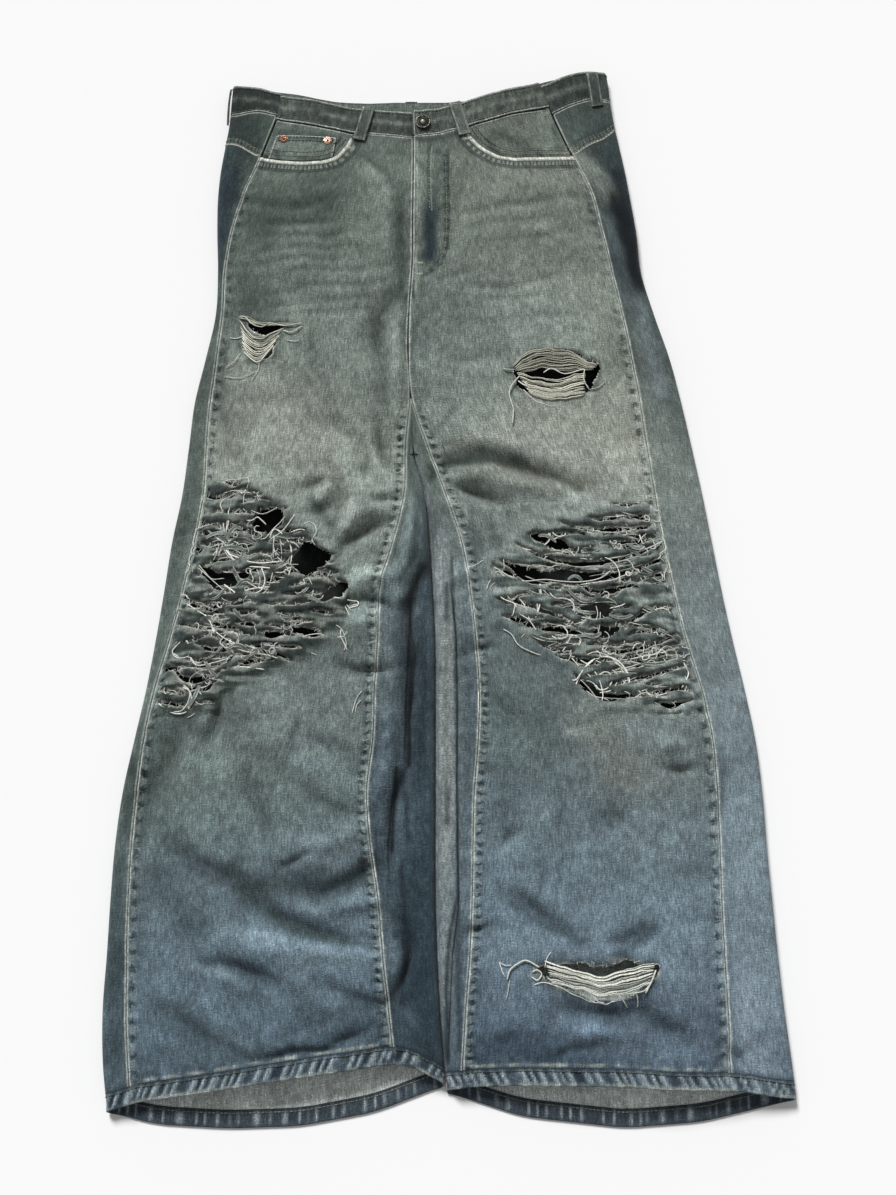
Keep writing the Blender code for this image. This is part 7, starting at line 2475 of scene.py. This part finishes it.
def fitting_place(side, part, y, clear):
    s = np.array(FRONT + part)
    normal = path_normal(side, s, np.array(y))
    return path(side, s, np.array(y)) + clear * normal, normal


def shank_button(settings, dark, light):
    """A tack button: a dished cap with a rolled rim and a raised boss on a short shank."""
    r = settings.button_radius
    low = float(band_line("right", np.array(BUTTON_PART)))
    centre, normal = fitting_place("right", BUTTON_PART, low + BUTTON_RISE, 0.5 * CLOTH)
    parts = [
        disc(0.55 * r, 0.0014, 0.0, dark, 0.0001),
        disc(0.96 * r, 0.0009, 0.0012, dark, 0.0003),
        ring(0.88 * r, 0.00075, 0.0021, light, 0.75),
        ring(0.46 * r, 0.00035, 0.00215, dark, 0.7),
        nub(0.34 * r, 0.0006, 0.0021, light),
    ]
    return assembled("jeans_button", parts, centre, normal)


def pocket_rivet(settings, index, copper, dark):
    """A burred rivet: a flat copper cap with a rolled rim round its dark tip."""
    r = settings.rivet_radius
    part = RIVET_PARTS[index]
    y = float(np.interp(part, COIN_PARTS, COIN_TOP_Y)) - RIVET_DROP
    centre, normal = fitting_place("left", part, y, 0.5 * CLOTH + 0.0002)
    parts = [
        disc(0.98 * r, 0.0005, 0.0, copper, 0.0002),
        ring(0.66 * r, 0.00055, 0.0006, copper, 0.8),
        nub(0.30 * r, 0.0004, 0.0005, dark),
    ]
    return assembled(f"rivet_cap_{index + 1}", parts, centre, normal)


# ---------------------------------------------------------------- materials


class Reading:
    """What a socket of a node gives at each point. Sums of readings become Math nodes."""

    def __init__(self, socket):
        self.socket = socket
        self.tree = socket.id_data

    def worked(self, operation, *others):
        return add_node(self.tree, "Math", (self, *others), operation=operation)

    def __add__(self, other):
        return self.worked("ADD", other)

    def __sub__(self, other):
        return self.worked("SUBTRACT", other)

    def __rsub__(self, other):
        return add_node(self.tree, "Math", (other, self), operation="SUBTRACT")

    def __mul__(self, other):
        return self.worked("MULTIPLY", other)

    def __truediv__(self, other):
        return self.worked("DIVIDE", other)


def connect(node, inputs):
    """Sets a node's inputs, by name or by place, to values or to what other nodes give."""
    for key, value in inputs.items():
        if isinstance(value, Reading):
            node.id_data.links.new(value.socket, node.inputs[key])
        else:
            node.inputs[key].default_value = value


def add_node(tree, kind, inputs=(), output=0, **settings):
    """Adds a node with its settings and links, and gives what one of its outputs reads."""
    node = tree.nodes.new("ShaderNode" + kind)
    for name, value in settings.items():
        setattr(node, name, value)
    connect(node, inputs if isinstance(inputs, dict) else dict(enumerate(inputs)))
    return Reading(node.outputs[output])


def parts_of(vector):
    """The three numbers of a vector."""
    split = add_node(vector.tree, "SeparateXYZ", (vector,))
    return [Reading(socket) for socket in split.socket.node.outputs]


def marks_at(tree, name):
    """The three numbers of one of the MARKS."""
    return parts_of(add_node(tree, "Attribute", output="Vector", attribute_name=name))


def lumps(where, size, detail=2.0, stretch=(1, 1, 1)):
    """Noise with lumps of a size in metres, drawn out by a stretch on each axis."""
    scale = tuple(1 / (size * factor) for factor in stretch)
    placed = add_node(where.tree, "Mapping", {"Vector": where, "Scale": scale})
    texture = {"Vector": placed, "Scale": 1.0, "Detail": detail, "Roughness": 0.6}
    return add_node(where.tree, "TexNoise", texture, output="Fac")


def bell(reading, centre, width):
    """1 where a reading is at the centre, falling softly to 0 a couple of widths away."""
    off = (reading - centre) / width
    return (off * off * -1.0).worked("EXPONENT")


def bunches(phase, blotch, drift):
    """A wave along a seam, from -1 to 1, that the blotches push to and fro."""
    return ((phase + blotch * drift) * (2 * math.pi)).worked("COSINE")


def blended(base, shade, amount):
    """A base colour moved towards a shade by an amount from 0 to 1."""
    inputs = {"Factor": amount, 6: base, 7: (*linear(shade), 1)}
    return add_node(base.tree, "Mix", inputs, output=2, data_type="RGBA")


def scaled(colour, gain):
    return add_node(gain.tree, "VectorMath", {0: colour, "Scale": gain}, operation="SCALE")


def seam_shading(dye, blotch):
    """Rubbed welts beside a seam, the dark line between them, and its dark bunches."""
    gap, bunch, phase = marks_at(dye.tree, "seam")
    wave = bunches(phase, blotch, 1.1) * 0.95 + 0.12
    wave = wave.worked("MAXIMUM", 0.0).worked("MINIMUM", 1.0)
    hollow = bell(gap, 0.0060, 0.0036) * bunch * wave
    crest = bell(gap, 0.0045, 0.0030) * bunch * (1.0 - wave)
    welt = bell(gap, 0.0013, 0.00065) * (blotch * 1.35)
    line = bell(gap, 0.0, 0.00055)
    colour = blended(dye, "#1d2a2f", hollow * 0.86)
    colour = blended(colour, "#98a29d", crest * 0.30)
    colour = blended(colour, "#bcc2ba", welt)
    colour = blended(colour, "#0f181c", line * 0.95)
    return colour, welt * 0.8 - hollow


def edge_shading(base, blotch):
    """A thick rubbed edge, then lumps between two stitched grooves, then a dark line."""
    gap, strength, phase = marks_at(base.tree, "edge")
    wave = (bunches(phase, blotch, 0.9) + 1.0) * 0.5
    body = bell(gap, 0.0082, 0.0027) * strength
    grooves = (bell(gap, 0.0053, 0.0007) + bell(gap, 0.0112, 0.0007)) * strength
    rim = bell(gap, 0.0016, 0.0020) * strength * (blotch + 0.45)
    below = bell(gap, 0.0134, 0.0015) * strength
    colour = blended(base, "#1d2628", body * (1.0 - wave) * 0.80)
    colour = blended(colour, "#959d92", body * wave * 0.50)
    colour = blended(colour, "#11191b", grooves * 0.75)
    colour = blended(colour, "#d6d7cc", rim)
    return blended(colour, "#141c1d", below * 0.62)


def fly_shading(base, blotch):
    """The dark lines over the placket's edge and along the fly's stitching."""
    placket, sewn, phase = marks_at(base.tree, "fly")
    hollow = bell(sewn, 0.0, 0.0030) * (bunches(phase, blotch, 1.3) * 0.7 + 0.3)
    colour = blended(base, "#18232a", hollow * 0.85)
    colour = blended(colour, "#131c1f", bell(sewn, 0.0027, 0.0007) * 0.55)
    colour = blended(colour, "#131c1f", bell(placket, 0.0, 0.0008) * 0.85)
    return blended(colour, "#8f978c", bell(placket, 0.0020, 0.0009) * 0.45)


def fold_shading(base):
    """The shadow in a fold pressed hard beside an inseam."""
    gap, depth, _ = marks_at(base.tree, "fold")
    return blended(base, "#0e171b", bell(gap, 0.0, 0.0012) * (depth * 0.85))


def new_material(name):
    material = bpy.data.materials.new(name)
    material.use_nodes = True
    tree = material.node_tree
    return material, tree, tree.nodes["Principled BSDF"]


def dye_of(tree):
    return add_node(tree, "Attribute", output="Color", attribute_name="dye")


def embossed(height, strength, distance):
    """The normal of a surface raised by a height from 0 to 1 times a distance in metres."""
    inputs = {"Height": height, "Strength": strength, "Distance": distance}
    return add_node(height.tree, "Bump", inputs)


def denim_material(name, weave=1.0):
    """Washed cotton denim: matt, dry and slightly fuzzy, with slubs running along the warp."""
    material, tree, shader = new_material(name)
    where = add_node(tree, "UVMap", uv_map="cloth")
    # Real warp yarns lie 0.45 mm apart. They are drawn 1.4 mm wide so that they show.
    slub = lumps(where, 0.0014, 2.0, (1, 7, 1))
    weft = lumps(where, 0.0013, 2.0, (5, 1, 1))
    speck = lumps(where, 0.0013, 3.0)
    patch = lumps(where, 0.0070, 3.0, (1, 1.6, 1))
    across, up, _ = parts_of(where)
    # The twill's ribs are 0.9 mm apart in the cloth and 1.7 mm apart here, for the same reason.
    rib = ((across + up * 0.6) * (2 * math.pi / 0.0017)).worked("SINE")
    total = 0.0
    for source, amount in ((slub, 1.9), (weft, 0.9), (speck, 2.3), (patch, 1.2)):
        total = (source - 0.5) * (amount * weave) + total
    total = rib * (0.045 * weave) + total
    gain = (total * 1.05).worked("EXPONENT")
    blotch = lumps(where, 0.0050, 2.0)
    # the dye with the seams' rubbed welts and bunches, the edges' and the fly's dark lines, and the
    # painted shadow of pressed folds
    worn, welts = seam_shading(dye_of(tree), blotch)
    worn = fold_shading(fly_shading(edge_shading(worn, blotch), blotch))
    connect(shader, {
        "Base Color": scaled(worn, gain), "Normal": embossed(welts * 1.6 + total, 0.6, 0.0006),
        "Roughness": 0.92, "Specular IOR Level": 0.18, "Sheen Weight": 0.10,
        "Sheen Roughness": 0.5})
    return material


def yarn_material(name, rough, sheen):
    """Spun cotton yarn: matt, with a soft halo of fibres and a slight twist in its shade."""
    material, tree, shader = new_material(name)
    where = add_node(tree, "TexCoord", output="Object")
    # Twist repeats about every millimetre along a yarn.
    twist = lumps(where, 0.0010, 2.0)
    connect(shader, {
        "Base Color": scaled(dye_of(tree), twist * 2.4 + -0.22), "Normal": embossed(twist, 0.5, 0.0003),
        "Roughness": rough, "Specular IOR Level": 0.2, "Sheen Weight": sheen,
        "Sheen Roughness": 0.5})
    return material


def metal_material(name, clean, grime, rough):
    """Plated metal rubbed by wear: bright, with scuffs and spots of dull grime scattered over it."""
    material, tree, shader = new_material(name)
    where = add_node(tree, "TexCoord", output="Object")
    # Scuffs and spots of tarnish about a millimetre across.
    spots = lumps(where, 0.0013, 4.0)
    limits = {"Value": spots, "From Min": 0.42, "From Max": 0.62}
    amount = add_node(tree, "MapRange", limits)
    shades = {"Factor": amount, 6: (*linear(clean), 1), 7: (*linear(grime), 1)}
    connect(shader, {
        "Base Color": add_node(tree, "Mix", shades, output=2, data_type="RGBA"),
        "Roughness": amount * 0.25 + rough, "Normal": embossed(spots, 0.25, 0.0002),
        "Metallic": 1.0})
    return material


def floor_material(colour):
    """Matt white paper, seamless, with no texture that would show at this distance."""
    material, tree, shader = new_material("matt_white_paper")
    where = add_node(tree, "TexCoord", output="Object")
    # Paper fibre, about 2 mm, drawn very faint.
    gain = lumps(where, 0.002, 2.0) * 0.01 + 0.995
    connect(shader, {
        "Base Color": scaled(tuple(colour), gain), "Roughness": 1.0, "Specular IOR Level": 0.0})
    return material


# Each finish: the function that makes it, with the values that it needs.
FINISHES = {
    "front_denim": (denim_material, "washed_cotton_denim_front"),
    "back_denim": (denim_material, "washed_cotton_denim_back", 0.9),
    "band_denim": (denim_material, "layered_cotton_denim_band", 1.1),
    "hem_denim": (denim_material, "roped_cotton_denim_hem", 1.1),
    "yarn": (yarn_material, "broken_cotton_weft_yarn", 0.9, 0.2),
    "stitching": (yarn_material, "cotton_wrapped_sewing_thread", 0.75, 0.1),
    "button_dark": (metal_material, "tarnished_brass_button_well", "#2e2f2a", "#151614", 0.5),
    "button_light": (metal_material, "rubbed_brass_button_rim", "#6f7068", "#35362f", 0.38),
    "copper": (metal_material, "plated_copper_rivet_cap", "#c9a592", "#7a4f3e", 0.35),
    "worn_copper": (metal_material, "worn_brown_copper_rivet_cap", "#8a6250", "#3f2b22", 0.45),
    "rivet_tip": (metal_material, "tarnished_copper_rivet_tip", "#4a3128", "#241a16", 0.5),
}


def material_for(key):
    """The shared material of a key, made when it is first asked for."""
    make, name, *values = FINISHES[key]
    return bpy.data.materials.get(name) or make(name, *values)


# ---------------------------------------------------------------- finishing pieces and their cut sizes


def settle(obj, slot, *nodes):
    """Finishes a piece: it rides on the root body and stands for its CAD nodes."""
    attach(obj, "root")
    if nodes:
        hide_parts(*nodes)
    return obj


def declare(obj, flat, area, rests_on, with_pieces=()):
    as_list(rests_on)
    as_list(with_pieces)


# Each pattern piece as cut, in metres: the width and length of its rectangle, and its area.
CUTS = {
    "front": ((0.29, 0.97), 0.205),
    "back": ((0.40, 0.97), 0.300),
    "yoke": ((0.25, 0.070), 0.0125),
    "front_band": ((0.17, 0.041), 0.0068),
    "back_band": ((0.52, 0.041), 0.0205),
    "hem": ((0.53, 0.028), 0.0140),
    "facing": ((0.12, 0.080), 0.0055),
    "coin": ((0.070, 0.032), 0.0015),
    "back_pocket": ((0.144, 0.152), 0.0180),
    "loop": ((0.013, 0.052), 0.00065),
    "hidden_loop": ((0.0102, 0.052), 0.00039),
}


# ---------------------------------------------------------------- the add-on


class JeansSettings(bpy.types.PropertyGroup):
    """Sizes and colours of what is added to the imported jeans."""

    stitch_length: FloatProperty(
        name="Stitch length", description="Length of one machine stitch",
        default=0.0031, min=0.001, max=0.006, unit="LENGTH", precision=4)
    stitch_pitch: FloatProperty(
        name="Stitch pitch", description="Distance from one stitch to the next",
        default=0.0037, min=0.0015, max=0.008, unit="LENGTH", precision=4)
    stitch_radius: FloatProperty(
        name="Sewing thread radius", description="Half the thickness of the sewing thread",
        default=0.00050, min=0.0001, max=0.001, unit="LENGTH", precision=5)
    stitch_colour: FloatVectorProperty(
        name="Sewing thread colour", description="Faded colour of the sewing thread",
        default=tuple(linear("#a9ad9d")), size=3, min=0, max=1, subtype="COLOR")
    button_radius: FloatProperty(
        name="Button radius", description="Radius of the waistband's button",
        default=0.0085, min=0.004, max=0.012, unit="LENGTH", precision=4)
    rivet_radius: FloatProperty(
        name="Rivet radius", description="Radius of a coin pocket rivet",
        default=0.0045, min=0.002, max=0.006, unit="LENGTH", precision=4)
    floor_colour: FloatVectorProperty(
        name="Floor colour", description="Colour of the paper that the jeans lie on",
        default=tuple(linear("#f3f3f3")), size=3, min=0, max=1, subtype="COLOR")
    key_strength: FloatProperty(
        name="Main light", description="Strength of the light from the waist's side",
        default=3.8, min=0, max=20)
    fill_strength: FloatProperty(
        name="Fill light", description="Strength of the even light from all round",
        default=0.30, min=0, max=5)


class JEANS_OT_fronts(bpy.types.Operator):
    """Build the two front panels and their torn parts"""

    bl_idname = "jeans.fronts"
    bl_label = "Front panels"

    def execute(self, context):
        material = material_for("front_denim")
        for side in SIDES:
            torn = []
            for name, area in AREAS.items():
                if area.side == side:
                    torn.append(settle(torn_area(name, material), "front_denim"))
                    if name in SHREDDED:
                        torn.append(settle(ribbons(name, material), "front_denim"))
            panel = settle(front_panel(side, material), "front_denim", "front_" + side)
            declare(panel, *CUTS["front"], ["back_panel_" + side], torn)
        return {"FINISHED"}


class JEANS_OT_backs(bpy.types.Operator):
    """Build the two back panels and the yokes, which wrap round the legs' edges"""

    bl_idname = "jeans.backs"
    bl_label = "Back panels and yokes"

    def execute(self, context):
        material = material_for("back_denim")
        for side in SIDES:
            panel = settle(back_panel(side, material), "back_denim", "back_" + side)
            declare(panel, *CUTS["back"], ["seat_patch_" + side])
            piece = settle(yoke(side, material), "back_denim", "yoke_" + side)
            declare(piece, *CUTS["yoke"], ["back_panel_" + side])
        return {"FINISHED"}


class JEANS_OT_hems(bpy.types.Operator):
    """Build the two turned and roped hems"""

    bl_idname = "jeans.hems"
    bl_label = "Hems"

    def execute(self, context):
        material = material_for("hem_denim")
        for side in SIDES:
            piece = settle(hem(side, material), "hem_denim", "hem_" + side)
            declare(piece, *CUTS["hem"], ["back_panel_" + side])
        return {"FINISHED"}


class JEANS_OT_waistband(bpy.types.Operator):
    """Build the waistband and its belt loops"""

    bl_idname = "jeans.waistband"
    bl_label = "Waistband and loops"

    def execute(self, context):
        material = material_for("band_denim")
        for side in SIDES:
            node = "waistband_front_" + side
            piece = settle(front_band(side, material), "band_denim", node)
            declare(piece, *CUTS["front_band"], ["back_band"])
        piece = settle(back_band(material), "band_denim", "waistband_back")
        declare(piece, *CUTS["back_band"], ["loop_centre_back"])
        for piece in belt_loops(material):
            settle(piece, "band_denim", piece.name.replace("loop_", "belt_loop_", 1))
            in_front = piece.name.startswith("loop_front")
            band = piece.name.replace("loop_front", "front_band") if in_front else "back_band"
            cut = "hidden_loop" if piece.name == "loop_side_left" else "loop"
            declare(piece, *CUTS[cut], [band])
        return {"FINISHED"}


class JEANS_OT_pockets(bpy.types.Operator):
    """Build the pocket facings, the coin pocket and the two seat pockets"""

    bl_idname = "jeans.pockets"
    bl_label = "Pockets"

    def execute(self, context):
        material = material_for("front_denim")
        for side in SIDES:
            node = "pocket_facing_" + side
            piece = settle(pocket_facing(side, material), "front_denim", node)
            declare(piece, *CUTS["facing"], ["front_panel_" + side])
        piece = settle(coin_pocket(material), "front_denim", "coin_pocket")
        declare(piece, *CUTS["coin"], ["facing_left"])
        material = material_for("back_denim")
        for side in SIDES:
            piece = settle(back_pocket(side, material), "back_denim", "back_pocket_" + side)
            declare(piece, *CUTS["back_pocket"], ["paper_floor"])
        return {"FINISHED"}


class JEANS_OT_yarns(bpy.types.Operator):
    """Lay the broken and whole weft yarns over the rips"""

    bl_idname = "jeans.yarns"
    bl_label = "Torn yarns"

    def execute(self, context):
        for name in AREAS:
            settle(torn_threads(name, material_for("yarn")), "front_denim")
        return {"FINISHED"}


class JEANS_OT_stitches(bpy.types.Operator):
    """Sew the rows of stitches and the bar tacks that show"""

    bl_idname = "jeans.stitches"
    bl_label = "Stitching"

    def execute(self, context):
        settings = context.scene.jeans
        settle(seam_stitches(settings, material_for("stitching")), "band_denim")
        return {"FINISHED"}


class JEANS_OT_button(bpy.types.Operator):
    """Set the waistband's button"""

    bl_idname = "jeans.button"
    bl_label = "Button"

    def execute(self, context):
        settings = context.scene.jeans
        piece = shank_button(settings, material_for("button_dark"), material_for("button_light"))
        settle(piece, "button_metal", "button")
        return {"FINISHED"}


class JEANS_OT_rivets(bpy.types.Operator):
    """Set the coin pocket's two rivets"""

    bl_idname = "jeans.rivets"
    bl_label = "Rivets"

    def execute(self, context):
        settings = context.scene.jeans
        for index in range(len(RIVET_PARTS)):
            metal = material_for(("copper", "worn_copper")[index])
            piece = pocket_rivet(settings, index, metal, material_for("rivet_tip"))
            settle(piece, "rivet_metal", f"coin_pocket_rivet_{index + 1}")
        return {"FINISHED"}


CAMERA_PLACE = (0.0018, -0.3909, 1.25)
CAMERA_TILT = math.radians(15)
CAMERA_LENS = 39.04
SENSOR_WIDTH = 36
FLOOR_SIZE = 8
FLOOR_DROP = 0.0003       # keeps the floor clear of the seat pockets that rest on it
KEY_AIM = (-0.45, 1.15, 1.00)     # from the jeans towards the main light
KEY_ANGLE = math.radians(18)      # how large it is in the sky, for soft shadows


class JEANS_OT_stage(bpy.types.Operator):
    """Lay a pale floor, set the studio's light and the camera"""

    bl_idname = "jeans.stage"
    bl_label = "Floor, light and camera"

    def execute(self, context):
        settings = context.scene.jeans
        scene = context.scene
        bpy.ops.mesh.primitive_plane_add(size=FLOOR_SIZE, location=(0, 0, 0))
        floor = context.active_object
        floor.name = "paper_floor"
        floor.location.z = -FLOOR_DROP
        bpy.ops.object.transform_apply(location=True, rotation=False, scale=False)
        floor.data.materials.append(floor_material(settings.floor_colour))
        key_data = bpy.data.lights.new("key", "SUN")
        key_data.energy = settings.key_strength
        key_data.angle = KEY_ANGLE
        key = bpy.data.objects.new("key", key_data)
        key.rotation_euler = Vector(KEY_AIM).to_track_quat("Z", "Y").to_euler()
        scene.collection.objects.link(key)
        world = bpy.data.worlds.new("studio")
        world.use_nodes = True
        sky = world.node_tree.nodes["Background"]
        sky.inputs["Color"].default_value = (1, 1, 1, 1)
        sky.inputs["Strength"].default_value = settings.fill_strength
        scene.world = world
        camera_data = bpy.data.cameras.new("camera")
        camera_data.lens = CAMERA_LENS
        camera_data.sensor_width = SENSOR_WIDTH
        camera = bpy.data.objects.new("camera", camera_data)
        camera.location = CAMERA_PLACE
        camera.rotation_euler = (CAMERA_TILT, 0, 0)
        scene.collection.objects.link(camera)
        scene.camera = camera
        scene.view_settings.view_transform = "Standard"
        return {"FINISHED"}


OPERATORS = (
    JEANS_OT_pockets, JEANS_OT_fronts, JEANS_OT_backs, JEANS_OT_hems, JEANS_OT_waistband,
    JEANS_OT_yarns, JEANS_OT_stitches, JEANS_OT_button, JEANS_OT_rivets, JEANS_OT_stage,
)


class JEANS_PT_builder(bpy.types.Panel):
    """Lists the jeans' building steps with their sizes and colours"""

    bl_label = "Ripped jeans"
    bl_idname = "JEANS_PT_builder"
    bl_space_type = "VIEW_3D"
    bl_region_type = "UI"
    bl_category = "Jeans"

    def draw(self, context):
        column = self.layout.column()
        for name in JeansSettings.__annotations__:
            column.prop(context.scene.jeans, name)
        for operator in OPERATORS:
            column.operator(operator.bl_idname)


CLASSES = (JeansSettings, *OPERATORS, JEANS_PT_builder)


def register():
    for cls in CLASSES:
        bpy.utils.register_class(cls)
    bpy.types.Scene.jeans = PointerProperty(type=JeansSettings)


def unregister():
    del bpy.types.Scene.jeans
    for cls in reversed(CLASSES):
        bpy.utils.unregister_class(cls)


def main():
    bpy.ops.object.select_all(action="DESELECT")
    register()
    for operator in OPERATORS:
        group, name = operator.bl_idname.split(".")
        getattr(getattr(bpy.ops, group), name)()


if __name__ == "__main__":
    main()
